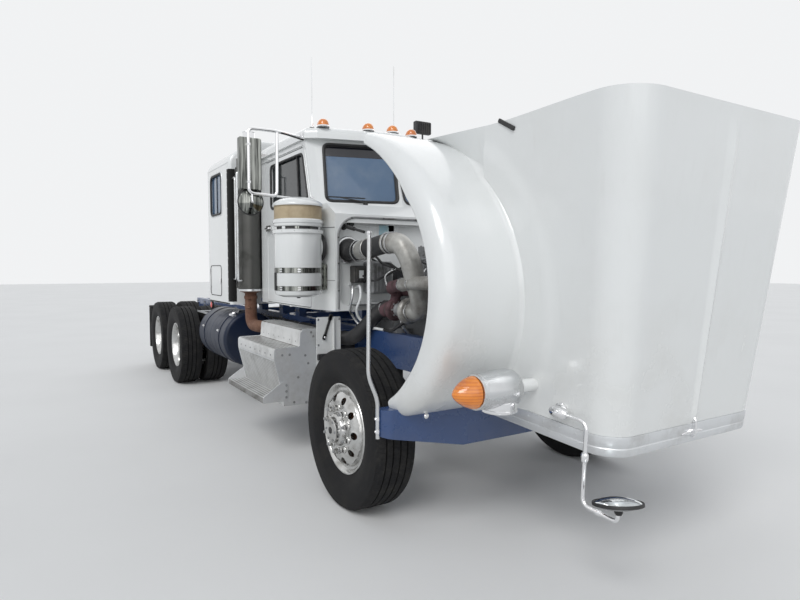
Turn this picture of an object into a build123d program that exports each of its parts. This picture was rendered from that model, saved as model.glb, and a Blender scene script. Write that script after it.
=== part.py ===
from build123d import *
import os
from math import cos, hypot, radians, sin, tan

# Conventional highway tractor with a sleeper, its hood tilted forward.
# Millimetres, X forward from the middle of the truck, Y to its left, Z up from the ground.

# Wheels and axles
front_axle_x = 2600.0
tandem_mid_x = -3080.0
tandem_spacing = 1320.0
tyre_radius = 518.0
rim_radius = 299.0
rim_half_width = 105.0
steer_tyre_width = 280.0
steer_tyre_y = 1030.0
drive_tyre_width = 270.0
dual_outer_y = 1090.0
dual_spacing = 340.0
kingpin_y = 900.0
kingpin_radius = 22.0
pin_clearance = 0.5
hub_radius = 108.0
drum_radius = 205.0
spindle_radius = 38.0
stub_radius = 50.0
disc_wall = 20.0
wheel_offset = dual_spacing / 2
hand_holes = 10
hand_hole_radius = 26.0
hand_hole_circle = 205.0
axle_z = tyre_radius
drive_axle_xs = (tandem_mid_x + tandem_spacing / 2, tandem_mid_x - tandem_spacing / 2)
dual_inner_y = dual_outer_y - dual_spacing

# Frame rails
frame_half = 430.0
rail_top_z = 1052.0
rail_height = 270.0
rail_flange = 85.0
rail_wall = 10.0
rail_front_x = 3170.0
rail_rear_x = -4500.0
cross_depth = 80.0
cross_width = 90.0
horn_margin = 24.0
mount_width = 120.0
mount_depth = 80.0
seat = 0.3
cross_xs = (3060.0, 700.0, -420.0, -1600.0, -2200.0, -3960.0, -4440.0)
rail_bottom_z = rail_top_z - rail_height
rail_mid_z = rail_top_z - rail_height / 2

# Bumper and its guide rods
bumper_front_x = 3345.0
bumper_depth = 100.0
bumper_half = 1250.0
bumper_top_z = 798.0
bumper_bottom_z = 535.0
bumper_end_z = 650.0
bumper_flat_half = 720.0
bumper_wall = 8.0
bumper_corner = 60.0
rod_radius = 11.0
bumper_back_x = bumper_front_x - bumper_depth

# Hood, given closed and then tilted open about its pivot
pivot_x = 3220.0
pivot_z = 840.0
hood_angle = 93.0
hood_rear_x = 1655.0
hood_front_x = 3324.0
hood_rear_z = 2030.0
hood_front_z = 1917.0
hood_rear_half = 740.0
hood_front_half = 600.0
hood_rear_corner = 190.0
hood_front_corner = 150.0
hood_edge_z = 1080.0
hood_wall = 10.0
trim_width = 100.0
trim_thickness = 6.0
trim_depth = 25.0
grille_gap = 8.0
grille_bottom_z = 985.0
pivot_radius = 20.0

# Front fenders, given closed
arch_x = 2620.0
arch_z = 576.0
arch_radius = 652.0
fender_half = 1180.0
fender_crown = 140.0
fender_rear_x = 1720.0
fender_bottom_z = 520.0
fender_front_x = 3300.0
fender_nose_x = 3245.0
fender_nose_z = 880.0
fender_round = 100.0
fender_wall = 10.0

# Headlamps and hood mirrors, given closed
lamp_x = 3080.0
lamp_z = 1430.0
lamp_radius = 110.0
lamp_inner_y = 730.0
lamp_outer_y = 1030.0
lamp_dome = 130.0

# Cab
cowl_x = 1645.0
firewall_x = 1575.0
cab_back_x = -20.0
cab_half = 780.0
cowl_half = 725.0
cab_bottom_z = 1210.0
cowl_z = 2010.0
belt_z = 2105.0
roof_side_z = 2690.0
roof_z = 2790.0
screen_foot_x = 1525.0
screen_side_x = 1345.0
screen_lean = 170.0
cab_wall = 40.0
door_front_x = 1275.0
door_rear_x = 130.0
door_bottom_z = 1225.0
door_top_z = 2620.0
door_lean = 170.0
door_thickness = 45.0
door_gap = 8.0
glass_thickness = 6.0
roof_overhang = 18.0
hinge_radius = 7.0
hinge_half_height = 60.0
hinge_tab = 43.0

# Sleeper
sleeper_front_x = -330.0
sleeper_back_x = -1240.0
sleeper_half = 1030.0
sleeper_bottom_z = 1170.0
sleeper_side_z = 2760.0
sleeper_top_z = 2950.0
sleeper_wall = 40.0

# Outside fittings
cleaner_x = 1480.0
cleaner_y = 980.0
cleaner_radius = 190.0
cleaner_bottom_z = 1330.0
cleaner_top_z = 2160.0
stack_x = -130.0
stack_y = 870.0
stack_radius = 130.0
stack_bottom_z = 1300.0
stack_top_z = 2980.0
pipe_radius = 64.0
tank_radius = 300.0
tank_y = 800.0
tank_z = 780.0
tank_front_x = -350.0
tank_rear_x = -1500.0
step_front_x = 1500.0
step_rear_x = 520.0
step_top_z = 1060.0
tread_z = 910.0
step_bottom_z = 440.0
mirror_x = 1270.0
mirror_y = 1300.0
mirror_post_y = 1100.0
mirror_low_z = 2200.0
mirror_high_z = 2740.0

# Fifth wheel
fifth_x = -3060.0
fifth_top_z = 1190.0
fifth_pivot_z = 1112.0
fifth_half_length = 430.0
fifth_half_width = 450.0
fifth_thickness = 16.0
kingpin_bore = 25.4


os.makedirs("parts", exist_ok=True)

# Frame rails with crossmembers, bumper horns, hood pivot tube and the pedestals that carry cab and sleeper
body_mounts = (
    # x, height of what stands on it
    (cowl_x - 160, cab_bottom_z),
    (cab_back_x + 90, cab_bottom_z),
    (sleeper_front_x - 90, sleeper_bottom_z),
    (sleeper_back_x + 100, sleeper_bottom_z),
)
with BuildPart() as frame:
    with BuildSketch(Plane.YZ.offset(rail_rear_x)):
        with Locations(*[(side * (frame_half - rail_flange / 2), rail_mid_z) for side in (-1, 1)]):
            Rectangle(rail_flange, rail_height)
        web_y = frame_half - (rail_flange + rail_wall) / 2
        with Locations((-web_y, rail_mid_z), (web_y, rail_mid_z)):
            Rectangle(rail_flange - rail_wall, rail_height - 2 * rail_wall, mode=Mode.SUBTRACT)
    extrude(amount=rail_front_x - rail_rear_x)
    for cross_x in cross_xs:
        with Locations((cross_x, 0, rail_top_z - rail_wall - cross_depth / 2)):
            Box(cross_width, 2 * (frame_half - rail_wall), cross_depth)
    for side in (-1, 1):
        with BuildSketch(Plane.XZ.offset(-side * (frame_half - rail_wall / 2))):
            with BuildLine():
                Polyline(
                    (rail_front_x - 200, rail_bottom_z),
                    (rail_front_x - 200, rail_bottom_z + 150),
                    (pivot_x + horn_margin, pivot_z + horn_margin),
                    (pivot_x + horn_margin, bumper_top_z - bumper_wall - seat),
                    (bumper_front_x - bumper_wall - seat, bumper_top_z - bumper_wall - seat),
                    (bumper_front_x - bumper_wall - seat, bumper_bottom_z + 50),
                    (rail_front_x - 60, bumper_bottom_z + 50),
                    close=True,
                )
            make_face()
        extrude(amount=rail_wall / 2, both=True)
    with BuildSketch(Plane.XZ):
        with Locations((pivot_x, pivot_z)):
            Circle(pivot_radius)
    extrude(amount=frame_half - rail_wall, both=True)
    for mount_x, carried_z in body_mounts:
        mount_height = carried_z - seat - rail_top_z
        for side in (-1, 1):
            with Locations((mount_x, side * (frame_half - rail_flange / 2), rail_top_z + mount_height / 2)):
                Box(mount_width, mount_depth, mount_height)
frame.part.label = "frame"
export_step(frame.part, "parts/frame.step")

# Steel bumper, a shallow tray open at the back, cut up towards its ends
bumper_outline = (
    (-bumper_half, bumper_top_z),
    (bumper_half, bumper_top_z),
    (bumper_half, bumper_end_z),
    (bumper_flat_half, bumper_bottom_z),
    (-bumper_flat_half, bumper_bottom_z),
    (-bumper_half, bumper_end_z),
)
with BuildPart() as bumper:
    with BuildSketch(Plane.YZ.offset(bumper_back_x)):
        Polygon(*bumper_outline, align=None)
    extrude(amount=bumper_depth)
    front_corners = bumper.edges().filter_by(Axis.Z).group_by(Axis.X)[-1]
    fillet(front_corners, radius=bumper_corner)
    back_face = bumper.faces().sort_by(Axis.X)[0]
    offset(amount=-bumper_wall, openings=back_face)
bumper.part.label = "bumper"
export_step(bumper.part, "parts/bumper.step")


def outward(x, y, z, side):
    """Plane facing outward along Y, at distance y from the middle on one side of the truck."""
    return Plane(origin=(x, side * y, z), x_dir=(1, 0, 0), z_dir=(0, side, 0))


# Guide rods on the bumper ends and the grab rails ahead of the sleeper, all of one tube size
rod_x = bumper_back_x + 22
rod_y = bumper_half + rod_radius + seat
rod_routes = (
    # name, route of points on the right side
    ("guide", ((rod_x, rod_y, 640), (rod_x, rod_y, 850), (rod_x - 12, rod_y + 70, 980),
               (rod_x - 26, rod_y + 70, 1750))),
    ("grab", ((sleeper_front_x + seat, 985, 1460), (sleeper_front_x + 85, 985, 1460),
              (sleeper_front_x + 85, 985, 2500), (sleeper_front_x + seat, 985, 2500))),
)
with BuildPart() as grab_rails:
    for rod_name, points in rod_routes:
        for side in (-1, 1):
            with BuildLine() as rod_line:
                FilletPolyline(*[(x, side * y, z) for x, y, z in points], radius=45)
            with BuildSketch(Plane(origin=rod_line.line @ 0, z_dir=rod_line.line % 0)):
                Circle(rod_radius)
            sweep(path=rod_line.line)
grab_rails.part.label = "grab_rails"
export_step(grab_rails.part, "parts/grab_rails.step")

# Front axle: a drop beam with kingpin eyes, pins and the leaf springs that carry it
beam_top_z = 490.0
beam_drop = 90.0
eye_half = 60.0
spring_y = 380.0
spring_half_length = 560.0
with BuildPart() as front_axle:
    with BuildSketch(Plane.YZ.offset(front_axle_x)):
        Polygon(
            (-kingpin_y, axle_z + eye_half - 10),
            (-650, beam_top_z),
            (650, beam_top_z),
            (kingpin_y, axle_z + eye_half - 10),
            (kingpin_y, axle_z - eye_half + 10),
            (600, beam_top_z - beam_drop),
            (-600, beam_top_z - beam_drop),
            (-kingpin_y, axle_z - eye_half + 10),
            align=None,
        )
    extrude(amount=45, both=True)
    for side in (-1, 1):
        with Locations((front_axle_x + side * 40, 0, beam_top_z - beam_drop / 2)):
            Box(50, 1180, beam_drop - 40, mode=Mode.SUBTRACT)
    with Locations((front_axle_x, kingpin_y, axle_z), (front_axle_x, -kingpin_y, axle_z)):
        Cylinder(48, 2 * eye_half)
        Cylinder(kingpin_radius, 2 * eye_half + 110)
    for side in (-1, 1):
        with BuildSketch(Plane.XZ.offset(-side * spring_y)):
            with BuildLine():
                ThreePointArc(
                    (front_axle_x - spring_half_length, rail_bottom_z - 60),
                    (front_axle_x, beam_top_z + 50),
                    (front_axle_x + spring_half_length, rail_bottom_z - 60),
                )
                Line(
                    (front_axle_x + spring_half_length, rail_bottom_z - 60),
                    (front_axle_x + spring_half_length, rail_bottom_z - 90),
                )
                ThreePointArc(
                    (front_axle_x + spring_half_length, rail_bottom_z - 90),
                    (front_axle_x, beam_top_z),
                    (front_axle_x - spring_half_length, rail_bottom_z - 90),
                )
                Line(
                    (front_axle_x - spring_half_length, rail_bottom_z - 90),
                    (front_axle_x - spring_half_length, rail_bottom_z - 60),
                )
            make_face()
        extrude(amount=38, both=True)
        with Locations((front_axle_x, side * spring_y, beam_top_z + 10)):
            Box(120, 84, 30)
        for end in (-1, 1):
            shackle_x = front_axle_x + end * (spring_half_length - 10)
            with Locations((shackle_x, side * spring_y, rail_bottom_z - 42)):
                Box(60, 70, 83.4)
front_axle.part.label = "front_axle"
export_step(front_axle.part, "parts/front_axle.step")

# Steering knuckles: a fork on the kingpin, a brake plate, the spindle and a steering arm to the rear
arm_length = 200.0
arm_top_z = 439.0
arm_height = 24.0
rod_end_height = 50.0
fork_top_z = axle_z + eye_half + 3
fork_low_z = axle_z - eye_half - 3
for name, side in (("knuckle_right", -1), ("knuckle_left", 1)):
    with BuildPart() as knuckle:
        for fork_z in (fork_top_z + 20, fork_low_z - 20):
            with Locations((front_axle_x, side * kingpin_y, fork_z)):
                Cylinder(48, 40)
            with Locations((front_axle_x, side * (kingpin_y + 45), fork_z)):
                Box(80, 80, 40)
        with Locations((front_axle_x, side * (kingpin_y + 70), axle_z)):
            Box(80, 30, 2 * eye_half + 86)
        with BuildSketch(outward(front_axle_x, kingpin_y + 91, axle_z, side)):
            Circle(185)
        extrude(amount=6, both=True)
        with BuildSketch(outward(front_axle_x, kingpin_y + 80, axle_z, side)):
            Circle(spindle_radius)
        extrude(amount=150)
        with Locations((front_axle_x - arm_length / 2 - 15, side * kingpin_y, arm_top_z - arm_height / 2)):
            Box(arm_length - 40, 50, arm_height)
        with Locations((front_axle_x - arm_length, side * kingpin_y, arm_top_z - arm_height / 2)):
            Cylinder(32, arm_height)
        with Locations((front_axle_x, side * kingpin_y, axle_z)):
            Cylinder(kingpin_radius + pin_clearance, 2 * eye_half + 200, mode=Mode.SUBTRACT)
    knuckle.part.label = name
    export_step(knuckle.part, f"parts/{name}.step")

# Tie rod between the two steering arms
rod_end_z = arm_top_z - arm_height - seat - rod_end_height / 2
with BuildPart() as tie_rod:
    with BuildSketch(outward(front_axle_x - arm_length, kingpin_y, rod_end_z, -1)):
        Circle(20)
    extrude(amount=-2 * kingpin_y)
    for side in (-1, 1):
        with Locations((front_axle_x - arm_length, side * kingpin_y, rod_end_z)):
            Cylinder(28, rod_end_height)
tie_rod.part.label = "tie_rod"
export_step(tie_rod.part, "parts/tie_rod.step")

# Wheels, each a revolved section of points (distance outward from the rim's middle, radius)
steer_rim_section = (
    (-rim_half_width, rim_radius),
    (rim_half_width, rim_radius),
    (rim_half_width, rim_radius - 16),
    (85, rim_radius - 28),
    (85, rim_radius - 50),
    (wheel_offset - 50, 222),
    (wheel_offset - 35, 180),
    (wheel_offset - 35, hub_radius),
    (wheel_offset - 35 - disc_wall, hub_radius),
    (wheel_offset - 35 - disc_wall, 176),
    (wheel_offset - 50 - disc_wall, 208),
    (60, rim_radius - 62),
    (55, rim_radius - 30),
    (-rim_half_width, rim_radius - 16),
)
steer_hub_section = (
    (-24, drum_radius),
    (60, drum_radius),
    (wheel_offset - 35 - disc_wall, hub_radius + 40),
    (wheel_offset - 35 - disc_wall, hub_radius),
    (wheel_offset - 10, hub_radius - 8),
    (wheel_offset + 30, hub_radius - 30),
    (wheel_offset + 30, 0),
    (wheel_offset - 40, 0),
    (wheel_offset - 40, spindle_radius + pin_clearance),
    (30, spindle_radius + pin_clearance),
    (30, drum_radius - 14),
    (-24, drum_radius - 14),
)


def wheel_plane_at(x, y, side):
    """Plane through the wheel's axis whose first direction points outward from the truck."""
    return Plane(origin=(x, y, axle_z), x_dir=(0, side, 0), z_dir=(side, 0, 0))


def tyre_section(width, round_in):
    """Half of a tyre's outline: bead, bulging side walls, shoulders drawn in by round_in, and tread."""
    half = width / 2
    bead = rim_half_width - 6
    wall_radius = rim_radius + 100
    crown = tyre_radius - 14
    with BuildSketch() as section:
        with BuildLine():
            Line((-bead, rim_radius), (bead, rim_radius))
            ThreePointArc((bead, rim_radius), (half, wall_radius), (half - round_in, crown))
            Line((half - round_in, crown), (half - round_in - 12, tyre_radius))
            Line((half - round_in - 12, tyre_radius), (round_in + 12 - half, tyre_radius))
            Line((round_in + 12 - half, tyre_radius), (round_in - half, crown))
            ThreePointArc((round_in - half, crown), (-half, wall_radius), (-bead, rim_radius))
        make_face()
    return section.sketch


def hand_hole_cutter(x, near_y, far_y, side):
    """Round pins standing on the hand hole circle, from near_y out to far_y."""
    with BuildPart() as cutter:
        with BuildSketch(outward(x, near_y, axle_z, side)):
            with PolarLocations(hand_hole_circle, hand_holes):
                Circle(hand_hole_radius)
        extrude(amount=far_y - near_y)
    return cutter.part


for name, side in (("right", -1), ("left", 1)):
    wheel_plane = wheel_plane_at(front_axle_x, side * steer_tyre_y, side)
    wheel_axis = Axis((front_axle_x, 0, axle_z), (0, 1, 0))
    with BuildPart() as steer_rim:
        for section in (steer_rim_section, steer_hub_section):
            with BuildSketch(wheel_plane):
                Polygon(*section, align=None)
            revolve(axis=wheel_axis)
        add(hand_hole_cutter(front_axle_x, steer_tyre_y + 62, steer_tyre_y + 165, side), mode=Mode.SUBTRACT)
    steer_rim.part.label = f"steer_rim_{name}"
    export_step(steer_rim.part, f"parts/steer_rim_{name}.step")
    with BuildPart() as steer_tyre:
        with BuildSketch(wheel_plane):
            add(tyre_section(steer_tyre_width, 18))
        revolve(axis=wheel_axis)
    steer_tyre.part.label = f"steer_tyre_{name}"
    export_step(steer_tyre.part, f"parts/steer_tyre_{name}.step")

# Twin drive wheels: two dished rims bolted face to face on a hub, with the brake drum behind
drive_rim_section = (
    (rim_half_width, rim_radius),
    (-rim_half_width, rim_radius),
    (-rim_half_width, rim_radius - 20),
    (10 - wheel_offset + disc_wall + 20, rim_radius - 45),
    (10 - wheel_offset + disc_wall, 222),
    (-wheel_offset, 190),
    (-wheel_offset, hub_radius),
    (disc_wall - wheel_offset, hub_radius),
    (disc_wall - wheel_offset, 184),
    (40 - wheel_offset + disc_wall, 222),
    (60 - wheel_offset + disc_wall, rim_radius - 45),
    (rim_half_width, rim_radius - 16),
)
drive_hub_section = (
    (0, hub_radius),
    (170, hub_radius - 12),
    (170, hub_radius - 36),
    (205, hub_radius - 40),
    (205, 0),
    (120, 0),
    (120, stub_radius + pin_clearance),
    (-290, stub_radius + pin_clearance),
    (-290, hub_radius - 6),
    (-170, hub_radius - 6),
    (-150, drum_radius - 14),
    (-290, drum_radius - 14),
    (-290, drum_radius),
    (-60, drum_radius),
    (-40, hub_radius + 60),
    (-20, hub_radius + 60),
    (-20, hub_radius),
)
drive_wheels = tuple(
    (f"{place}_{hand}", x, side)
    for place, x in zip(("fore", "aft"), drive_axle_xs)
    for hand, side in (("right", -1), ("left", 1))
)
face_y = dual_outer_y - wheel_offset
for name, wheel_x, side in drive_wheels:
    wheel_axis = Axis((wheel_x, 0, axle_z), (0, 1, 0))
    outer_plane = wheel_plane_at(wheel_x, side * dual_outer_y, side)
    inner_plane = wheel_plane_at(wheel_x, side * dual_inner_y, -side)
    hub_plane = wheel_plane_at(wheel_x, side * face_y, side)
    with BuildPart() as drive_rims:
        for plane in (outer_plane, inner_plane):
            with BuildSketch(plane):
                Polygon(*drive_rim_section, align=None)
            revolve(axis=wheel_axis)
        with BuildSketch(hub_plane):
            Polygon(*drive_hub_section, align=None)
        revolve(axis=wheel_axis)
        add(hand_hole_cutter(wheel_x, face_y - 90, face_y + 90, side), mode=Mode.SUBTRACT)
    drive_rims.part.label = f"drive_rims_{name}"
    export_step(drive_rims.part, f"parts/drive_rims_{name}.step")
    with BuildPart() as drive_tyres:
        for plane in (outer_plane, inner_plane):
            with BuildSketch(plane):
                add(tyre_section(drive_tyre_width, 16))
            revolve(axis=wheel_axis)
    drive_tyres.part.label = f"drive_tyres_{name}"
    export_step(drive_tyres.part, f"parts/drive_tyres_{name}.step")

# Drive axle housings with their differentials, walking beams and trunnion hangers
tube_radius = 58.0
diff_radius = 190.0
beam_y = 500.0
with BuildPart() as drive_axles:
    for wheel_x in drive_axle_xs:
        with BuildSketch(outward(wheel_x, 620, axle_z, 1)):
            Circle(tube_radius)
        extrude(amount=-1240)
        for side in (-1, 1):
            with BuildSketch(outward(wheel_x, 615, axle_z, side)):
                Circle(stub_radius)
            extrude(amount=400)
        with BuildSketch(outward(wheel_x, 0, axle_z, 1)):
            Circle(diff_radius)
        extrude(amount=90, both=True)
        with BuildSketch(Plane(origin=(wheel_x + 100, 0, axle_z), z_dir=(1, 0, 0))):
            Circle(90)
        extrude(amount=190)
    for side in (-1, 1):
        with BuildSketch(Plane.XZ.offset(-side * beam_y)):
            with BuildLine():
                Polyline(
                    (drive_axle_xs[0] + 90, axle_z + 70),
                    (tandem_mid_x + 120, axle_z + 110),
                    (tandem_mid_x - 120, axle_z + 110),
                    (drive_axle_xs[1] - 90, axle_z + 70),
                    (drive_axle_xs[1] - 90, axle_z - 70),
                    (drive_axle_xs[0] + 90, axle_z - 70),
                    close=True,
                )
            make_face()
        extrude(amount=35, both=True)
        with BuildSketch(Plane.XZ.offset(-side * beam_y)):
            with BuildLine():
                Polyline(
                    (tandem_mid_x + 90, axle_z + 60),
                    (tandem_mid_x + 220, rail_top_z - 60),
                    (tandem_mid_x - 220, rail_top_z - 60),
                    (tandem_mid_x - 90, axle_z + 60),
                    close=True,
                )
            make_face()
        extrude(amount=35, both=True)
        hanger_width = beam_y - 34 - frame_half - seat
        with Locations((tandem_mid_x, side * (frame_half + seat + hanger_width / 2), rail_mid_z)):
            Box(420, hanger_width, 160)
drive_axles.part.label = "drive_axles"
export_step(drive_axles.part, "parts/drive_axles.step")

# Hood, modelled closed: a lofted shell from the cowl to the trim band
tilt_axis = Axis((pivot_x, 0, pivot_z), (0, 1, 0))
trim_rear_x = hood_front_x - trim_width


def hood_size(x, inset):
    """Half width, top height and corner radius of the hood at x, drawn in by inset."""
    share = (x - hood_rear_x) / (hood_front_x - hood_rear_x)
    half = hood_rear_half + share * (hood_front_half - hood_rear_half) - inset
    top = hood_rear_z + share * (hood_front_z - hood_rear_z) - inset
    corner = hood_rear_corner + share * (hood_front_corner - hood_rear_corner) - inset
    return half, top, corner


def hood_section(x, inset, low_z):
    """The hood's outline at x, drawn in by inset and reaching down to low_z."""
    half, top, corner = hood_size(x, inset)
    with BuildSketch(Plane.YZ.offset(x)) as section:
        with Locations((0, (top + low_z) / 2)):
            Rectangle(2 * half, top - low_z)
        fillet(section.vertices().group_by(Axis.Y)[-1], radius=corner)
    return section.sketch


with BuildPart() as hood_body:
    loft([hood_section(x, 0, hood_edge_z) for x in (hood_rear_x, trim_rear_x)], ruled=True)
with BuildPart() as hood_core:
    core_low_z = arch_z - 300
    loft([hood_section(x, hood_wall, core_low_z) for x in (hood_rear_x - 40, hood_front_x + 40)], ruled=True)
with BuildPart() as trim_body:
    trim_xs = (trim_rear_x, hood_front_x)
    loft([hood_section(x, -trim_thickness, grille_bottom_z) for x in trim_xs], ruled=True)
with BuildPart() as trim_space:
    space_inset = -trim_thickness - seat
    loft([hood_section(x, space_inset, core_low_z) for x in (trim_rear_x, hood_front_x + 40)], ruled=True)
with BuildPart() as trim_core:
    trim_core_xs = (trim_rear_x - 5, hood_front_x + 5)
    loft([hood_section(x, trim_depth, grille_bottom_z - 5) for x in trim_core_xs], ruled=True)

# Fender, modelled closed on the right: an arched body hollowed from below, with the wheel arch cut out
crown_radius = arch_radius + fender_crown
crown_sweep = 40.0
crown_dx = crown_radius * sin(radians(crown_sweep))
crown_dz = crown_radius * cos(radians(crown_sweep))
nose_drop = (fender_front_x - arch_x - crown_dx) * tan(radians(90 - crown_sweep / 2 - 5))


def fender_solid(near_y, far_y, inset):
    """The right fender's body from near_y out to far_y, drawn in by inset, with a rounded outer shoulder."""
    with BuildPart() as solid:
        with BuildSketch(Plane.XZ.offset(near_y)):
            with BuildLine():
                rear_top = (arch_x - crown_dx, arch_z + crown_dz)
                front_top = (arch_x + crown_dx, arch_z + crown_dz)
                crown = ThreePointArc(rear_top, (arch_x, arch_z + crown_radius), front_top)
                brow = TangentArc(front_top, (fender_front_x, front_top[1] - nose_drop), tangent=crown % 1)
                nose = Line(brow @ 1, (fender_front_x, fender_bottom_z))
                sill = Line(nose @ 1, (fender_rear_x, fender_bottom_z))
                TangentArc(rear_top, (fender_rear_x, fender_bottom_z), tangent=(crown % 0) * -1)
            make_face()
            if inset:
                offset(amount=-inset)
        extrude(amount=far_y - near_y)
        rim_edges = solid.faces().sort_by(Axis.Y)[0].edges()
        low_z = fender_bottom_z + inset + 1
        fillet(rim_edges.filter_by(lambda edge: edge.center().Z > low_z), radius=fender_round - inset)
    return solid.part


with BuildPart() as fender:
    add(fender_solid(560, fender_half, 0))
    add(fender_solid(550, fender_half - fender_wall, fender_wall), mode=Mode.SUBTRACT)
    with BuildSketch(Plane.XZ.offset(540)):
        with Locations((arch_x, arch_z)):
            Circle(arch_radius)
        Polygon(
            (arch_x - 830, fender_bottom_z - 5),
            (arch_x - 690, 790),
            (arch_x - 485, 1010),
            (arch_x, arch_z),
            (arch_x, fender_bottom_z - 5),
            align=None,
        )
        Polygon(
            (arch_x, arch_z),
            (arch_x + 450, 1048),
            (fender_nose_x - 30, fender_nose_z),
            (fender_nose_x + 5, fender_nose_z),
            (fender_nose_x + 5, fender_bottom_z - 5),
            (arch_x, fender_bottom_z - 5),
            align=None,
        )
        with Locations((fender_nose_x + 100, grille_bottom_z - 500)):
            Rectangle(200, 1000)
    extrude(amount=700, mode=Mode.SUBTRACT)
    add(hood_core.part, mode=Mode.SUBTRACT)

with BuildPart() as hood_closed:
    add(hood_body.part)
    add(fender.part)
    mirror(fender.part, about=Plane.XZ)
    add(hood_core.part, mode=Mode.SUBTRACT)
    add(trim_space.part, mode=Mode.SUBTRACT)
with BuildPart() as hood_shell:
    add(hood_closed.part.rotate(tilt_axis, hood_angle))
hood_shell.part.label = "hood_shell"
export_step(hood_shell.part, "parts/hood_shell.step")

with BuildPart() as trim_closed:
    add(trim_body.part)
    add(trim_core.part, mode=Mode.SUBTRACT)
with BuildPart() as hood_trim:
    add(trim_closed.part.rotate(tilt_axis, hood_angle))
hood_trim.part.label = "hood_trim"
export_step(hood_trim.part, "parts/hood_trim.step")

# Grille of upright bars inside the trim, with the two hinge arms down to the pivot tube
bar_pitch = 60.0
bar_width = 14.0
arm_y = 330.0
grille_thickness = 20.0
pad_width = 36.0
grille_x = hood_front_x - 50
grille_half, grille_top, grille_corner = hood_size(grille_x + grille_thickness, trim_depth + grille_gap)
with BuildPart() as grille_closed:
    with BuildSketch(Plane.YZ.offset(grille_x)) as grille_face:
        with Locations((0, (grille_top + grille_bottom_z) / 2)):
            Rectangle(2 * grille_half, grille_top - grille_bottom_z)
        fillet(grille_face.vertices().group_by(Axis.Y)[-1], radius=grille_corner)
        offset(amount=-30, mode=Mode.SUBTRACT)
        bar_count = 2 * int((grille_half - 40) / bar_pitch) + 1
        with Locations((0, (grille_top + grille_bottom_z) / 2)):
            with GridLocations(bar_pitch, 1, bar_count, 1):
                Rectangle(bar_width, grille_top - grille_bottom_z - 120)
        rung_zs = (grille_top - 55, (grille_top + grille_bottom_z) / 2, grille_bottom_z + 50)
        with Locations(*[(0, rung_z) for rung_z in rung_zs]):
            Rectangle(2 * grille_half - 40, 26)
    extrude(amount=grille_thickness)
    pad_y = hood_size(grille_x + grille_thickness, trim_depth)[0] - seat - pad_width / 2
    for side in (-1, 1):
        for pad_z in (grille_bottom_z + 120, grille_top - grille_corner - 60):
            with Locations((grille_x + grille_thickness / 2, side * pad_y, pad_z)):
                Box(grille_thickness, pad_width, 60)
        with BuildSketch(Plane.XZ.offset(-side * arm_y)):
            with BuildLine():
                Polyline(
                    (pivot_x - 24, pivot_z),
                    (pivot_x + 24, pivot_z),
                    (pivot_x + 24, grille_bottom_z + 5),
                    (grille_x, grille_bottom_z + 5),
                    (grille_x, grille_bottom_z + 90),
                    (pivot_x - 24, grille_bottom_z + 30),
                    close=True,
                )
            make_face()
            with Locations((pivot_x, pivot_z)):
                Circle(pivot_radius + 18)
                Circle(pivot_radius + pin_clearance, mode=Mode.SUBTRACT)
        extrude(amount=12, both=True)
with BuildPart() as grille:
    add(grille_closed.part.rotate(tilt_axis, hood_angle))
grille.part.label = "grille"
export_step(grille.part, "parts/grille.step")

# Headlamp pods on the hood's flanks, a round housing across the hood with a lens facing forward
lens_radius = 85.0
with BuildPart() as headlamps_closed:
    for side in (-1, 1):
        pod_half = hood_size(lamp_x - 55, 0)[0]
        pod_plane = outward(lamp_x, pod_half + seat, lamp_z, side)
        with BuildSketch(pod_plane):
            Circle(55)
        extrude(amount=lamp_inner_y - pod_half)
        with BuildSketch(pod_plane.offset(lamp_inner_y - pod_half - seat)):
            Circle(lamp_radius)
        extrude(amount=lamp_outer_y - lamp_inner_y)
        with Locations((lamp_x + lamp_radius / 2, side * (lamp_inner_y + lamp_outer_y) / 2, lamp_z)):
            Cylinder(lens_radius + 10, lamp_radius + 40, rotation=(0, 90, 0))
with BuildPart() as headlamps:
    add(headlamps_closed.part.rotate(tilt_axis, hood_angle))
headlamps.part.label = "headlamps"
export_step(headlamps.part, "parts/headlamps.step")

# Amber turn lamps domed onto the outer ends of the pods
with BuildPart() as turn_closed:
    for side in (-1, 1):
        dome_plane = outward(lamp_x, lamp_outer_y + seat, lamp_z, side)
        with BuildSketch(dome_plane):
            Circle(lamp_radius - 4)
        extrude(amount=lamp_dome)
    dome_faces = turn_closed.faces().group_by(Axis.Y)
    fillet(dome_faces[0].edges() + dome_faces[-1].edges(), radius=70)
with BuildPart() as turn_lamps:
    add(turn_closed.part.rotate(tilt_axis, hood_angle))
turn_lamps.part.label = "turn_lamps"
export_step(turn_lamps.part, "parts/turn_lamps.step")

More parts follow.
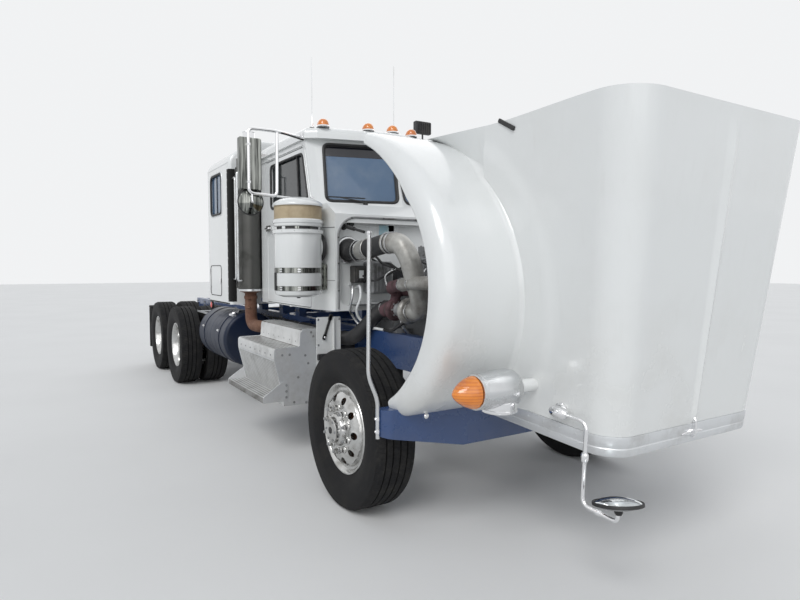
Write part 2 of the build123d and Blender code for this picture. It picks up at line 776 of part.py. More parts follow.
# Convex mirror on the hood's right flank: a base, an arm with three bends and a round head
hood_mirror_x = 3160.0
hood_mirror_z = 1620.0
hood_mirror_lift = 190.0
hood_mirror_reach = 400.0
hood_mirror_rise = 200.0
hood_mirror_radius = 112.0
hood_mirror_post = 60.0
mirror_base_radius = 40.0
mirror_arm_gap = 35.0
with BuildPart() as hood_mirror_closed:
    base_half = hood_size(hood_mirror_x - mirror_base_radius, 0)[0]
    with BuildSketch(outward(hood_mirror_x, base_half + seat, hood_mirror_z, -1)):
        Circle(mirror_base_radius)
    extrude(amount=45)
    arm_y_right = -(base_half + mirror_arm_gap)
    lift_z = hood_mirror_z + hood_mirror_lift
    head_x = hood_mirror_x + hood_mirror_reach
    head_z = lift_z + hood_mirror_rise
    with BuildLine() as arm_line:
        FilletPolyline(
            (hood_mirror_x, arm_y_right, hood_mirror_z),
            (hood_mirror_x, arm_y_right, lift_z),
            (head_x, arm_y_right, lift_z),
            (head_x, arm_y_right, head_z),
            (head_x - hood_mirror_post, arm_y_right, head_z),
            radius=30,
        )
    with BuildSketch(Plane(origin=arm_line.line @ 0, z_dir=arm_line.line % 0)):
        Circle(10)
    sweep(path=arm_line.line)
    with Locations((head_x - hood_mirror_post, arm_y_right, head_z)):
        Cylinder(hood_mirror_radius, 40, rotation=(0, 90, 0))
with BuildPart() as hood_mirror:
    add(hood_mirror_closed.part.rotate(tilt_axis, hood_angle))
hood_mirror.part.label = "hood_mirror"
export_step(hood_mirror.part, "parts/hood_mirror.step")


# Cab: a plan that widens behind the cowl, with a two piece raked windscreen in a shallow V
screen_half = 705.0
pillar_x = screen_side_x - 15
screen_rise = roof_side_z - belt_z


def cab_plan(lean, inset):
    """Points of the cab's plan at a height where the screen leans back by lean, drawn in by inset."""
    nose = ((screen_foot_x - lean - inset, 0),)
    right = (
        (screen_side_x - lean - inset, -screen_half + inset),
        (pillar_x - lean - inset, -cab_half + inset),
        (cab_back_x + inset, -cab_half + inset),
    )
    return nose + right + tuple((x, -y) for x, y in reversed(right))


with BuildPart() as cab_outer:
    with BuildSketch(Plane.XY.offset(cab_bottom_z)):
        Polygon(
            (cowl_x, -cowl_half),
            (pillar_x, -cab_half),
            (cab_back_x, -cab_half),
            (cab_back_x, cab_half),
            (pillar_x, cab_half),
            (cowl_x, cowl_half),
            align=None,
        )
    extrude(amount=belt_z - cab_bottom_z)
    with BuildSketch(Plane.XZ):
        Polygon(
            (cowl_x + 1, cowl_z),
            (screen_foot_x, belt_z),
            (screen_foot_x, belt_z + 50),
            (cowl_x + 1, belt_z + 50),
            align=None,
        )
    extrude(amount=cab_half + 10, both=True, mode=Mode.SUBTRACT)
    for z, lean in ((belt_z, 0), (roof_side_z, screen_lean)):
        with BuildSketch(Plane.XY.offset(z)):
            Polygon(*cab_plan(lean, 0), align=None)
    loft(ruled=True)
    with BuildSketch(Plane.XY.offset(roof_side_z)):
        Polygon(
            (screen_foot_x - screen_lean + 75, 0),
            (screen_side_x - screen_lean + 80, -screen_half),
            (pillar_x - screen_lean + 30, -cab_half - roof_overhang),
            (cab_back_x, -cab_half - roof_overhang),
            (cab_back_x, cab_half + roof_overhang),
            (pillar_x - screen_lean + 30, cab_half + roof_overhang),
            (screen_side_x - screen_lean + 80, screen_half),
            align=None,
        )
    extrude(amount=roof_z - roof_side_z)
    fillet(cab_outer.faces().sort_by(Axis.Z)[-1].edges(), radius=60)
    with BuildSketch(Plane.YZ.offset(firewall_x)):
        with Locations((0, (cab_bottom_z + cowl_z - 30) / 2)):
            RectangleRounded(2 * cowl_half - 70, cowl_z - cab_bottom_z - 110, 90)
    extrude(amount=cowl_x - firewall_x + 10, mode=Mode.SUBTRACT)

with BuildPart() as cab_hollow:
    with BuildSketch(Plane.XY.offset(cab_bottom_z + cab_wall)):
        Polygon(
            (firewall_x - cab_wall, -cowl_half + 15),
            (pillar_x - 60, -cab_half + door_thickness),
            (cab_back_x + cab_wall, -cab_half + door_thickness),
            (cab_back_x + cab_wall, cab_half - door_thickness),
            (pillar_x - 60, cab_half - door_thickness),
            (firewall_x - cab_wall, cowl_half - 15),
            align=None,
        )
    extrude(amount=cowl_z - cab_wall - cab_bottom_z - cab_wall - 10)
    low_lean = -(belt_z - cowl_z + cab_wall + 20) * screen_lean / screen_rise
    for z, lean in ((cowl_z - cab_wall - 20, low_lean), (roof_side_z + 20, screen_lean + 6)):
        with BuildSketch(Plane.XY.offset(z)):
            Polygon(*cab_plan(lean, door_thickness), align=None)
    loft(ruled=True)
    with BuildSketch(Plane.XY.offset(roof_side_z)):
        Polygon(*cab_plan(screen_lean, door_thickness), align=None)
    extrude(amount=roof_z - roof_side_z - cab_wall)

screen_foot = Vector(screen_foot_x, 0, belt_z)
screen_side = Vector(screen_side_x, -screen_half, belt_z)
screen_head = Vector(screen_foot_x - screen_lean, 0, roof_side_z)
screen_across = (screen_side - screen_foot).normalized()
screen_normal = screen_across.cross(screen_head - screen_foot).normalized()
screen_plane = Plane(origin=screen_foot, x_dir=screen_across, z_dir=screen_normal)
screen_width = (screen_side - screen_foot).length
screen_height = hypot(screen_lean, screen_rise)
screen_margin = 38.0
screen_opening = (screen_width - 2 * screen_margin, screen_height - 2 * screen_margin)

door_outline = (
    (door_front_x, door_bottom_z),
    (door_front_x, belt_z + 25),
    (door_front_x - door_lean * (door_top_z - belt_z - 25) / (roof_side_z - belt_z), door_top_z),
    (door_rear_x, door_top_z),
    (door_rear_x, door_bottom_z),
)
window_low_z = 2150.0
window_high_z = 2575.0
window_rear_x = 280.0


def door_edge(z):
    """Where the door's front edge lies at height z."""
    return door_front_x - door_lean * max(0, z - belt_z - 25) / (roof_side_z - belt_z)


window_outline = (
    (door_edge(window_low_z) - 42, window_low_z),
    (door_edge(window_high_z) - 42, window_high_z),
    (window_rear_x, window_high_z),
    (window_rear_x, window_low_z),
)
hinge_x = door_front_x + door_gap / 2
hinge_y = cab_half + hinge_radius
hinge_zs = (1480.0, 1980.0)
barrel_height = 40.0
boot_half = 480.0
boot_low_z = 1400.0
boot_high_z = 2480.0
with BuildPart() as cab_shell:
    add(cab_outer.part)
    add(cab_hollow.part, mode=Mode.SUBTRACT)
    with BuildSketch(screen_plane):
        with Locations((screen_width / 2, screen_height / 2)):
            RectangleRounded(*screen_opening, 40)
    screen_cut = extrude(amount=60, both=True, mode=Mode.SUBTRACT)
    mirror(screen_cut, about=Plane.XZ, mode=Mode.SUBTRACT)
    with BuildSketch(Plane.XZ.offset(cab_half - door_thickness)) as door_hole:
        Polygon(*door_outline, align=None)
        fillet(door_hole.vertices(), radius=30)
        offset(amount=door_gap)
    door_cut = extrude(amount=door_thickness + 60, mode=Mode.SUBTRACT)
    mirror(door_cut, about=Plane.XZ, mode=Mode.SUBTRACT)
    with BuildSketch(Plane.YZ.offset(cab_back_x - 5)):
        with Locations((0, (boot_low_z + boot_high_z) / 2)):
            RectangleRounded(2 * boot_half, boot_high_z - boot_low_z, 60)
    extrude(amount=cab_wall + 20, mode=Mode.SUBTRACT)
    for side in (-1, 1):
        for hinge_z in hinge_zs:
            for end in (-1, 1):
                barrel_z = hinge_z + end * (hinge_half_height + seat + barrel_height / 2)
                with Locations((hinge_x, side * hinge_y, barrel_z)):
                    Cylinder(hinge_radius, barrel_height)
                with Locations((hinge_x + hinge_tab / 2, side * (cab_half + hinge_radius / 2), barrel_z)):
                    Box(hinge_tab, hinge_radius, barrel_height)
cab_shell.part.label = "cab_shell"
export_step(cab_shell.part, "parts/cab_shell.step")

# Doors, made for the right side and mirrored to the left, each with its pane
with BuildPart() as door_right:
    with BuildSketch(Plane.XZ.offset(cab_half - door_thickness)) as door_face:
        Polygon(*door_outline, align=None)
        fillet(door_face.vertices(), radius=30)
    extrude(amount=door_thickness)
    with BuildSketch(Plane.XZ.offset(cab_half - door_thickness - 5)) as window_face:
        Polygon(*window_outline, align=None)
        fillet(window_face.vertices(), radius=45)
    extrude(amount=door_thickness + 10, mode=Mode.SUBTRACT)
    with BuildSketch(Plane.XZ.offset(cab_half)):
        with Locations((door_rear_x + 130, 1960)):
            RectangleRounded(130, 36, 10)
    extrude(amount=22)
    for hinge_z in hinge_zs:
        with Locations((hinge_x, -hinge_y, hinge_z)):
            Cylinder(hinge_radius, 2 * hinge_half_height)
        with Locations((hinge_x - hinge_tab / 2, -(cab_half + hinge_radius / 2), hinge_z)):
            Box(hinge_tab, hinge_radius, 2 * hinge_half_height)
with BuildPart() as door_left:
    mirror(door_right.part, about=Plane.XZ)
with BuildPart() as door_glass_right:
    with BuildSketch(Plane.XZ.offset(cab_half - door_thickness / 2 - glass_thickness / 2)) as pane:
        Polygon(*window_outline, align=None)
        fillet(pane.vertices(), radius=45)
        offset(amount=-seat)
    extrude(amount=glass_thickness)
with BuildPart() as door_glass_left:
    mirror(door_glass_right.part, about=Plane.XZ)
for door_name, piece in (
    ("door_right", door_right),
    ("door_left", door_left),
    ("door_glass_right", door_glass_right),
    ("door_glass_left", door_glass_left),
):
    piece.part.label = door_name
    export_step(piece.part, f"parts/{door_name}.step")

# Sleeper box behind the cab, hollow, with a window in each side
sleeper_outline = (
    (-sleeper_half, sleeper_bottom_z),
    (sleeper_half, sleeper_bottom_z),
    (sleeper_half, sleeper_side_z),
    (sleeper_half - 330, sleeper_top_z),
    (330 - sleeper_half, sleeper_top_z),
    (-sleeper_half, sleeper_side_z),
)
bunk_low_z = 2170.0
bunk_high_z = 2610.0
bunk_front_x = -620.0
bunk_rear_x = -1070.0
with BuildPart() as sleeper_shell:
    for near_x, far_x, inset in (
        (sleeper_back_x, sleeper_front_x, 0),
        (sleeper_back_x + sleeper_wall, sleeper_front_x - sleeper_wall, sleeper_wall),
    ):
        with BuildSketch(Plane.YZ.offset(near_x)) as box_face:
            Polygon(*sleeper_outline, align=None)
            fillet([v for v in box_face.vertices() if v.Y > sleeper_bottom_z + 1], radius=160)
            if inset:
                offset(amount=-inset)
        if inset:
            extrude(amount=far_x - near_x, mode=Mode.SUBTRACT)
        else:
            extrude(amount=far_x - near_x)
            cross_edges = sleeper_shell.edges().filter_by(Axis.X, reverse=True)
            fillet(cross_edges.filter_by(lambda edge: edge.center().Z > sleeper_bottom_z + 1), radius=35)
    with BuildSketch(Plane.XZ.offset(-sleeper_half - 10)):
        with Locations(((bunk_front_x + bunk_rear_x) / 2, (bunk_low_z + bunk_high_z) / 2)):
            RectangleRounded(bunk_front_x - bunk_rear_x, bunk_high_z - bunk_low_z, 50)
    extrude(amount=2 * sleeper_half + 20, mode=Mode.SUBTRACT)
    with BuildSketch(Plane.YZ.offset(sleeper_front_x - sleeper_wall - 10)):
        with Locations((0, (boot_low_z + boot_high_z) / 2)):
            RectangleRounded(2 * boot_half, boot_high_z - boot_low_z, 60)
    extrude(amount=sleeper_wall + 20, mode=Mode.SUBTRACT)
sleeper_shell.part.label = "sleeper_shell"
export_step(sleeper_shell.part, "parts/sleeper_shell.step")

# Fixed panes: two windscreens and two bunk windows
with BuildPart() as cab_glass:
    with BuildSketch(screen_plane.offset(20)):
        with Locations((screen_width / 2, screen_height / 2)):
            RectangleRounded(screen_opening[0] - 2 * seat, screen_opening[1] - 2 * seat, 40)
    extrude(amount=glass_thickness)
    with BuildSketch(Plane.XZ.offset(sleeper_half - sleeper_wall / 2)):
        with Locations(((bunk_front_x + bunk_rear_x) / 2, (bunk_low_z + bunk_high_z) / 2)):
            RectangleRounded(bunk_front_x - bunk_rear_x - 2 * seat, bunk_high_z - bunk_low_z - 2 * seat, 50)
    extrude(amount=glass_thickness)
    mirror(about=Plane.XZ)
cab_glass.part.label = "cab_glass"
export_step(cab_glass.part, "parts/cab_glass.step")

# Rubber boot joining the cab to the sleeper
boot_wall = 70.0
with BuildPart() as cab_boot:
    with BuildSketch(Plane.YZ.offset(sleeper_front_x + seat)):
        with Locations((0, (boot_low_z + boot_high_z) / 2)):
            RectangleRounded(2 * (boot_half + boot_wall), boot_high_z - boot_low_z + 2 * boot_wall, 90)
            RectangleRounded(2 * boot_half, boot_high_z - boot_low_z, 60, mode=Mode.SUBTRACT)
    extrude(amount=cab_back_x - sleeper_front_x - 2 * seat)
cab_boot.part.label = "cab_boot"
export_step(cab_boot.part, "parts/cab_boot.step")

# Seats, dash, steering wheel and bunk seen through the glass
floor_z = cab_bottom_z + cab_wall
seat_y = 400.0
seat_x = 520.0
dash_x = firewall_x - cab_wall - seat
wheel_plane = Plane(origin=(1080, seat_y, 1830), z_dir=(-0.55, 0, 0.83))
column_length = 80.0
with BuildPart() as cab_interior:
    for side in (-1, 1):
        with Locations((seat_x, side * seat_y, floor_z + 160)):
            Box(340, 340, 320)
        with Locations((seat_x, side * seat_y, floor_z + 390)):
            Box(520, 500, 140)
        with Locations((seat_x - 300, side * seat_y, floor_z + 760)):
            Box(130, 480, 700)
    with BuildSketch(Plane.XZ):
        Polygon((dash_x, 1620), (dash_x, 1930), (1290, 1930), (1180, 1850), (1200, 1620), align=None)
    extrude(amount=cowl_half - 60, both=True)
    with BuildSketch(wheel_plane.offset(-column_length - seat)):
        Circle(40)
    extrude(amount=-180)
    with Locations((dash_x - 165, 0, floor_z + 170)):
        Box(330, 500, 340)
    with Locations((sleeper_back_x + sleeper_wall + 330, 0, sleeper_bottom_z + sleeper_wall + 220)):
        Box(640, 2 * (sleeper_half - sleeper_wall) - 20, 440)
cab_interior.part.label = "cab_interior"
export_step(cab_interior.part, "parts/cab_interior.step")

with BuildPart() as steering_wheel:
    with Locations(wheel_plane):
        Torus(215, 16)
        Box(420, 36, 14)
        Cylinder(50, 40)
    with BuildSketch(wheel_plane):
        Circle(24)
    extrude(amount=-column_length)
steering_wheel.part.label = "steering_wheel"
export_step(steering_wheel.part, "parts/steering_wheel.step")

# Air cleaner canisters standing beside the cowl, as points (radius, height) of a turned section
cleaner_section = (
    (0, cleaner_bottom_z),
    (cleaner_radius - 60, cleaner_bottom_z),
    (cleaner_radius, cleaner_bottom_z + 45),
    (cleaner_radius, cleaner_top_z - 255),
    (cleaner_radius + 13, cleaner_top_z - 255),
    (cleaner_radius + 13, cleaner_top_z - 240),
    (cleaner_radius - 5, cleaner_top_z - 240),
    (cleaner_radius - 5, cleaner_top_z - 102),
    (cleaner_radius + 15, cleaner_top_z - 102),
    (cleaner_radius + 15, cleaner_top_z - 75),
    (cleaner_radius - 20, cleaner_top_z - 30),
    (60, cleaner_top_z),
    (0, cleaner_top_z),
)


def cowl_side(x):
    """Half width of the cab's side at x, ahead of the windscreen pillar."""
    return cowl_half + (cowl_x - x) / (cowl_x - pillar_x) * (cab_half - cowl_half)


bracket_zs = (1420.0, 1590.0)
duct_radius = 95.0
duct_z = 1760.0
with BuildPart() as air_cleaners:
    for side in (-1, 1):
        with BuildSketch(Plane(origin=(cleaner_x, side * cleaner_y, 0), x_dir=(1, 0, 0), z_dir=(0, -1, 0))):
            Polygon(*cleaner_section, align=None)
        revolve(axis=Axis((cleaner_x, side * cleaner_y, 0), (0, 0, 1)))
        for bracket_z in bracket_zs:
            inner_y = cowl_side(cleaner_x - 25) + seat
            with Locations((cleaner_x, side * (inner_y + cleaner_y) / 2, bracket_z)):
                Box(50, cleaner_y - inner_y, 40)
            with Locations((cleaner_x, side * cleaner_y, bracket_z)):
                Cylinder(cleaner_radius + 5, 34)
        inner_y = cowl_side(cleaner_x - duct_radius) + seat
        with BuildSketch(outward(cleaner_x, inner_y, duct_z, side)):
            Circle(duct_radius)
        extrude(amount=cleaner_y - inner_y)
air_cleaners.part.label = "air_cleaners"
export_step(air_cleaners.part, "parts/air_cleaners.step")

# Exhaust: turbo outlet pipe under the cab, elbow and upright muffler with its short stack
turbo_x = 2050.0
turbo_y = 400.0
turbo_z = 1240.0
turbine_half = 45.0
pipe_y = 560.0
pipe_z = 965.0
with BuildPart() as exhaust_stack:
    with BuildLine() as pipe_line:
        FilletPolyline(
            (turbo_x - turbine_half - seat, -turbo_y, turbo_z),
            (1850, -turbo_y, turbo_z),
            (1640, -pipe_y, pipe_z),
            (440, -pipe_y, pipe_z),
            (180, -stack_y, pipe_z),
            (stack_x, -stack_y, pipe_z),
            (stack_x, -stack_y, stack_bottom_z + 5),
            radius=120,
        )
    with BuildSketch(Plane(origin=pipe_line.line @ 0, z_dir=pipe_line.line % 0)):
        Circle(pipe_radius)
    sweep(path=pipe_line.line)
    with BuildSketch(Plane(origin=(stack_x, -stack_y, 0), x_dir=(1, 0, 0), z_dir=(0, -1, 0))):
        Polygon(
            (0, stack_bottom_z),
            (pipe_radius + 6, stack_bottom_z),
            (stack_radius, stack_bottom_z + 20),
            (stack_radius, stack_top_z - 260),
            (pipe_radius, stack_top_z - 210),
            (pipe_radius, stack_top_z),
            (0, stack_top_z),
            align=None,
        )
    revolve(axis=Axis((stack_x, -stack_y, 0), (0, 0, 1)))
exhaust_stack.part.label = "exhaust_stack"
export_step(exhaust_stack.part, "parts/exhaust_stack.step")

# Perforated guard strip on the sleeper's front wall behind the stack
guard_low_z = 1350.0
guard_high_z = 2640.0
with BuildPart() as heat_guard:
    with Locations((sleeper_front_x + seat + 8, -(sleeper_half - 190), (guard_low_z + guard_high_z) / 2)):
        Box(16, 230, guard_high_z - guard_low_z)
heat_guard.part.label = "heat_guard"
export_step(heat_guard.part, "parts/heat_guard.step")

# Step boxes under the doors, one section drawn out along each side
step_section = (
    (790, step_top_z),
    (970, step_top_z),
    (990, tread_z + 6),
    (1200, tread_z + 6),
    (1200, tread_z - 95),
    (1135, step_bottom_z + 95),
    (1300, step_bottom_z + 85),
    (1300, step_bottom_z + 45),
    (1130, step_bottom_z + 40),
    (1125, step_bottom_z),
    (790, step_bottom_z),
)
with BuildPart() as step_boxes:
    for side in (-1, 1):
        with BuildSketch(Plane.YZ.offset(step_rear_x)):
            Polygon(*[(side * y, z) for y, z in step_section], align=None)
        extrude(amount=step_front_x - step_rear_x)
        for arm_x in (step_rear_x + 120, step_front_x - 120):
            with Locations((arm_x, side * (frame_half + seat + 791) / 2, rail_bottom_z + 60)):
                Box(80, 791 - frame_half - seat, 90)
step_boxes.part.label = "step_boxes"
export_step(step_boxes.part, "parts/step_boxes.step")

# Cylindrical fuel tanks with their straps and rail brackets
strap_radius = tank_radius + 6
with BuildPart() as fuel_tanks:
    for side in (-1, 1):
        with BuildSketch(Plane(origin=(tank_rear_x, side * tank_y, tank_z), z_dir=(1, 0, 0))):
            Circle(tank_radius)
        extrude(amount=tank_front_x - tank_rear_x)
    fillet(fuel_tanks.edges().filter_by(GeomType.CIRCLE), radius=35)
    for side in (-1, 1):
        for strap_x in (tank_front_x - 250, tank_rear_x + 250):
            with BuildSketch(Plane(origin=(strap_x - 30, side * tank_y, tank_z), z_dir=(1, 0, 0))):
                Circle(strap_radius)
            extrude(amount=60)
            with Locations((strap_x, side * (frame_half + seat + 60), tank_z + 20)):
                Box(60, 120, 300)
fuel_tanks.part.label = "fuel_tanks"
export_step(fuel_tanks.part, "parts/fuel_tanks.step")

# Engine: block, head, rocker cover, sump, bell housing and front drive
engine_front_x = 2800.0
engine_rear_x = 1880.0
block_top_z = 1420.0
fan_z = 1400.0
fan_blades = 8
along = (0, 90, 0)
across = (90, 0, 0)
upright = (0, 0, 0)
engine_fittings = (
    # x, y, z, radius, length, direction; filters, starter, compressor and generator hung on the block
    (2560, -290, 1010, 50, 240, upright),
    (2440, -290, 1010, 50, 240, upright),
    (2020, -300, 960, 62, 300, along),
    (2600, 310, 1180, 82, 240, along),
    (2300, 305, 1300, 60, 260, upright),
    (2680, -300, 1180, 85, 170, along),
)
rocker_xs = (2000.0, 2170.0, 2340.0, 2510.0, 2680.0)
with BuildPart() as engine:
    engine_mid_x = (engine_front_x + engine_rear_x) / 2
    engine_length = engine_front_x - engine_rear_x
    for low_z, high_z, half_y, short in (
        (640, 900, 200, 90),
        (900, block_top_z, 260, 0),
        (block_top_z, block_top_z + 140, 190, 20),
        (block_top_z + 140, block_top_z + 270, 150, 40),
    ):
        with Locations((engine_mid_x, 0, (low_z + high_z) / 2)):
            Box(engine_length - 2 * short, 2 * half_y, high_z - low_z)
    with BuildSketch(Plane(origin=(engine_rear_x - 240, 0, 980), z_dir=(1, 0, 0))):
        Circle(190)
    with BuildSketch(Plane(origin=(engine_rear_x, 0, 980), z_dir=(1, 0, 0))):
        Circle(270)
    loft()
    for side in (-1, 1):
        for mount_x in (engine_rear_x + 150, engine_front_x - 120):
            with Locations((mount_x, side * 330, rail_top_z + seat + 15)):
                Box(120, 160, 30)
    with Locations((engine_front_x + 40, 0, 1150), (engine_front_x + 40, 0, 980)):
        Cylinder(110, 80, rotation=(0, 90, 0))
    for x, y, z, radius, length, turn in engine_fittings:
        with Locations((x, y, z)):
            Cylinder(radius, length, rotation=turn)
    for cover_x in rocker_xs:
        with Locations((cover_x, 0, block_top_z + 290)):
            Box(120, 220, 60)
    with Locations((engine_front_x + 130, 0, fan_z)):
        Cylinder(70, 60, rotation=(0, 90, 0))
        Cylinder(30, 300, rotation=(0, 90, 0), align=(Align.CENTER, Align.CENTER, Align.MAX))
    with BuildSketch(Plane(origin=(engine_front_x + 120, 0, fan_z), z_dir=(1, 0, 0))):
        with PolarLocations(185, fan_blades):
            Rectangle(260, 90)
    extrude(amount=18)
engine.part.label = "engine"
export_step(engine.part, "parts/engine.step")

# Exhaust manifold and turbocharger on the engine's right side
with BuildPart() as turbo:
    with BuildSketch(Plane(origin=(engine_rear_x + 60, -330, 1385), z_dir=(1, 0, 0))):
        Circle(42)
    extrude(amount=engine_length - 140)
    for port in range(6):
        with Locations((engine_rear_x + 120 + port * 145, -(260 + seat + 330) / 2, 1385)):
            Box(60, 330 - 260 - seat, 56)
    with Locations((turbo_x, -turbo_y, turbo_z)):
        Cylinder(105, 2 * turbine_half, rotation=(0, 90, 0))
    with Locations((turbo_x + 100, -turbo_y, turbo_z)):
        Cylinder(50, 130, rotation=(0, 90, 0))
    with Locations((turbo_x + 200, -turbo_y, turbo_z)):
        Cylinder(118, 80, rotation=(0, 90, 0))
turbo.part.label = "turbo"
export_step(turbo.part, "parts/turbo.step")

# Rubber intake ducts from the cowl, and the metal pipes that carry the air on
intake_y = 590.0
intake_z = 1700.0
intake_radius = 76.0
intake_joint_x = 1830.0
with BuildPart() as intake_ducts:
    with BuildSketch(Plane(origin=(firewall_x + seat, -intake_y, intake_z), z_dir=(1, 0, 0))):
        Circle(intake_radius + 14)
    extrude(amount=intake_joint_x - firewall_x - seat)
intake_ducts.part.label = "intake_ducts"
export_step(intake_ducts.part, "parts/intake_ducts.step")
with BuildPart() as charge_pipes:
    with BuildLine() as intake_line:
        FilletPolyline(
            (intake_joint_x + seat, -intake_y, intake_z),
            (turbo_x + 400, -intake_y, intake_z),
            (turbo_x + 400, -turbo_y, turbo_z),
            (turbo_x + 240 + seat, -turbo_y, turbo_z),
            radius=110,
        )
    with BuildSketch(Plane(origin=intake_line.line @ 0, z_dir=intake_line.line % 0)):
        Circle(intake_radius)
    sweep(path=intake_line.line)
charge_pipes.part.label = "charge_pipes"
export_step(charge_pipes.part, "parts/charge_pipes.step")

# Radiator on the rails, with its fan shroud ring behind it
radiator_x = 3020.0
radiator_depth = 110.0
radiator_half = 480.0
radiator_top_z = 1830.0
with BuildPart() as radiator:
    with Locations((radiator_x, 0, (radiator_top_z + rail_top_z + seat) / 2)):
        Box(radiator_depth, 2 * radiator_half, radiator_top_z - rail_top_z - seat)
    with BuildSketch(Plane(origin=(radiator_x - radiator_depth / 2, 0, fan_z), z_dir=(-1, 0, 0))):
        Circle(340)
        Circle(325, mode=Mode.SUBTRACT)
    extrude(amount=70)
radiator.part.label = "radiator"
export_step(radiator.part, "parts/radiator.step")

# Gearbox under the cab and the drive shafts
shaft_radius = 52.0
gearbox_rear_x = 1000.0
gearbox_z = 900.0
with BuildPart() as driveline:
    with Locations(((engine_rear_x - 240 - seat + gearbox_rear_x) / 2, 0, gearbox_z)):
        Box(engine_rear_x - 240 - seat - gearbox_rear_x, 360, 400)
    shaft_start = Vector(gearbox_rear_x, 0, gearbox_z - 60)
    shaft_end = Vector(drive_axle_xs[0] + 290 + seat, 0, axle_z + 40)
    with BuildSketch(Plane(origin=shaft_start, z_dir=shaft_end - shaft_start)):
        Circle(shaft_radius)
    extrude(amount=(shaft_end - shaft_start).length - 12)
    with BuildSketch(Plane(origin=shaft_end, z_dir=(1, 0, 0))):
        Circle(shaft_radius + 6)
    extrude(amount=45)
    with BuildSketch(Plane(origin=(drive_axle_xs[1] + 290 + seat, 0, axle_z), z_dir=(1, 0, 0))):
        Circle(shaft_radius)
    extrude(amount=tandem_spacing - 290 - 2 * seat - diff_radius)
driveline.part.label = "driveline"
export_step(driveline.part, "parts/driveline.step")

# Fifth wheel: side brackets on the rails, and the rocking plate with its kingpin throat
bracket_y = 370.0
plate_pin_radius = 20.0
with BuildPart() as fifth_base:
    for side in (-1, 1):
        with BuildSketch(Plane.XZ.offset(-side * bracket_y)):
            with BuildLine():
                Polyline(
                    (fifth_x - 250, rail_top_z + seat),
                    (fifth_x + 250, rail_top_z + seat),
                    (fifth_x + 250, rail_top_z + 20),
                    (fifth_x + 60, fifth_pivot_z),
                    (fifth_x - 60, fifth_pivot_z),
                    (fifth_x - 250, rail_top_z + 20),
                    close=True,
                )
            make_face()
            with Locations((fifth_x, fifth_pivot_z)):
                Circle(plate_pin_radius + 20)
                Circle(plate_pin_radius + pin_clearance, mode=Mode.SUBTRACT)
        extrude(amount=15, both=True)
fifth_base.part.label = "fifth_base"
export_step(fifth_base.part, "parts/fifth_base.step")

with BuildPart() as fifth_plate:
    with BuildSketch(Plane.XY.offset(fifth_top_z - fifth_thickness)) as plate_face:
        with Locations((fifth_x, 0)):
            Rectangle(2 * fifth_half_length, 2 * fifth_half_width)
        fillet(plate_face.vertices().group_by(Axis.X)[-1], radius=200)
        Polygon(
            (fifth_x - fifth_half_length - 5, -150),
            (fifth_x - fifth_half_length - 5, 150),
            (fifth_x - 60, kingpin_bore),
            (fifth_x, kingpin_bore),
            (fifth_x, -kingpin_bore),
            (fifth_x - 60, -kingpin_bore),
            align=None,
            mode=Mode.SUBTRACT,
        )
        with Locations((fifth_x, 0)):
            Circle(kingpin_bore, mode=Mode.SUBTRACT)
    extrude(amount=fifth_thickness)
    for side in (-1, 1):
        with BuildSketch(Plane.XZ.offset(-side * 250)):
            Polygon(
                (fifth_x - 230, fifth_top_z - fifth_thickness),
                (fifth_x + 230, fifth_top_z - fifth_thickness),
                (fifth_x + 60, fifth_pivot_z - 30),
                (fifth_x - 60, fifth_pivot_z - 30),
                align=None,
            )
        extrude(amount=12, both=True)
        with BuildSketch(outward(fifth_x, 250, fifth_pivot_z, side)):
            Circle(plate_pin_radius)
        extrude(amount=bracket_y - 250 + 15)
    with BuildSketch(Plane.XY.offset(fifth_top_z - fifth_thickness - 40)):
        with Locations((fifth_x, 0)):
            Circle(kingpin_bore + 32)
            Circle(kingpin_bore, mode=Mode.SUBTRACT)
        with Locations((fifth_x - 60, 0)):
            Rectangle(120, 2 * kingpin_bore, mode=Mode.SUBTRACT)
    extrude(amount=40)
fifth_plate.part.label = "fifth_plate"
export_step(fifth_plate.part, "parts/fifth_plate.step")

# Deck plate behind the sleeper, and quarter guards ahead of the drive wheels
with BuildPart() as deck_plate:
    with Locations((-1640, 0, rail_top_z + seat + 4)):
        Box(640, 2 * frame_half, 8)
deck_plate.part.label = "deck_plate"
export_step(deck_plate.part, "parts/deck_plate.step")

# Mud flaps behind the last wheels on their hanger bars, and splash panels ahead of the step boxes
flap_x = -4400.0
splash_x = 1560.0
splash_inner_y = 640.0
splash_outer_y = 860.0
with BuildPart() as mud_flaps:
    for side in (-1, 1):
        with Locations((splash_x, side * (splash_inner_y + splash_outer_y) / 2, 930)):
            Box(10, splash_outer_y - splash_inner_y, 460)
        strut_z = rail_bottom_z + 50
        with Locations((splash_x + 20, side * (frame_half + seat + splash_outer_y) / 2, strut_z)):
            Box(30, splash_outer_y - frame_half - seat, 50)
        with Locations((flap_x, side * 920, 590)):
            Box(10, 600, 640)
        with Locations((flap_x, side * (frame_half + seat + 1220) / 2, 930)):
            Box(30, 1220 - frame_half - seat, 50)
mud_flaps.part.label = "mud_flaps"
export_step(mud_flaps.part, "parts/mud_flaps.step")

# Red lamps at the rails' ends and under the sleeper's rear corners
marker_radius = 42.0
marker_z = sleeper_bottom_z - marker_radius - 4
with BuildPart() as tail_lamps:
    for side in (-1, 1):
        with Locations((rail_rear_x - 15 - seat, side * (frame_half - rail_flange / 2), rail_mid_z)):
            Box(30, 80, 200)
        with BuildSketch(outward(sleeper_back_x + 60, sleeper_half - 30, marker_z, side)):
            Circle(marker_radius)
        extrude(amount=28)
        hanger_top = sleeper_bottom_z - seat
        with Locations((sleeper_back_x + 60, side * (sleeper_half - 20), (marker_z + hanger_top) / 2)):
            Box(50, 16, hanger_top - marker_z)
tail_lamps.part.label = "tail_lamps"
export_step(tail_lamps.part, "parts/tail_lamps.step")

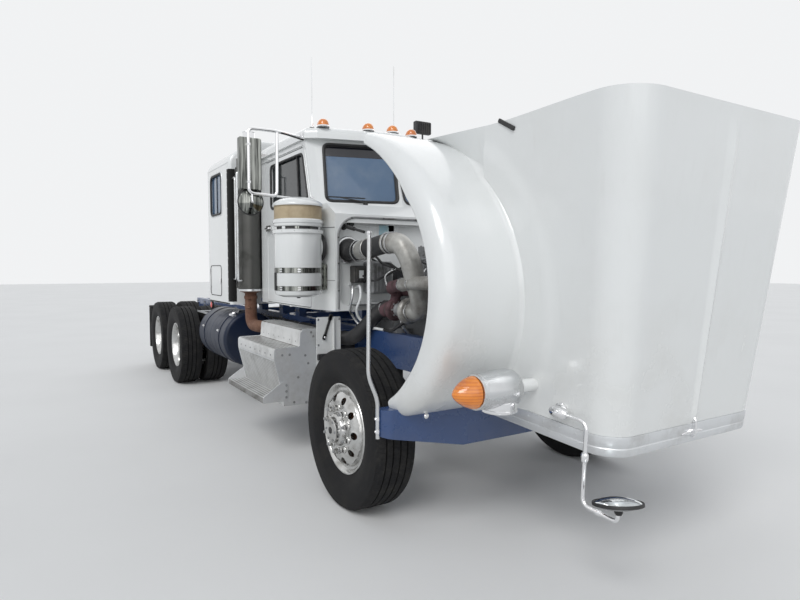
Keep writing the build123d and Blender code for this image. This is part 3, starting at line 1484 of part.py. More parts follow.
# Door mirrors hung from the roof corners on a bent tube
mirror_tube = 12.0
with BuildPart() as door_mirrors:
    for side in (-1, 1):
        root_x = pillar_x - screen_lean - 20
        root_z = roof_side_z + 22
        with BuildLine() as mirror_line:
            FilletPolyline(
                (root_x, side * (cab_half + roof_overhang + seat), root_z),
                (root_x, side * (cab_half + roof_overhang + 45), root_z),
                (mirror_x, side * mirror_post_y, mirror_high_z),
                (mirror_x, side * mirror_y, mirror_high_z),
                (mirror_x, side * mirror_y, mirror_low_z),
                (mirror_x, side * mirror_post_y, mirror_low_z),
                (mirror_x, side * mirror_post_y, mirror_high_z - 8),
                radius=40,
            )
        with BuildSketch(Plane(origin=mirror_line.line @ 0, z_dir=mirror_line.line % 0)):
            Circle(mirror_tube)
        sweep(path=mirror_line.line)
        with Locations((mirror_x, side * mirror_y, (mirror_high_z + mirror_low_z) / 2 - 10)):
            Box(60, 190, 430)
        with Locations((mirror_x, side * mirror_y, mirror_low_z - 50)):
            Cylinder(110, 36, rotation=(0, 90, 0))
door_mirrors.part.label = "door_mirrors"
export_step(door_mirrors.part, "parts/door_mirrors.step")

# Amber lamps along the roof's brow, and the work lamp on its post
brow_lamps = (
    # distance behind the cowl, y
    (300, 0),
    (345, 230),
    (345, -230),
    (445, 650),
    (445, -650),
)
work_lamp_x = 910.0
work_lamp_y = 620.0
work_lamp_z = roof_z + 210
with BuildPart() as roof_lamps:
    for behind, lamp_y in brow_lamps:
        with Locations((cowl_x - behind, lamp_y, roof_z + seat + 22)):
            Cylinder(48, 44)
    fillet(roof_lamps.edges().group_by(Axis.Z)[-1], radius=28)
    with Locations((work_lamp_x, work_lamp_y, (roof_z + seat + work_lamp_z) / 2)):
        Cylinder(9, work_lamp_z - roof_z - seat)
    with Locations((work_lamp_x, work_lamp_y, work_lamp_z)):
        Box(70, 200, 130)
roof_lamps.part.label = "roof_lamps"
export_step(roof_lamps.part, "parts/roof_lamps.step")

# Whip antennas on the roof and on the mirror tubes
with BuildPart() as antennas:
    for x, y, height in ((1200, 100, 660), (1180, -720, 600)):
        with Locations((x, y, roof_z + seat + height / 2)):
            Cylinder(4, height)
antennas.part.label = "antennas"
export_step(antennas.part, "parts/antennas.step")
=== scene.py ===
from math import cos, pi, radians, sin

import bmesh
import bpy
import numpy as np
from bpy.props import FloatProperty, FloatVectorProperty, IntProperty, PointerProperty
from bpy.types import Operator, Panel, PropertyGroup
from mathutils import Matrix, Vector


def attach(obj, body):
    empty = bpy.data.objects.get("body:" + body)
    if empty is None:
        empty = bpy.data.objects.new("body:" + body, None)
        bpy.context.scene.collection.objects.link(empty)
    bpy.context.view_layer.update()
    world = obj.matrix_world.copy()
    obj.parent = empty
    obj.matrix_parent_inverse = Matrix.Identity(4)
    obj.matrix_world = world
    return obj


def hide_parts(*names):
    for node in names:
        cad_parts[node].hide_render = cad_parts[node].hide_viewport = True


bl_info = {"name": "Highway Tractor Looks", "version": (1, 0, 0), "blender": (4, 5, 0),
    "location": "3D View > Sidebar > Truck",
    "description": "Dresses the packed frame of a highway tractor with its hood tilted open",
    "category": "Add Mesh"}

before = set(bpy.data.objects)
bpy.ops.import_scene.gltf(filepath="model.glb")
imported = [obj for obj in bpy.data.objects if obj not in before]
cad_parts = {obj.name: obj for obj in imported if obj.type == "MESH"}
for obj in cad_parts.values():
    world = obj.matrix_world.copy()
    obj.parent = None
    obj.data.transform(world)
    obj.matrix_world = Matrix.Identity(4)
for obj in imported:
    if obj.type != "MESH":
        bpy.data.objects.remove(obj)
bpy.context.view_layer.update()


# Surfaces and shapes

# Directions of the shared frame: x points ahead, y to the driver's left, z up
AHEAD, LEFT, RIGHT, UP = (1, 0, 0), (0, 1, 0), (0, -1, 0), (0, 0, 1)


def unit(vector):
    vector = np.asarray(vector, float)
    return vector / np.linalg.norm(vector)


def axes_for(direction):
    """Two unit vectors square to a direction and to each other."""
    direction = unit(direction)
    helper = np.array((0.0, 0.0, 1.0)) if abs(direction[2]) < 0.9 else np.array((1.0, 0.0, 0.0))
    first = unit(np.cross(helper, direction))
    return first, np.cross(direction, first)


def smoothstep(low, high, value):
    """Share t of the way from low to high, eased as t * t * (3 - 2 * t)."""
    share = np.clip((np.asarray(value, float) - low) / (high - low), 0, 1)
    return share * share * (3 - 2 * share)


def rounded_path(points, bend, steps=6):
    """Runs between points with each corner eased by a parabola that leaves the runs bend away from it."""
    points = np.asarray(points, float)
    path = [points[0]]
    for before, corner, after in zip(points[:-2], points[1:-1], points[2:]):
        cut = min(bend, 0.48 * np.linalg.norm(corner - before), 0.48 * np.linalg.norm(after - corner))
        start = corner + unit(before - corner) * cut
        end = corner + unit(after - corner) * cut
        share = np.linspace(0, 1, steps)[:, None]
        path.extend((1 - share) ** 2 * start + 2 * share * (1 - share) * corner + share**2 * end)
    path.append(points[-1])
    return np.array(path)


def flowing_path(points, steps=8):
    """A cubic curve through all the points, each leaving along the line between its two neighbours."""
    points = np.asarray(points, float)
    padded = np.vstack([2 * points[0] - points[1], points, 2 * points[-1] - points[-2]])
    share = np.linspace(0, 1, steps, endpoint=False)[:, None]
    runs = []
    for a, b, c, d in zip(padded[:-3], padded[1:-2], padded[2:-1], padded[3:]):
        runs.append(0.5 * (2 * b + (c - a) * share + (2 * a - 5 * b + 4 * c - d) * share**2
            + (3 * b - a - 3 * c + d) * share**3))
    return np.vstack(runs + [points[-1:]])


def rounded_outline(points, radii, steps=6):
    """A closed outline whose corners are parabolas that start and end radius away from each corner."""
    points = np.asarray(points, float)
    radii = np.broadcast_to(radii, len(points))
    outline = []
    for index, corner in enumerate(points):
        before, after = points[index - 1], points[(index + 1) % len(points)]
        if radii[index] <= 0:
            outline.append(corner[None])
            continue
        start = corner + unit(before - corner) * min(radii[index], 0.49 * np.linalg.norm(before - corner))
        end = corner + unit(after - corner) * min(radii[index], 0.49 * np.linalg.norm(after - corner))
        share = np.linspace(0, 1, steps)[:, None]
        outline.append((1 - share) ** 2 * start + 2 * share * (1 - share) * corner + share**2 * end)
    return np.vstack(outline)


def rectangle(half_x, half_y, radius, centre=(0, 0)):
    """Outline of a rectangle with eased corners."""
    corners = np.array([(-half_x, -half_y), (half_x, -half_y), (half_x, half_y), (-half_x, half_y)], float)
    return rounded_outline(corners + centre, radius)


def tangent_arc(start, along, end, steps):
    """Points of the arc that leaves start in the direction along and passes through end."""
    start, end, along = np.asarray(start, float), np.asarray(end, float), unit(along)
    across = np.array((-along[1], along[0]))
    chord = end - start
    radius = chord @ chord / (2 * across @ chord)
    centre = start + across * radius
    first = start - centre
    turn = np.arctan2(np.cross(first, end - centre), first @ (end - centre))
    angles = np.linspace(0, turn, steps)[:, None]
    return centre + first * np.cos(angles) + np.array((-first[1], first[0])) * np.sin(angles)


class Shape:
    """Points and faces of one piece, gathered from worked out surfaces before they become its mesh."""

    def __init__(self):
        self.points = np.zeros((0, 3))
        self.maps = np.zeros((0, 2))
        self.faces = []
        self.paints = []

    def add(self, points, faces, paint=0, maps=None):
        points = np.asarray(points, float).reshape(-1, 3)
        start = len(self.points)
        self.points = np.vstack([self.points, points])
        self.maps = np.vstack([self.maps, np.zeros((len(points), 2)) if maps is None else maps])
        self.faces.extend(tuple(start + corner for corner in face) for face in faces)
        self.paints.extend([paint] * len(faces))
        return self

    def grid(self, points, around=False, paint=0, maps=None):
        """Quads over points[u, v], where the v direction may close on itself."""
        points = np.asarray(points, float)
        index = np.arange(points.shape[0] * points.shape[1]).reshape(points.shape[:2])
        if around:
            index = np.hstack([index, index[:, :1]])
        quads = np.stack([index[:-1, :-1], index[1:, :-1], index[1:, 1:], index[:-1, 1:]], -1)
        flat_maps = None if maps is None else np.asarray(maps, float).reshape(-1, 2)
        return self.add(points, quads.reshape(-1, 4).tolist(), paint, flat_maps)

    def shell(self, outer, inner, paint=0, inner_paint=None):
        """Two grids of the same size as the faces of one wall, joined along their four borders."""
        outer, inner = np.asarray(outer, float), np.asarray(inner, float)
        self.grid(outer, paint=paint)
        self.grid(inner[:, ::-1], paint=paint if inner_paint is None else inner_paint)
        for a, b in ((outer[0], inner[0]), (outer[-1], inner[-1]), (outer[:, 0], inner[:, 0]),
                (outer[:, -1], inner[:, -1])):
            self.grid(np.stack([a, b]), paint=paint)
        return self

    def turned(self, profile, centre, axis, segments=48, paint=0):
        """A profile of (radius, distance along) turned once: centre + along * axis + radius * spoke."""
        profile = np.asarray(profile, float)
        centre, axis = np.asarray(centre, float), unit(axis)
        first, second = axes_for(axis)
        angles = np.linspace(0, 2 * pi, segments, endpoint=False)
        spokes = np.cos(angles)[:, None] * first + np.sin(angles)[:, None] * second
        points = centre + profile[:, 1, None, None] * axis + profile[:, 0, None, None] * spokes
        return self.grid(points, around=True, paint=paint)

    def tube(self, path, radius, segments=12, paint=0, closed_ends=True):
        """A circle carried along a path, its frame turned no more than the path itself turns."""
        path = np.asarray(path, float)
        radii = np.broadcast_to(radius, len(path)).astype(float)
        runs = np.diff(path, axis=0)
        runs /= np.linalg.norm(runs, axis=1)[:, None]
        along = np.vstack([runs[:1], runs[:-1] + runs[1:], runs[-1:]])
        along /= np.linalg.norm(along, axis=1)[:, None]
        first = axes_for(along[0])[0]
        frames = []
        for direction in along:
            first = unit(first - direction * (first @ direction))
            frames.append((first, np.cross(direction, first)))
        frames = np.array(frames)
        angles = np.linspace(0, 2 * pi, segments, endpoint=False)[None, :, None]
        rings = np.cos(angles) * frames[:, None, 0] + np.sin(angles) * frames[:, None, 1]
        points = path[:, None] + rings * radii[:, None, None]
        if closed_ends:
            points = np.concatenate([np.repeat(path[:1, None], segments, 1), points,
                np.repeat(path[-1:, None], segments, 1)])
        return self.grid(points, around=True, paint=paint)

    def plate(self, outline, thickness, origin, across, up, chamfer=0.0, paint=0):
        """An outline given depth: origin + x * across + y * up, grown along across x up, rims chamfered."""
        outline = np.asarray(outline, float)
        across, up = unit(across), unit(up)
        normal = np.cross(across, up)
        before, after = np.roll(outline, 1, 0), np.roll(outline, -1, 0)
        run = after - before
        run /= np.linalg.norm(run, axis=1)[:, None] + 1e-12
        area = np.sum(outline[:, 0] * after[:, 1] - after[:, 0] * outline[:, 1])
        inward = np.stack([-run[:, 1], run[:, 0]], 1) * np.sign(area)
        drawn_in = outline + inward * chamfer
        if chamfer:
            layers = ((drawn_in, 0.0), (outline, chamfer), (outline, thickness - chamfer),
                (drawn_in, thickness))
        else:
            layers = ((outline, 0.0), (outline, thickness))
        origin = np.asarray(origin, float)
        rings = [origin + layer[:, :1] * across + layer[:, 1:] * up + height * normal for layer,
            height in layers]
        start = len(self.points)
        self.grid(np.array(rings), around=True, paint=paint)
        count = len(outline)
        last = start + (len(rings) - 1) * count
        self.faces.extend([tuple(range(start, start + count))[::-1], tuple(range(last, last + count))])
        self.paints.extend([paint, paint])
        return self

    def box(self, low, high, chamfer=0.002, paint=0):
        """A box from corner to corner with all twelve edges chamfered."""
        low, high = np.minimum(low, high), np.maximum(low, high)
        middle, half = (low + high) / 2, (high - low) / 2
        outline = rounded_outline([(-half[0], -half[1]), (half[0], -half[1]), (half[0], half[1]),
            (-half[0], half[1])], chamfer, steps=2)
        return self.plate(outline, 2 * half[2], (middle[0], middle[1], low[2]), AHEAD, LEFT, chamfer, paint)

    def bolt(self, centre, axis, radius=0.012, height=0.008, paint=0):
        """A hexagon head on a washer, its stud's rounded end standing proud."""
        centre, axis = np.asarray(centre, float), unit(axis)
        self.turned([(0, 0), (radius * 1.35, 0), (radius * 1.35, height * 0.25), (0, height * 0.25)], centre,
            axis, 14, paint)
        self.turned([(0, 0), (radius, height * 0.2), (radius, height * 0.9), (radius * 0.8, height),
            (0, height)], centre, axis, 6, paint)
        return self

    def rivets(self, centres, axis, radius=0.005, paint=0):
        """Low domes at the given points."""
        for centre in centres:
            self.turned([(radius, 0), (radius * 0.85, radius * 0.35), (radius * 0.45, radius * 0.55),
                (0, radius * 0.6)], centre, axis, 8, paint)
        return self

    def stamp(self, other, matrices):
        """Copies of another shape, each carried by a matrix."""
        homogeneous = np.hstack([other.points, np.ones((len(other.points), 1))])
        for matrix in matrices:
            moved = (homogeneous @ np.array(matrix).T)[:, :3]
            start = len(self.points)
            self.points = np.vstack([self.points, moved])
            self.maps = np.vstack([self.maps, other.maps])
            self.faces.extend(tuple(start + corner for corner in face) for face in other.faces)
            self.paints.extend(other.paints)
        return self

    def mirrored(self):
        """The shape and its mirror image in the truck's middle plane."""
        return self.stamp(self.copy(), [Matrix.Diagonal((1, -1, 1, 1))])

    def copy(self):
        other = Shape()
        other.points, other.maps = self.points.copy(), self.maps.copy()
        other.faces, other.paints = list(self.faces), list(self.paints)
        return other

    def moved(self, matrix):
        other = Shape()
        return other.stamp(self, [matrix])


def make_piece(name, shape, body, finishes, replaces=(), crisp=32, bevel=0.0):
    """Turns a shape into a mesh object that rides on a body, doubles merged and faces turned outwards."""
    mesh = bpy.data.meshes.new(name)
    mesh.from_pydata(shape.points.tolist(), [], shape.faces)
    mesh.polygons.foreach_set("material_index", shape.paints)
    if shape.maps.any():
        corners = np.zeros(len(mesh.loops), int)
        mesh.loops.foreach_get("vertex_index", corners)
        mesh.uv_layers.new(name="surface").data.foreach_set("uv", shape.maps[corners].ravel())
    work = bmesh.new()
    work.from_mesh(mesh)
    bmesh.ops.remove_doubles(work, verts=work.verts, dist=1e-5)
    bmesh.ops.dissolve_degenerate(work, edges=work.edges, dist=1e-6)
    bmesh.ops.recalc_face_normals(work, faces=work.faces)
    work.to_mesh(mesh)
    work.free()
    mesh.polygons.foreach_set("use_smooth", np.ones(len(mesh.polygons), bool))
    mesh.set_sharp_from_angle(angle=radians(crisp))
    for finish in finishes:
        mesh.materials.append(paint_for(finish))
    piece = bpy.data.objects.new(name, mesh)
    bpy.context.scene.collection.objects.link(piece)
    if bevel:
        soften = piece.modifiers.new("edges", "BEVEL")
        soften.width = bevel
        soften.segments = 2
        soften.limit_method = "ANGLE"
        soften.angle_limit = radians(40)
        soften.harden_normals = True
    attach(piece, body)
    if replaces:
        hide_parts(*replaces)
    return piece


# Finishes

class Signal:
    """A shader socket that adds Math nodes when it is used in an expression."""

    def __init__(self, finish, socket):
        self.finish = finish
        self.socket = socket

    def _math(self, operation, *values):
        return self.finish.node("ShaderNodeMath", {"operation": operation}, *values)

    def __add__(self, other):
        return self._math("ADD", self, other)

    def __sub__(self, other):
        return self._math("SUBTRACT", self, other)

    def __rsub__(self, other):
        return self._math("SUBTRACT", other, self)

    def __mul__(self, other):
        return self._math("MULTIPLY", self, other)

    def __truediv__(self, other):
        return self._math("DIVIDE", self, other)

    def __pow__(self, other):
        return self._math("POWER", self, other)

    __radd__ = __add__
    __rmul__ = __mul__

    def wrapped(self, span):
        return self._math("WRAP", self, span, 0.0)

    def size(self):
        return self._math("ABSOLUTE", self)

    def least(self, other):
        return self._math("MINIMUM", self, other)

    def most(self, other):
        return self._math("MAXIMUM", self, other)

    def ease(self, low, high):
        """0 below low and 1 above high, with a smooth step between."""
        settings = {"interpolation_type": "SMOOTHSTEP"}
        return self.finish.node("ShaderNodeMapRange", settings, self, low, high, 0.0, 1.0)


class Finish:
    """One material: a Principled shader and the nodes that vary it over the surface."""

    def __init__(self, name, colour, metallic=0.0, roughness=0.5, **constants):
        self.material = bpy.data.materials.new(name)
        self.material.use_nodes = True
        self.tree = self.material.node_tree
        self.shader = self.tree.nodes["Principled BSDF"]
        self.shader.inputs["Base Color"].default_value = (*colour, 1)
        self.shader.inputs["Metallic"].default_value = metallic
        self.shader.inputs["Roughness"].default_value = roughness
        for socket, value in constants.items():
            self.shader.inputs[socket.replace("_", " ").title().replace("Ior", "IOR")].default_value = value
        self.place = self.tree.nodes.new("ShaderNodeTexCoord")

    def node(self, kind, settings, *values, output=0, **named):
        """Adds a node, sets its settings, then fills its sockets in order and by name."""
        node = self.tree.nodes.new(kind)
        for key, value in settings.items():
            setattr(node, key, value)
        sockets = list(zip([s for s in node.inputs if s.enabled], values))
        sockets += [(node.inputs[key.replace("_", " ").title()], value) for key, value in named.items()]
        for socket, value in sockets:
            if isinstance(value, Signal):
                self.tree.links.new(value.socket, socket)
            else:
                socket.default_value = value
        found = [s for s in node.outputs if s.enabled] if isinstance(output, int) else node.outputs
        return Signal(self, found[output])

    def where(self, kind="Object"):
        return Signal(self, self.place.outputs[kind])

    def stretched(self, scale, kind="Object"):
        """The place on the surface, stretched by a factor along each axis."""
        return self.node("ShaderNodeVectorMath", {"operation": "MULTIPLY"}, self.where(kind), scale)

    def noise(self, scale, detail=3.0, rough=0.5, stretch=None, kind="Object"):
        """Fractal noise from 0 to 1, centred on 0.5."""
        place = self.where(kind) if stretch is None else self.stretched(stretch, kind)
        return self.node("ShaderNodeTexNoise", {}, place, scale, detail, rough)

    def spots(self, scale, kind="Object", stretch=(1, 1, 1)):
        """Distance to the nearest of many scattered points."""
        return self.node("ShaderNodeTexVoronoi", {}, Vector=self.stretched(stretch, kind), Scale=scale)

    def axis(self, index, kind="Object"):
        return self.node("ShaderNodeSeparateXYZ", {}, self.where(kind), output=index)

    def colours(self, mask, first, second):
        """The first colour where the mask is 0 and the second where it is 1."""
        ends = [value if isinstance(value, Signal) else (*value, 1) for value in (first, second)]
        node = self.tree.nodes.new("ShaderNodeMix")
        node.data_type = "RGBA"
        self.tree.links.new(mask.socket, node.inputs["Factor"])
        for socket, value in zip(node.inputs[6:8], ends):
            if isinstance(value, Signal):
                self.tree.links.new(value.socket, socket)
            else:
                socket.default_value = value
        return Signal(self, node.outputs[2])

    def feed(self, socket, signal):
        self.tree.links.new(signal.socket, self.shader.inputs[socket])
        return self

    def relief(self, height, depth):
        """A bump of the given depth in metres where the height signal is 1."""
        bump = self.tree.nodes.new("ShaderNodeBump")
        bump.inputs["Distance"].default_value = depth
        bump.inputs["Strength"].default_value = 1.0
        self.tree.links.new(height.socket, bump.inputs["Height"])
        self.tree.links.new(bump.outputs["Normal"], self.shader.inputs["Normal"])
        return self


# Each finish is a short recipe: a base colour, then what the years on the road did to it

def white_enamel(sizes):
    """Off white enamel: soft orange peel, dust that gathers low down and faint streaks."""
    finish = Finish("white_enamel", tuple(sizes.white), roughness=0.22, coat_weight=0.6, coat_roughness=0.08)
    dust = finish.noise(2.2, 5, 0.6).ease(0.42, 0.75) * 0.5
    streak = finish.noise(3.0, 4, 0.6, stretch=(6, 6, 0.7)).ease(0.55, 0.8) * 0.4
    low = 1 - finish.axis(2).ease(0.5, 1.7)
    dirt = (dust * (low * 0.7 + 0.3) + streak * 0.35 + low * 0.18).least(1.0)
    finish.feed("Base Color", finish.colours(dirt * 0.55, sizes.white, (0.50, 0.485, 0.44)))
    finish.feed("Roughness", dirt * 0.3 + 0.2)
    return finish.relief(finish.noise(260, 2) * 0.5 + finish.noise(3.5, 2), 0.0006)


def firewall_enamel(sizes):
    """The same enamel behind the engine, greyed by heat, oil mist and fingers."""
    finish = Finish("firewall_enamel", (0.66, 0.67, 0.66), roughness=0.38)
    stain = finish.noise(4.5, 6, 0.65).ease(0.45, 0.8)
    low = 1 - finish.axis(2).ease(1.15, 1.9)
    finish.feed("Base Color", finish.colours((stain * 0.4 + low * 0.3).least(1.0), (0.74, 0.75, 0.74),
        (0.34, 0.33, 0.30)))
    finish.feed("Roughness", stain * 0.25 + 0.35)
    return finish.relief(finish.noise(90, 3), 0.0006)


def fibreglass(sizes):
    """Inside of the hood: pale resin with the weave of the mat showing through."""
    finish = Finish("fibreglass", (0.50, 0.50, 0.48), roughness=0.6)
    mat = finish.noise(60, 4, 0.7)
    grime = finish.noise(3.0, 5, 0.6).ease(0.4, 0.75)
    finish.feed("Base Color", finish.colours(grime * 0.6 + mat * 0.2, (0.56, 0.56, 0.54), (0.22, 0.21, 0.19)))
    return finish.relief(mat + finish.noise(220, 2) * 0.4, 0.0015)


def blue_enamel(sizes):
    """Dark blue chassis enamel with road dust on it, thinner where rain runs off."""
    finish = Finish("blue_enamel", tuple(sizes.blue), roughness=0.3, coat_weight=0.35, coat_roughness=0.15)
    dust = finish.noise(3.2, 6, 0.62).ease(0.40, 0.78)
    low = 1 - finish.axis(2).ease(0.35, 1.0)
    chips = 1 - finish.spots(46).ease(0.05, 0.11)
    worn = chips * finish.noise(7.0, 2).ease(0.62, 0.72)
    dusty = finish.colours((dust * 0.22 + low * 0.16).least(0.8), sizes.blue, (0.15, 0.15, 0.145))
    finish.feed("Base Color", finish.colours(worn, dusty, (0.07, 0.05, 0.04)))
    finish.feed("Roughness", dust * 0.35 + 0.26)
    return finish.relief(finish.noise(140, 2) * 0.5 - worn, 0.0005)


def black_enamel(sizes):
    """Chassis black: satin paint under dried spray and dust."""
    finish = Finish("black_enamel", (0.022, 0.022, 0.024), roughness=0.5)
    dust = finish.noise(5.0, 6, 0.65).ease(0.42, 0.78)
    rust = finish.noise(11.0, 5, 0.7).ease(0.66, 0.76)
    dusty = finish.colours(dust * 0.5, (0.022, 0.022, 0.024), (0.15, 0.14, 0.12))
    finish.feed("Base Color", finish.colours(rust * 0.7, dusty, (0.12, 0.055, 0.03)))
    finish.feed("Roughness", dust * 0.3 + 0.45)
    return finish.relief(finish.noise(120, 4, 0.6), 0.001)


def bare_aluminium(sizes):
    """Rolled sheet: faint lengthwise lines, water stains and scuffs."""
    finish = Finish("bare_aluminium", (0.62, 0.63, 0.64), metallic=0.85, roughness=0.42)
    lines = finish.noise(38, 3, 0.6, stretch=(0.15, 3, 3))
    stain = finish.noise(5.0, 6, 0.66).ease(0.44, 0.74)
    low = 1 - finish.axis(2).ease(0.4, 0.8)
    dirt = (stain * 0.45 + low * 0.25).least(1.0)
    finish.feed("Base Color", finish.colours(dirt, (0.72, 0.735, 0.75), (0.36, 0.35, 0.33)))
    finish.feed("Metallic", 0.62 - dirt * 0.3)
    finish.feed("Roughness", dirt * 0.25 + lines * 0.12 + 0.3)
    return finish.relief(lines + finish.noise(150, 2) * 0.4, 0.0004)


def polished_aluminium(sizes):
    """Forged and polished wheel metal with a haze of brake dust."""
    finish = Finish("polished_aluminium", (0.82, 0.82, 0.81), metallic=1.0, roughness=0.16)
    haze = finish.noise(9.0, 5, 0.6).ease(0.4, 0.8)
    finish.feed("Base Color", finish.colours(haze * 0.8, (0.62, 0.62, 0.61), (0.22, 0.21, 0.19)))
    finish.feed("Roughness", haze * 0.25 + 0.14)
    return finish.relief(finish.noise(240, 2), 0.0002)


def chrome_plate(sizes):
    """Bright plate with a trace of water marks."""
    finish = Finish("chrome_plate", (0.86, 0.86, 0.87), metallic=1.0, roughness=0.07)
    marks = finish.noise(22, 4, 0.6).ease(0.5, 0.8)
    finish.feed("Roughness", marks * 0.16 + 0.05)
    return finish.relief(finish.noise(300, 2), 0.00015)


def stainless(sizes):
    """Stainless sheet and tube, brushed round its length."""
    finish = Finish("stainless", (0.64, 0.65, 0.66), metallic=1.0, roughness=0.28)
    brushed = finish.noise(55, 3, 0.6, stretch=(1, 1, 8))
    dirt = finish.noise(6, 5, 0.6).ease(0.45, 0.8)
    finish.feed("Base Color", finish.colours(dirt * 0.5, (0.68, 0.69, 0.70), (0.36, 0.34, 0.31)))
    finish.feed("Roughness", brushed * 0.14 + dirt * 0.18 + 0.17)
    return finish.relief(brushed, 0.0003)


def black_rubber(sizes):
    """Moulded rubber, greyed at random by dust."""
    finish = Finish("black_rubber", (0.018, 0.018, 0.019), roughness=0.62)
    dust = finish.noise(14, 5, 0.6).ease(0.45, 0.8)
    finish.feed("Base Color", finish.colours(dust * 0.5, (0.018, 0.018, 0.019), (0.085, 0.083, 0.078)))
    finish.feed("Roughness", dust * 0.2 + 0.55)
    return finish.relief(finish.noise(180, 3), 0.0006)


def tyre_rubber(sizes):
    """Tyre rubber on its own map: u runs round the tyre in metres, v across it. Dust lies on the walls."""
    finish = Finish("tyre_rubber", (0.02, 0.02, 0.021), roughness=0.72, specular_ior_level=0.2)
    dust = finish.noise(9.0, 6, 0.65).ease(0.38, 0.78)
    scuffs = finish.noise(30, 4, 0.7, stretch=(0.4, 3, 1), kind="UV").ease(0.5, 0.85)
    finish.feed("Base Color", finish.colours((dust * 0.55 + scuffs * 0.35).least(1.0), (0.009, 0.009, 0.010),
        (0.036, 0.034, 0.031)))
    finish.feed("Roughness", dust * 0.15 + 0.68)
    return finish.relief(finish.noise(150, 4, 0.7) + finish.noise(700, 2) * 0.3, 0.001)


def tread_rubber(sizes):
    """Worn tread: short sipes across the ribs at an even pitch round the tyre, and stone scuffs."""
    finish = Finish("tread_rubber", (0.03, 0.03, 0.031), roughness=0.8, specular_ior_level=0.2)
    pitch = 0.034
    slant = finish.axis(0, "UV") + finish.axis(1, "UV") * 0.35
    sipe = 1 - ((slant.wrapped(pitch) / pitch - 0.5).size()).ease(0.03, 0.09)
    dust = finish.noise(12, 6, 0.65).ease(0.4, 0.8)
    finish.feed("Base Color", finish.colours(dust * 0.65, (0.012, 0.012, 0.013), (0.046, 0.044, 0.040)))
    finish.feed("Roughness", dust * 0.15 + 0.72)
    return finish.relief(finish.noise(160, 4, 0.7) * 0.4 - sipe, 0.003)


def window_glass(sizes):
    """Tinted safety glass that lets a dim cab show through, with dust at its edges."""
    finish = Finish("window_glass", (0.02, 0.026, 0.028), roughness=0.04, coat_weight=0.4)
    haze = finish.noise(5.0, 5, 0.6).ease(0.4, 0.85)
    finish.feed("Alpha", haze * 0.06 + 0.80)
    finish.feed("Roughness", haze * 0.08 + 0.03)
    return finish


def clear_lens(sizes):
    """Moulded clear glass over a bright bowl, with upright flutes."""
    finish = Finish("clear_lens", (0.72, 0.74, 0.75), metallic=0.35, roughness=0.12, coat_weight=0.8)
    flutes = (finish.axis(1) * 260).ease(-1, 1)
    finish.feed("Roughness", finish.noise(20, 3).ease(0.4, 0.8) * 0.1 + 0.08)
    return finish.relief(finish.node("ShaderNodeMath", {"operation": "SINE"}, finish.axis(1) * 330) * 0.5
        + flutes * 0.01, 0.0012)


def lens_finish(name, colour, deep):
    """Moulded lens: fine vertical prisms under a glossy skin, darker where the bowl behind is deep."""
    finish = Finish(name, colour, roughness=0.16, coat_weight=0.9, coat_roughness=0.05,
        emission_strength=0.12)
    prisms = finish.node("ShaderNodeMath", {"operation": "SINE"}, finish.axis(2) * 420) * 0.5 + 0.5
    shade = finish.noise(9, 3).ease(0.35, 0.75)
    tone = finish.colours((prisms * 0.35 + shade * 0.5).least(1.0), colour, deep)
    finish.feed("Base Color", tone).feed("Emission Color", tone)
    return finish.relief(prisms, 0.0009)


def amber_lens(sizes):
    return lens_finish("amber_lens", (0.744, 0.2376, 0.018), (0.416, 0.0792, 0.006))


def red_lens(sizes):
    return lens_finish("red_lens", (0.66, 0.03, 0.02), (0.28, 0.01, 0.01))


def mirror_glass(sizes):
    """Silvered glass with a little road film."""
    finish = Finish("mirror_glass", (0.80, 0.83, 0.84), metallic=1.0, roughness=0.03)
    finish.feed("Roughness", finish.noise(12, 4).ease(0.5, 0.9) * 0.12 + 0.02)
    return finish


def grey_casting(sizes):
    """Sand cast iron under grey paint, wet with oil in places."""
    finish = Finish("grey_casting", (0.24, 0.245, 0.25), metallic=0.1, roughness=0.5)
    oil = finish.noise(5.5, 6, 0.68).ease(0.42, 0.72)
    finish.feed("Base Color", finish.colours(oil * 0.85, (0.27, 0.275, 0.28), (0.05, 0.045, 0.04)))
    finish.feed("Roughness", 0.62 - oil * 0.3)
    return finish.relief(finish.noise(130, 4, 0.7), 0.0016)


def rusty_steel(sizes):
    """Heat rusted pipe: orange over brown, with darker flakes."""
    finish = Finish("rusty_steel", (0.25, 0.12, 0.07), metallic=0.25, roughness=0.8)
    patch = finish.noise(9, 7, 0.7).ease(0.36, 0.68)
    flake = finish.noise(48, 4, 0.7).ease(0.5, 0.75)
    warm = finish.colours(patch, (0.13, 0.060, 0.038), (0.23, 0.130, 0.088))
    finish.feed("Base Color", finish.colours(flake * 0.5, warm, (0.07, 0.04, 0.03)))
    return finish.relief(patch * 0.5 + flake + finish.noise(200, 3) * 0.5, 0.0014)


def turbo_iron(sizes):
    """Turbine and manifold iron, baked to a dusty rose brown."""
    finish = Finish("turbo_iron", (0.1125, 0.0585, 0.063), metallic=0.2, roughness=0.75)
    patch = finish.noise(14, 6, 0.7).ease(0.38, 0.7)
    finish.feed("Base Color", finish.colours(patch, (0.135, 0.072, 0.081), (0.045, 0.027, 0.027)))
    return finish.relief(finish.noise(110, 4, 0.7), 0.002)


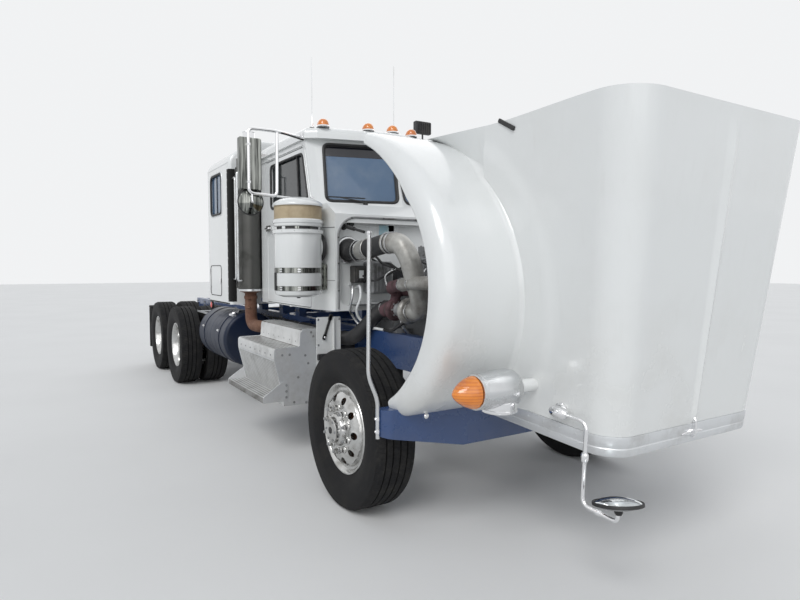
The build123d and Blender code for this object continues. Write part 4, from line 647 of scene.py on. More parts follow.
def pierced_steel(sizes):
    """Muffler shield: rows of round holes pressed through bright sheet, on a map in metres."""
    finish = Finish("pierced_steel", (0.34, 0.34, 0.34), metallic=0.95, roughness=0.35)
    pitch = 0.016
    across = finish.axis(0, "UV")
    up = finish.axis(1, "UV")
    first = ((across.wrapped(pitch) - pitch / 2) ** 2.0 + (up.wrapped(pitch) - pitch / 2) ** 2.0) ** 0.5
    shifted = (((across + pitch / 2).wrapped(pitch) - pitch / 2) ** 2.0
        + ((up + pitch / 2).wrapped(pitch) - pitch / 2) ** 2.0) ** 0.5
    metal = first.least(shifted).ease(0.0030, 0.0042)
    soot = finish.noise(5, 5, 0.6).ease(0.4, 0.8)
    sheet = finish.colours(soot * 0.85, (0.15, 0.15, 0.142), (0.032, 0.031, 0.029))
    finish.feed("Base Color", finish.colours(metal, (0.004, 0.004, 0.004), sheet))
    finish.feed("Metallic", metal * 0.95)
    finish.feed("Roughness", 0.9 - metal * 0.55)
    return finish.relief(metal, 0.002)


def tan_band(sizes):
    """The cleaner's cap band: sun faded tan paint, scuffed."""
    finish = Finish("tan_band", (0.44, 0.35, 0.23), roughness=0.55)
    fade = finish.noise(7, 5, 0.6).ease(0.4, 0.75)
    finish.feed("Base Color", finish.colours(fade, (0.47, 0.38, 0.25), (0.34, 0.26, 0.16)))
    return finish.relief(finish.noise(120, 3), 0.0006)


def cab_trim(sizes):
    """Grey vinyl and cloth inside the cab."""
    finish = Finish("cab_trim", (0.12, 0.12, 0.125), roughness=0.8)
    weave = finish.noise(240, 3, 0.7)
    finish.feed("Base Color", finish.colours(weave.ease(0.35, 0.65), (0.10, 0.10, 0.105), (0.17, 0.17, 0.17)))
    return finish.relief(weave, 0.001)


def radiator_core(sizes):
    """Rows of thin fins between flat tubes, in a black frame."""
    finish = Finish("radiator_core", (0.10, 0.10, 0.10), metallic=0.5, roughness=0.55)
    fins = finish.node("ShaderNodeMath", {"operation": "SINE"}, finish.axis(2) * 1200) * 0.5 + 0.5
    tubes = finish.node("ShaderNodeMath", {"operation": "SINE"}, finish.axis(1) * 520) * 0.5 + 0.5
    finish.feed("Base Color", finish.colours(tubes.ease(0.3, 0.6) * 0.6 + fins * 0.3, (0.035, 0.035, 0.036),
        (0.22, 0.22, 0.22)))
    return finish.relief(fins * 0.4 + tubes, 0.003)


def plain_label(sizes):
    """Blank sticker stock with a soft sheen and worn corners."""
    finish = Finish("plain_label", (0.74, 0.76, 0.76), roughness=0.4)
    worn = finish.noise(30, 4, 0.6).ease(0.5, 0.8)
    finish.feed("Base Color", finish.colours(worn * 0.6, (0.76, 0.78, 0.78), (0.55, 0.54, 0.5)))
    return finish


def ribbed_aluminium(sizes):
    """Extruded tread: grooves every 30 mm outwards on the flats and every 13 mm up on the riser hold dirt."""
    finish = Finish("ribbed_aluminium", (0.62, 0.63, 0.64), metallic=0.85, roughness=0.4)
    height = finish.axis(2)
    wide, fine = 0.030, 0.013
    flat = 1 - height.ease(0.526, 0.530) * (1 - height.ease(0.903, 0.906)) - height.ease(0.922,
        0.926) * (1 - height.ease(1.052, 1.055))
    across = 1 - ((finish.axis(1).size() + 0.008).wrapped(wide) - wide / 2).size().ease(0.0035, 0.0055)
    riser = height.ease(0.530, 0.535) * (1 - height.ease(0.808, 0.812))
    upward = 1 - (height.wrapped(fine) - fine / 2).size().ease(0.0018, 0.0034)
    groove = (across * flat.most(0.0) * 0.9 + upward * riser * 0.55).least(1.0)
    stain = finish.noise(7.0, 6, 0.66).ease(0.42, 0.76)
    finish.feed("Base Color", finish.colours((groove * 0.85 + stain * 0.3).least(1.0), (0.66, 0.665, 0.66),
        (0.12, 0.115, 0.105)))
    finish.feed("Metallic", 0.75 - groove * 0.5)
    finish.feed("Roughness", stain * 0.2 + groove * 0.2 + 0.36)
    return finish.relief(finish.noise(38, 3, 0.6, stretch=(0.15, 3, 3)), 0.0004)


def steel_painted_reflection(sizes):
    """Bright steel with painted reflections: dim surroundings laid into its colour as soft upright bars."""
    finish = Finish("steel_painted_reflection", (0.3, 0.3, 0.3), metallic=1.0, roughness=0.12)
    painted_reflection_bars = finish.noise(4.0, 4, 0.6, stretch=(3, 9, 0.5)).ease(0.36, 0.66)
    # Painted reflection: the bars mix dark and light reflected surroundings into the base colour.
    finish.feed("Base Color", finish.colours(painted_reflection_bars, (0.07, 0.075, 0.07), (0.46, 0.47, 0.44)))
    finish.feed("Roughness", finish.noise(20, 3).ease(0.4, 0.8) * 0.12 + 0.10)
    return finish


def tank_blue_painted_shade(sizes):
    """Glossy blue of the tanks, darkened far below the chassis blue as painted shade, and dulled by road film
    low down.
    """
    # Painted shade: the tanks sit in shadow under the sleeper, so their blue is kept near black.
    finish = Finish("tank_blue_painted_shade", (0.008, 0.016, 0.04), roughness=0.4, specular_ior_level=0.3)
    film = finish.noise(6.0, 6, 0.66, stretch=(2, 1, 0.6)).ease(0.46, 0.78)
    low = 1 - finish.axis(2).ease(0.52, 1.0)
    # The first colour is the same near black blue of painted shade; the second is road film.
    finish.feed("Base Color", finish.colours((film * 0.25 + low * 0.15).least(1.0), (0.006, 0.013, 0.034),
        (0.06, 0.06, 0.058)))
    finish.feed("Roughness", film * 0.2 + low * 0.15 + 0.34)
    return finish.relief(finish.noise(200, 2), 0.0003)


def screen_glass_painted_sky(sizes):
    """Laminated screen glass whose colour holds a painted reflection of the blue sky, with dust in its
    corners.
    """
    finish = Finish("screen_glass_painted_sky", (0.10, 0.17, 0.27), roughness=0.05, coat_weight=0.5)
    haze = finish.noise(3.0, 5, 0.6).ease(0.4, 0.85)
    # Painted reflection: both colours are sky blue laid into the glass's base colour.
    finish.feed("Base Color", finish.colours(haze, (0.10, 0.175, 0.29), (0.17, 0.23, 0.31)))
    finish.feed("Alpha", haze * 0.06 + 0.80)
    finish.feed("Roughness", haze * 0.08 + 0.04)
    return finish


def wet_grease(sizes):
    """Black grease smeared by the trailer plate."""
    finish = Finish("wet_grease", (0.012, 0.011, 0.010), roughness=0.3, coat_weight=0.3)
    smear = finish.noise(14, 5, 0.6, stretch=(1, 3, 1)).ease(0.35, 0.7)
    finish.feed("Base Color", finish.colours(smear, (0.008, 0.0075, 0.007), (0.03, 0.027, 0.022)))
    finish.feed("Roughness", smear * 0.35 + 0.18)
    return finish.relief(smear + finish.noise(60, 3), 0.002)


def stained_pipe(sizes):
    """Charge air pipe: cast aluminium browned by heat and oil mist."""
    finish = Finish("stained_pipe", (0.42, 0.41, 0.38), metallic=0.45, roughness=0.45)
    stain = finish.noise(6.0, 6, 0.66).ease(0.38, 0.74)
    finish.feed("Base Color", finish.colours(stain, (0.46, 0.455, 0.43), (0.20, 0.185, 0.165)))
    finish.feed("Metallic", 0.55 - stain * 0.3)
    finish.feed("Roughness", stain * 0.2 + 0.36)
    return finish.relief(finish.noise(90, 3), 0.0005)


def sun_film(sizes):
    """Dark tint along the head of the windscreen."""
    finish = Finish("sun_film", (0.008, 0.008, 0.014), roughness=0.08, coat_weight=0.5)
    finish.feed("Roughness", finish.noise(9, 3).ease(0.3, 0.8) * 0.08 + 0.05)
    return finish


def blue_label(sizes):
    """Blank pale blue sticker with a green foot, faded in patches."""
    finish = Finish("blue_label", (0.42, 0.60, 0.66), roughness=0.42)
    fade = finish.noise(24, 4, 0.6).ease(0.4, 0.8)
    finish.feed("Base Color", finish.colours(fade * 0.7, (0.36, 0.56, 0.64), (0.60, 0.68, 0.62)))
    return finish


FINISHES = {recipe.__name__: recipe for recipe in (white_enamel, firewall_enamel, fibreglass, blue_enamel,
    black_enamel, bare_aluminium, polished_aluminium, chrome_plate, stainless, black_rubber, tyre_rubber,
    tread_rubber, window_glass, clear_lens, amber_lens, red_lens, mirror_glass, grey_casting, rusty_steel,
    turbo_iron, pierced_steel, tan_band, cab_trim, radiator_core, plain_label, blue_label, ribbed_aluminium,
    sun_film, stained_pipe, steel_painted_reflection, tank_blue_painted_shade, screen_glass_painted_sky, wet_grease)}
made_finishes = {}


def paint_for(name):
    """The material of that finish, made once and then shared."""
    if name not in made_finishes:
        made_finishes[name] = FINISHES[name](bpy.context.scene.truck_sizes).material
    return made_finishes[name]


# Sizes and colours that a user may change

def length(name, description, default):
    return FloatProperty(name=name, description=description, default=default, min=0.0, unit="LENGTH",
        subtype="DISTANCE")


def tint(name, description, default):
    return FloatVectorProperty(name=name, description=description, default=default, size=3, min=0, max=1,
        subtype="COLOR")


class TruckSizes(PropertyGroup):
    """Main sizes and colours of the tractor's outer pieces."""

    white: tint("White", "Enamel of the hood, cab and sleeper", (0.76, 0.775, 0.77))
    blue: tint("Blue", "Enamel of the rails, bumper and tanks", (0.018, 0.055, 0.17))
    tyre_radius: length("Tyre radius", "From the axle to the tread", 0.518)
    rim_radius: length("Rim radius", "From the axle to the rim's outer edge", 0.299)
    steer_width: length("Steer tyre width", "Across the side walls of a steer tyre", 0.280)
    drive_width: length("Drive tyre width", "Across the side walls of a drive tyre", 0.270)
    hand_holes: IntProperty(name="Hand holes", description="Round holes in each wheel disc", default=10,
        min=5, max=12)
    hood_wall: length("Hood wall", "Thickness of the hood's moulding", 0.010)
    crease_height: length("Crease", "How far the hood's top rises to its middle crease", 0.013)
    fender_roll: length("Fender shoulder", "Radius of the fender's outer shoulder", 0.125)
    backdrop: tint("Backdrop", "Colour of the floor and the background", (0.80, 0.80, 0.79))


# Faces that pieces stand on: the firewall, what is bolted to it, the rails, the air line and the rear end
FIREWALL_X, BOX_BACK_X = 1.5758, 1.5762
RAIL_FACE, LINE_Y, TAIL_X = 0.4302, 0.4420, 4.5300


# Hood, worked out closed and then tilted open about its pivot

HOOD_REAR_X, HOOD_FRONT_X, TRIM_X = 1.655, 3.324, 3.224
HOOD_EDGE_Z, REAR_LEAN = 1.080, 0.052
ARCH = np.array((2.620, 0.576))
ARCH_RADIUS, CROWN_RADIUS, FENDER_HALF = 0.652, 0.792, 1.180
PIVOT = Vector((3.220, 0, 0.840))
HOOD_OPEN = Matrix.Translation(PIVOT) @ Matrix.Rotation(radians(93), 4, "Y") @ Matrix.Translation(-PIVOT)


def hood_size(x):
    """Half width, top height and corner radius at x: each runs evenly from the cowl to the nose."""
    share = (np.asarray(x, float) - HOOD_REAR_X) / (HOOD_FRONT_X - HOOD_REAR_X)
    return 0.740 - 0.140 * share, 2.030 - 0.113 * share, 0.190 - 0.040 * share


def hood_surface(inset, crease_height):
    """Grid of the hood's skin: along X and round the section from edge to edge.

    The section goes up the flank, round a quarter circle and across the top, which rises to a sharp middle
    crease as height * (1 - |y| / width). The flank stands 12 mm proud inside a circle round the arch, and
    the rear edge leans forward towards its foot by REAR_LEAN * (1 - share) ** 3.
    """
    x = np.linspace(HOOD_REAR_X, TRIM_X - 0.0004, 60)[:, None]
    half, top, corner = (value - offset for value, offset in zip(hood_size(x), (inset, inset, inset)))
    rise = np.linspace(0, 1, 30)[None, :]
    turn = np.linspace(0, pi / 2, 14)[None, 1:-1]
    spread = np.linspace(-1, 1, 61)[None, :]
    flat = np.sign(spread) * np.abs(spread) ** 1.7
    flank_z = HOOD_EDGE_Z + (top - corner - HOOD_EDGE_Z) * rise
    bulge = 0.012 * (1 - smoothstep(0.93, 1.03, np.hypot(x - ARCH[0], flank_z - ARCH[1])))
    flank_y = np.broadcast_to(half, flank_z.shape) + bulge
    corner_y = half - corner + corner * np.cos(turn)
    corner_z = top - corner + corner * np.sin(turn)
    fade = smoothstep(HOOD_REAR_X, HOOD_REAR_X + 0.25, x) * (1 - smoothstep(TRIM_X - 0.04, TRIM_X, x))
    top_y = (half - corner) * flat
    share = (x - HOOD_REAR_X) / (HOOD_FRONT_X - HOOD_REAR_X)
    width = 0.055 - 0.037 * share
    top_z = top + fade * (0.005 * (1 - np.abs(flat)) + crease_height
        * np.clip(1 - np.abs(top_y) / width, 0, 1))
    y = np.hstack([-flank_y, -corner_y, top_y, corner_y[:, ::-1], flank_y[:, ::-1]])
    z = np.hstack([flank_z, corner_z, top_z, corner_z[:, ::-1], flank_z[:, ::-1]])
    lean = (0.010 + REAR_LEAN * (1 - smoothstep(1.05, 2.00, z))) * (1 - share) ** 3
    return np.stack([x + lean, y, z], -1)


def fender_curves(angles):
    """Distance from the arch centre to the fender's crown and to its lip, at each angle."""
    sweep = radians(40)
    rear_top = ARCH + CROWN_RADIUS * np.array((-sin(sweep), cos(sweep)))
    front_top = ARCH + CROWN_RADIUS * np.array((sin(sweep), cos(sweep)))
    brow_end = np.array((3.300, 0.965))
    tail = tangent_arc(rear_top, (-cos(sweep), -sin(sweep)), (1.720, 0.520), 40)[::-1]
    turn = np.linspace(pi / 2 + sweep, pi / 2 - sweep, 60)[:, None]
    crown = ARCH + CROWN_RADIUS * np.hstack([np.cos(turn), np.sin(turn)])
    brow = tangent_arc(front_top, (cos(sweep), -sin(sweep)), brow_end, 30)
    nose = np.array([(3.288, 0.905), (3.250, 0.880)])
    outer = np.vstack([tail, crown[1:], brow[1:], nose])
    lip_tail = flowing_path([(1.790, 0.520, 0), (1.848, 0.655, 0), (1.930, 0.790, 0), (2.025, 0.910, 0),
        (2.135, 1.010, 0)])
    turn = np.linspace(np.arctan2(0.434, -0.485), np.arctan2(0.472, 0.450), 60)[:, None]
    arch = ARCH + ARCH_RADIUS * np.hstack([np.cos(turn), np.sin(turn)])
    inner = np.vstack([lip_tail[:-1, :2], arch, [(3.215, 0.880), (3.235, 0.872)]])
    found = []
    for curve in (outer, inner):
        spoke = curve - ARCH
        polar = np.arctan2(spoke[:, 1], spoke[:, 0])
        polar = np.where(polar < -pi / 2, polar + 2 * pi, polar)
        found.append(np.interp(-angles, -polar, np.hypot(*spoke.T)))
    return found


def fender_surface(inset, roll):
    """Grid of the right fender: round the arch by angle, and across from lip over shoulder to flank.

    Each section goes round the lip bead, up the side, round the shoulder, inboard along the crown and up a
    small hollow onto the flank.
    """
    angles = np.linspace(pi + 0.052, 0.465, 96)
    crown, lip = fender_curves(angles)
    crown = crown - inset
    depth = np.maximum(crown - lip, 0.02)
    half = FENDER_HALF - inset
    bead = np.minimum(0.018, depth * 0.3)
    shoulder = np.minimum(roll, (depth - bead) * 0.82)
    x = ARCH[0] + crown * np.cos(angles)
    z = ARCH[1] + crown * np.sin(angles)
    on_flank = smoothstep(HOOD_EDGE_Z - 0.25, HOOD_EDGE_Z + 0.02, z)
    flank = (hood_size(x)[0] - inset - 0.002) * on_flank + 0.690 * (1 - on_flank)
    hollow = 0.050 * on_flank
    quarter = np.linspace(0, pi / 2, 9)[None, :]
    column = (lip, bead, crown, shoulder, flank, hollow)
    lip, bead, crown, shoulder, flank, hollow = (value[:, None] for value in column)
    reach = [lip + 0 * quarter[:, :1], lip + bead - bead * np.cos(quarter),
        lip + bead + (crown - shoulder - lip - bead) * np.linspace(0.12, 0.9, 6)[None, :],
        crown - shoulder + shoulder * np.sin(quarter), crown + 0 * np.linspace(0, 1, 12)[None, 1:-1],
        crown + hollow - hollow * np.cos(quarter)]
    across = [half - 0.040 + 0 * lip, half - bead + bead * np.sin(quarter),
        half + 0 * lip + 0 * np.linspace(0, 1, 6)[None, :], half - shoulder + shoulder * np.cos(quarter),
        half - shoulder + (flank + hollow - half + shoulder) * np.linspace(0, 1, 12)[None, 1:-1],
        flank + hollow - hollow * np.sin(quarter)]
    reach, across = np.hstack(reach), np.hstack(across)
    turn = angles[:, None]
    return np.stack([ARCH[0] + reach * np.cos(turn), -across, ARCH[1] + reach * np.sin(turn)], -1)


def flank_tail(inset, roll):
    """Grid of the flank behind the fender: at each height it runs level from the rear edge to the fender."""
    edge = fender_surface(0, roll)[:, -1]
    edge = edge[(edge[:, 2] < HOOD_EDGE_Z + 0.004) & (edge[:, 0] < ARCH[0])]
    rear_x = np.minimum(HOOD_REAR_X + REAR_LEAN + 0.008, edge[:, 0] - 0.002)
    rear = np.stack([rear_x, np.full(len(edge), -hood_size(HOOD_REAR_X + REAR_LEAN)[0] - 0.001), edge[:, 2]],
        -1)
    share = np.linspace(0, 1, 12)[:, None, None]
    return rear[None] * (1 - share) + edge[None] * share + (0, inset, 0)


class TRUCK_OT_hood(Operator):
    """Adds the tilted hood's skin with its fenders, its two latch straps and a plain crown ornament"""

    bl_idname = "truck.hood"
    bl_label = "Hood and fenders"

    def execute(self, context):
        sizes = context.scene.truck_sizes
        hood = Shape()
        hood.shell(hood_surface(0, sizes.crease_height), hood_surface(sizes.hood_wall, sizes.crease_height),
            0, 1)
        fender = Shape()
        fender.shell(fender_surface(0, sizes.fender_roll), fender_surface(sizes.hood_wall, sizes.fender_roll),
            0, 1)
        fender.shell(flank_tail(0, sizes.fender_roll), flank_tail(sizes.hood_wall, sizes.fender_roll), 0, 1)
        hood.stamp(fender.mirrored(), [Matrix.Identity(4)])
        make_piece("hood_skin", hood.moved(HOOD_OPEN), "hood", ["white_enamel", "fibreglass"],
            ["hood_shell"], crisp=50)

        fittings = Shape()
        for side in (-1, 1):
            half = float(hood_size(1.74)[0])
            fittings.plate(rounded_outline([(1.694, 1.203), (1.714, 1.194), (1.774, 1.314), (1.754, 1.324)],
                0.006), 0.014, (0, side * (half + 0.007) + 0.007, 0), AHEAD, UP, 0.003)
        make_piece("hood_latches", fittings.moved(HOOD_OPEN), "hood", ["black_rubber"])

        crown = Shape()
        top = float(hood_size(3.235)[1]) + 0.004
        blade = [(3.180, top + 0.001), (3.296, top - 0.006), (3.296, top + 0.012), (3.270, top + 0.026),
            (3.200, top + 0.022)]
        crown.plate(rounded_outline(blade, 0.010), 0.012, (0, 0.006, 0), AHEAD, UP, 0.003)
        wing = [(3.266, -0.088), (3.273, -0.088), (3.284, 0.0), (3.273, 0.088), (3.266, 0.088), (3.254, 0.0)]
        crown.plate(rounded_outline(wing, 0.006), 0.010, (0, 0, top - 0.003), AHEAD, LEFT, 0.003)
        make_piece("hood_ornament", crown.moved(HOOD_OPEN), "hood", ["chrome_plate"])
        return {"FINISHED"}


class TRUCK_OT_hood_fittings(Operator):
    """Adds what is bolted to the hood: headlamp pods, turn lamps, the mirror, nose trim and grille"""

    bl_idname = "truck.hood_fittings"
    bl_label = "Lamps, mirror and trim of the hood"

    def execute(self, context):
        lamp = np.array((3.066, 0, 1.430))
        pod_half = float(hood_size(3.025)[0])
        outward = np.array((0, -1.0, 0))
        pod = Shape()
        start = np.array((lamp[0], -pod_half + 0.004, lamp[2]))
        inner, outer = 0.757 - pod_half, 1.030 - pod_half
        pod.turned([(0.0, 0.0), (0.034, 0.0), (0.034, inner + 0.02)], start, outward, 40, 3)
        pod.turned([(0.0, inner - 0.008), (0.046, inner - 0.008), (0.048, inner - 0.004), (0.048, inner),
            (0.056, inner + 0.002), (0.078, inner + 0.014), (0.092, inner + 0.036), (0.099, inner + 0.068),
            (0.100, inner + 0.110), (0.097, inner + 0.160), (0.088, outer - 0.044), (0.086, outer - 0.036),
            (0.089, outer - 0.034), (0.089, outer - 0.026), (0.085, outer - 0.023), (0.085, outer - 0.015),
            (0.088, outer - 0.012), (0.088, outer - 0.003), (0.080, outer - 0.001), (0.0, outer - 0.002)],
            start, outward, 64)
        middle = np.array((lamp[0] + 0.026, -0.862, lamp[2]))
        pod.turned([(0.060, 0.0), (0.090, 0.028), (0.093, 0.050), (0.093, 0.066), (0.097, 0.068),
            (0.097, 0.080), (0.091, 0.0845), (0.083, 0.080), (0.079, 0.068), (0.0, 0.058)], middle, AHEAD, 56,
            1)
        pod.turned([(0.084, 0.073), (0.073, 0.078), (0.050, 0.0825), (0.026, 0.0845), (0.0, 0.085)], middle,
            AHEAD, 48, 2)
        for angle in (0.6, 2.2, 3.9, 5.4):
            spot = middle + (0.078, 0.094 * cos(angle), 0.094 * sin(angle))
            pod.bolt(spot, AHEAD, 0.0045, 0.004, 1)
        make_piece("headlamp_pods", pod.mirrored().moved(HOOD_OPEN), "hood",
            ["stainless", "chrome_plate", "clear_lens", "white_enamel"], ["headlamps"])

        dome = Shape()
        face = np.array((lamp[0], -1.0305, lamp[2]))
        share = np.linspace(0, 1, 20)
        profile = [(0.0, 0.0), (0.081, 0.0)] + [(0.080 * (1 - step**1.45) ** 0.72,
            0.003 + 0.120 * step) for step in share]
        dome.turned(profile, face, outward, 64)
        make_piece("turn_lamp_domes", dome.mirrored().moved(HOOD_OPEN), "hood", ["amber_lens"],
            ["turn_lamps"])

        mirror = Shape()
        base_half = float(hood_size(3.120)[0])
        foot = np.array((3.160, -base_half - 0.0005, 1.620))
        arm_y = -base_half - 0.035
        mirror.turned([(0.0, 0.0), (0.041, 0.0), (0.041, 0.006), (0.036, 0.010), (0.034, 0.020),
            (0.0, 0.020)], foot, outward, 32)
        mirror.turned([(0.0, -0.054), (0.016, -0.050), (0.026, -0.036), (0.030, -0.012), (0.030, 0.020),
            (0.026, 0.042), (0.016, 0.054), (0.0, 0.058)], foot + (0, -0.032, 0.012), UP, 28)
        corners = [(3.160, arm_y, 1.640), (3.160, arm_y, 1.810), (3.560, arm_y, 1.810), (3.560, arm_y, 2.010),
            (3.512, arm_y, 2.010)]
        mirror.tube(rounded_path(corners, 0.050, 10), 0.0098, 16)
        mirror.turned([(0.0, -0.020), (0.015, -0.020), (0.018, -0.012), (0.018, 0.012), (0.015, 0.020),
            (0.0, 0.020)], (3.330, arm_y, 1.810), AHEAD, 20)
        mirror.turned([(0.0098, -0.012), (0.0135, -0.010), (0.0135, 0.010), (0.0098, 0.012)],
            (3.560, arm_y, 1.905), UP, 16)
        disc, facing = np.array((3.484, arm_y, 2.010)), unit((-1, 0.10, -0.24))
        for paint, profile in ((1, [(0.0, -0.044), (0.012, -0.042), (0.018, -0.032), (0.020, -0.022),
                (0.014, -0.012)]), (3, [(0.0, -0.018), (0.034, -0.018), (0.060, -0.014), (0.088, -0.005),
                (0.104, 0.002), (0.108, 0.006)]), (1, [(0.107, 0.000), (0.1115, 0.002), (0.112, 0.011),
                (0.110, 0.0155), (0.104, 0.0158), (0.102, 0.012)]),
                (2, [(0.1035, 0.0120), (0.092, 0.0190), (0.070, 0.0275), (0.040, 0.0340), (0.015, 0.0365),
                (0.0, 0.0368)])):
            mirror.turned(profile, disc, facing, 56, paint)
        make_piece("hood_mirror_on_its_arm", mirror.moved(HOOD_OPEN), "hood",
            ["chrome_plate", "black_rubber", "mirror_glass", "grey_casting"], ["hood_mirror"])

        trim = Shape()
        rows = []
        for x, out in ((TRIM_X + 0.0003, 0.0), (TRIM_X + 0.0003, 0.0050), (TRIM_X + 0.004, 0.006),
                (TRIM_X + 0.048, 0.006), (TRIM_X + 0.052, 0.0035), (TRIM_X + 0.058, 0.0035),
                (TRIM_X + 0.062, 0.006), (HOOD_FRONT_X - 0.008, 0.006), (HOOD_FRONT_X, 0.001),
                (HOOD_FRONT_X - 0.001, -0.020), (HOOD_FRONT_X - 0.012, -0.0245), (TRIM_X + 0.020, -0.0245),
                (TRIM_X + 0.0006, -0.022)):
            half, top, corner = (float(value) + out for value in hood_size(x))
            turn = np.linspace(0, pi / 2, 16)
            side_z = np.linspace(0.9851, top - corner, 8)
            right = np.stack([-half + 0 * side_z, side_z], 1)
            bend = np.stack([-half + corner - corner * np.cos(turn), top - corner + corner * np.sin(turn)], 1)
            flat = np.stack([np.linspace(-half + corner, half - corner, 12)[1:-1], np.full(10, top)], 1)
            section = np.vstack([right[:-1], bend, flat, bend[::-1] * (-1, 1), right[::-1][1:] * (-1, 1)])
            rows.append(np.hstack([np.full((len(section), 1), x), section]))
        rows.append(rows[0])
        trim.grid(np.array(rows))
        for end in (0, -1):
            ring = np.array([row[end] for row in rows[:-1]])
            trim.add(ring, [tuple(range(len(ring)))])
        for share in np.linspace(0.05, 0.95, 7):
            for side in (-1, 1):
                z = 1.03 + 0.72 * share
                half = float(hood_size(TRIM_X + 0.025)[0])
                trim.rivets([(TRIM_X + 0.025, side * (half + 0.0058), z)], (0, side, 0), 0.005)
        make_piece("nose_trim", trim.moved(HOOD_OPEN), "hood", ["bare_aluminium"], ["hood_trim"])

        grille = Shape()
        grille_x, thickness = 3.274, 0.020
        half, top, corner = (float(value) - 0.033 for value in hood_size(grille_x + thickness))
        low = 0.985
        for bar_y in np.linspace(-half + 0.045, half - 0.045, 17):
            lift = corner * (1 - (1 - max(0, (abs(bar_y) - half + corner) / corner) ** 2) ** 0.5)
            grille.plate(rectangle(0.0085, 0.007, 0.0065), top - lift - low - 0.034,
                (grille_x + 0.010, bar_y, low + 0.012), AHEAD, LEFT)
        outline = rounded_outline([(-half, low), (half, low), (half, top), (-half, top)],
            (0.02, 0.02, corner * 1.6, corner * 1.6), 14)
        closed = np.vstack([outline, outline[:1]])
        rings = []
        for step, depth in ((0.0, 0.0), (0.0, 0.016), (0.006, 0.020), (0.022, 0.020), (0.028, 0.014),
                (0.028, 0.0), (0.0, 0.0)):
            centre = np.array((0, (low + top) / 2))
            scale = 1 - step / np.array((half, (top - low) / 2))
            drawn = (closed - centre) * scale + centre
            rings.append(np.hstack([np.full((len(drawn), 1), grille_x + depth), drawn]))
        grille.grid(np.array(rings))
        for rung_z in (top - 0.055, (low + top) / 2, low + 0.050):
            grille.box((grille_x, -half + 0.02, rung_z - 0.012),
                (grille_x + 0.008, half - 0.02, rung_z + 0.012), 0.002)
        for arm_y in (-0.330, 0.330):
            outline = rounded_outline([(3.196, 0.802), (3.244, 0.802), (3.246, 0.990), (3.284, 0.992),
                (3.284, 1.080), (3.272, 1.078), (3.196, 0.870)], 0.012)
            grille.plate(outline, 0.024, (0, arm_y + 0.012, 0), AHEAD, UP, 0.002, 1)
            for x, z in ((3.220, 0.930), (3.268, 1.045)):
                for side in (-1, 1):
                    grille.bolt((x, arm_y + side * 0.012, z), (0, side, 0), 0.009, 0.008, 1)
        for pad_z in (1.105, 1.71):
            for side in (-1, 1):
                grille.box((grille_x + 0.001, side * (half - 0.004), pad_z - 0.030),
                    (grille_x + 0.019, side * (half + 0.007), pad_z + 0.030))
        make_piece("grille_and_arms", grille.moved(HOOD_OPEN), "hood", ["chrome_plate", "blue_enamel"],
            ["grille"])
        return {"FINISHED"}


# Wheels, worked out in their own frame: across the wheel, up, and outward from the truck

AXLE_Z, FRONT_AXLE_X, STEER_Y = 0.518, 2.600, 1.030
DRIVE_XS, DUAL_OUTER_Y, DUAL_INNER_Y, FACE_Y = (-2.420, -3.740), 1.090, 0.750, 0.920
RIM_HALF, HUB_RADIUS, WHEEL_OFFSET = 0.105, 0.108, 0.170


def wheel_to_truck(x, y, side):
    """Carries (across, up, outward) of a wheel to the truck, outward pointing away from the middle."""
    return Matrix(((-side, 0, 0, x), (0, 0, side, side * y), (0, 1, 0, AXLE_Z), (0, 0, 0, 1)))


def tyre(shape, half, rim_radius, radius, grooves, blocks):
    """A tyre round the outward axis: bead, bulging wall with its scuff rib, shoulder and grooved tread.

    Each section is a list of (radius, outward). The wall bulges as a sine from bead to shoulder. The map
    holds the distance round the tyre and the distance across it in metres, so the tread's cuts run right
    round.
    """
    bead = RIM_HALF - 0.006
    crown = radius - 0.014
    share = np.linspace(0, 1, 15)
    wall_radius = rim_radius + (crown - rim_radius) * share
    bulge = np.where(share < 0.55, np.sin(share / 0.55 * pi / 2), 1 - 0.13 * ((share - 0.55) / 0.45) ** 2)
    wall = bead + (half - bead) * bulge
    ribs = 0.0022 * np.exp(-(((share - 0.16) / 0.022) ** 2)) + 0.003 * np.exp(
        -(((share - 0.80) / 0.025) ** 2))
    wall = np.minimum(wall + ribs, half)
    tread = [(crown + 0.006, half - 0.021), (radius - 0.002, half - 0.026), (radius, half - 0.034)]
    for middle, wide, deep in grooves:
        tread += [(radius, middle + wide / 2), (radius - deep, middle + wide / 2 - 0.002),
            (radius - deep, middle - wide / 2 + 0.002), (radius, middle - wide / 2)]
    tread += [(radius, -half + 0.034), (radius - 0.002, -half + 0.026), (crown + 0.006, -half + 0.021)]
    outer = list(zip(wall_radius, wall))
    inner = [(r, -w) for r, w in outer[::-1]]
    section = np.array(outer + tread + inner)
    segments = 96 if blocks is None else blocks * 2
    angles = np.linspace(0, 2 * pi, segments + 1)
    reach = np.broadcast_to(section[:, :1], (len(section), segments + 1)).copy()
    across = np.broadcast_to(section[:, 1:], reach.shape).copy()
    if blocks:
        low = (reach > radius - 0.004) & (np.abs(across) > half - 0.075) & (np.arange(segments + 1) % 2 == 0)
        reach = np.where(low, reach - 0.011, reach)
    points = np.stack([reach * np.cos(angles), reach * np.sin(angles), across], -1)
    run = np.concatenate([[0], np.cumsum(np.hypot(*np.diff(section, axis=0).T))])[:, None]
    maps = np.stack([np.broadcast_to(angles * radius, reach.shape), np.broadcast_to(run, reach.shape)], -1)
    first, last = len(outer), len(outer) + len(tread)
    for low, high, paint in ((0, first, 0), (first - 1, last + 1, 1), (last, len(section), 0)):
        shape.grid(points[low:high], paint=paint, maps=maps[low:high])
    return shape


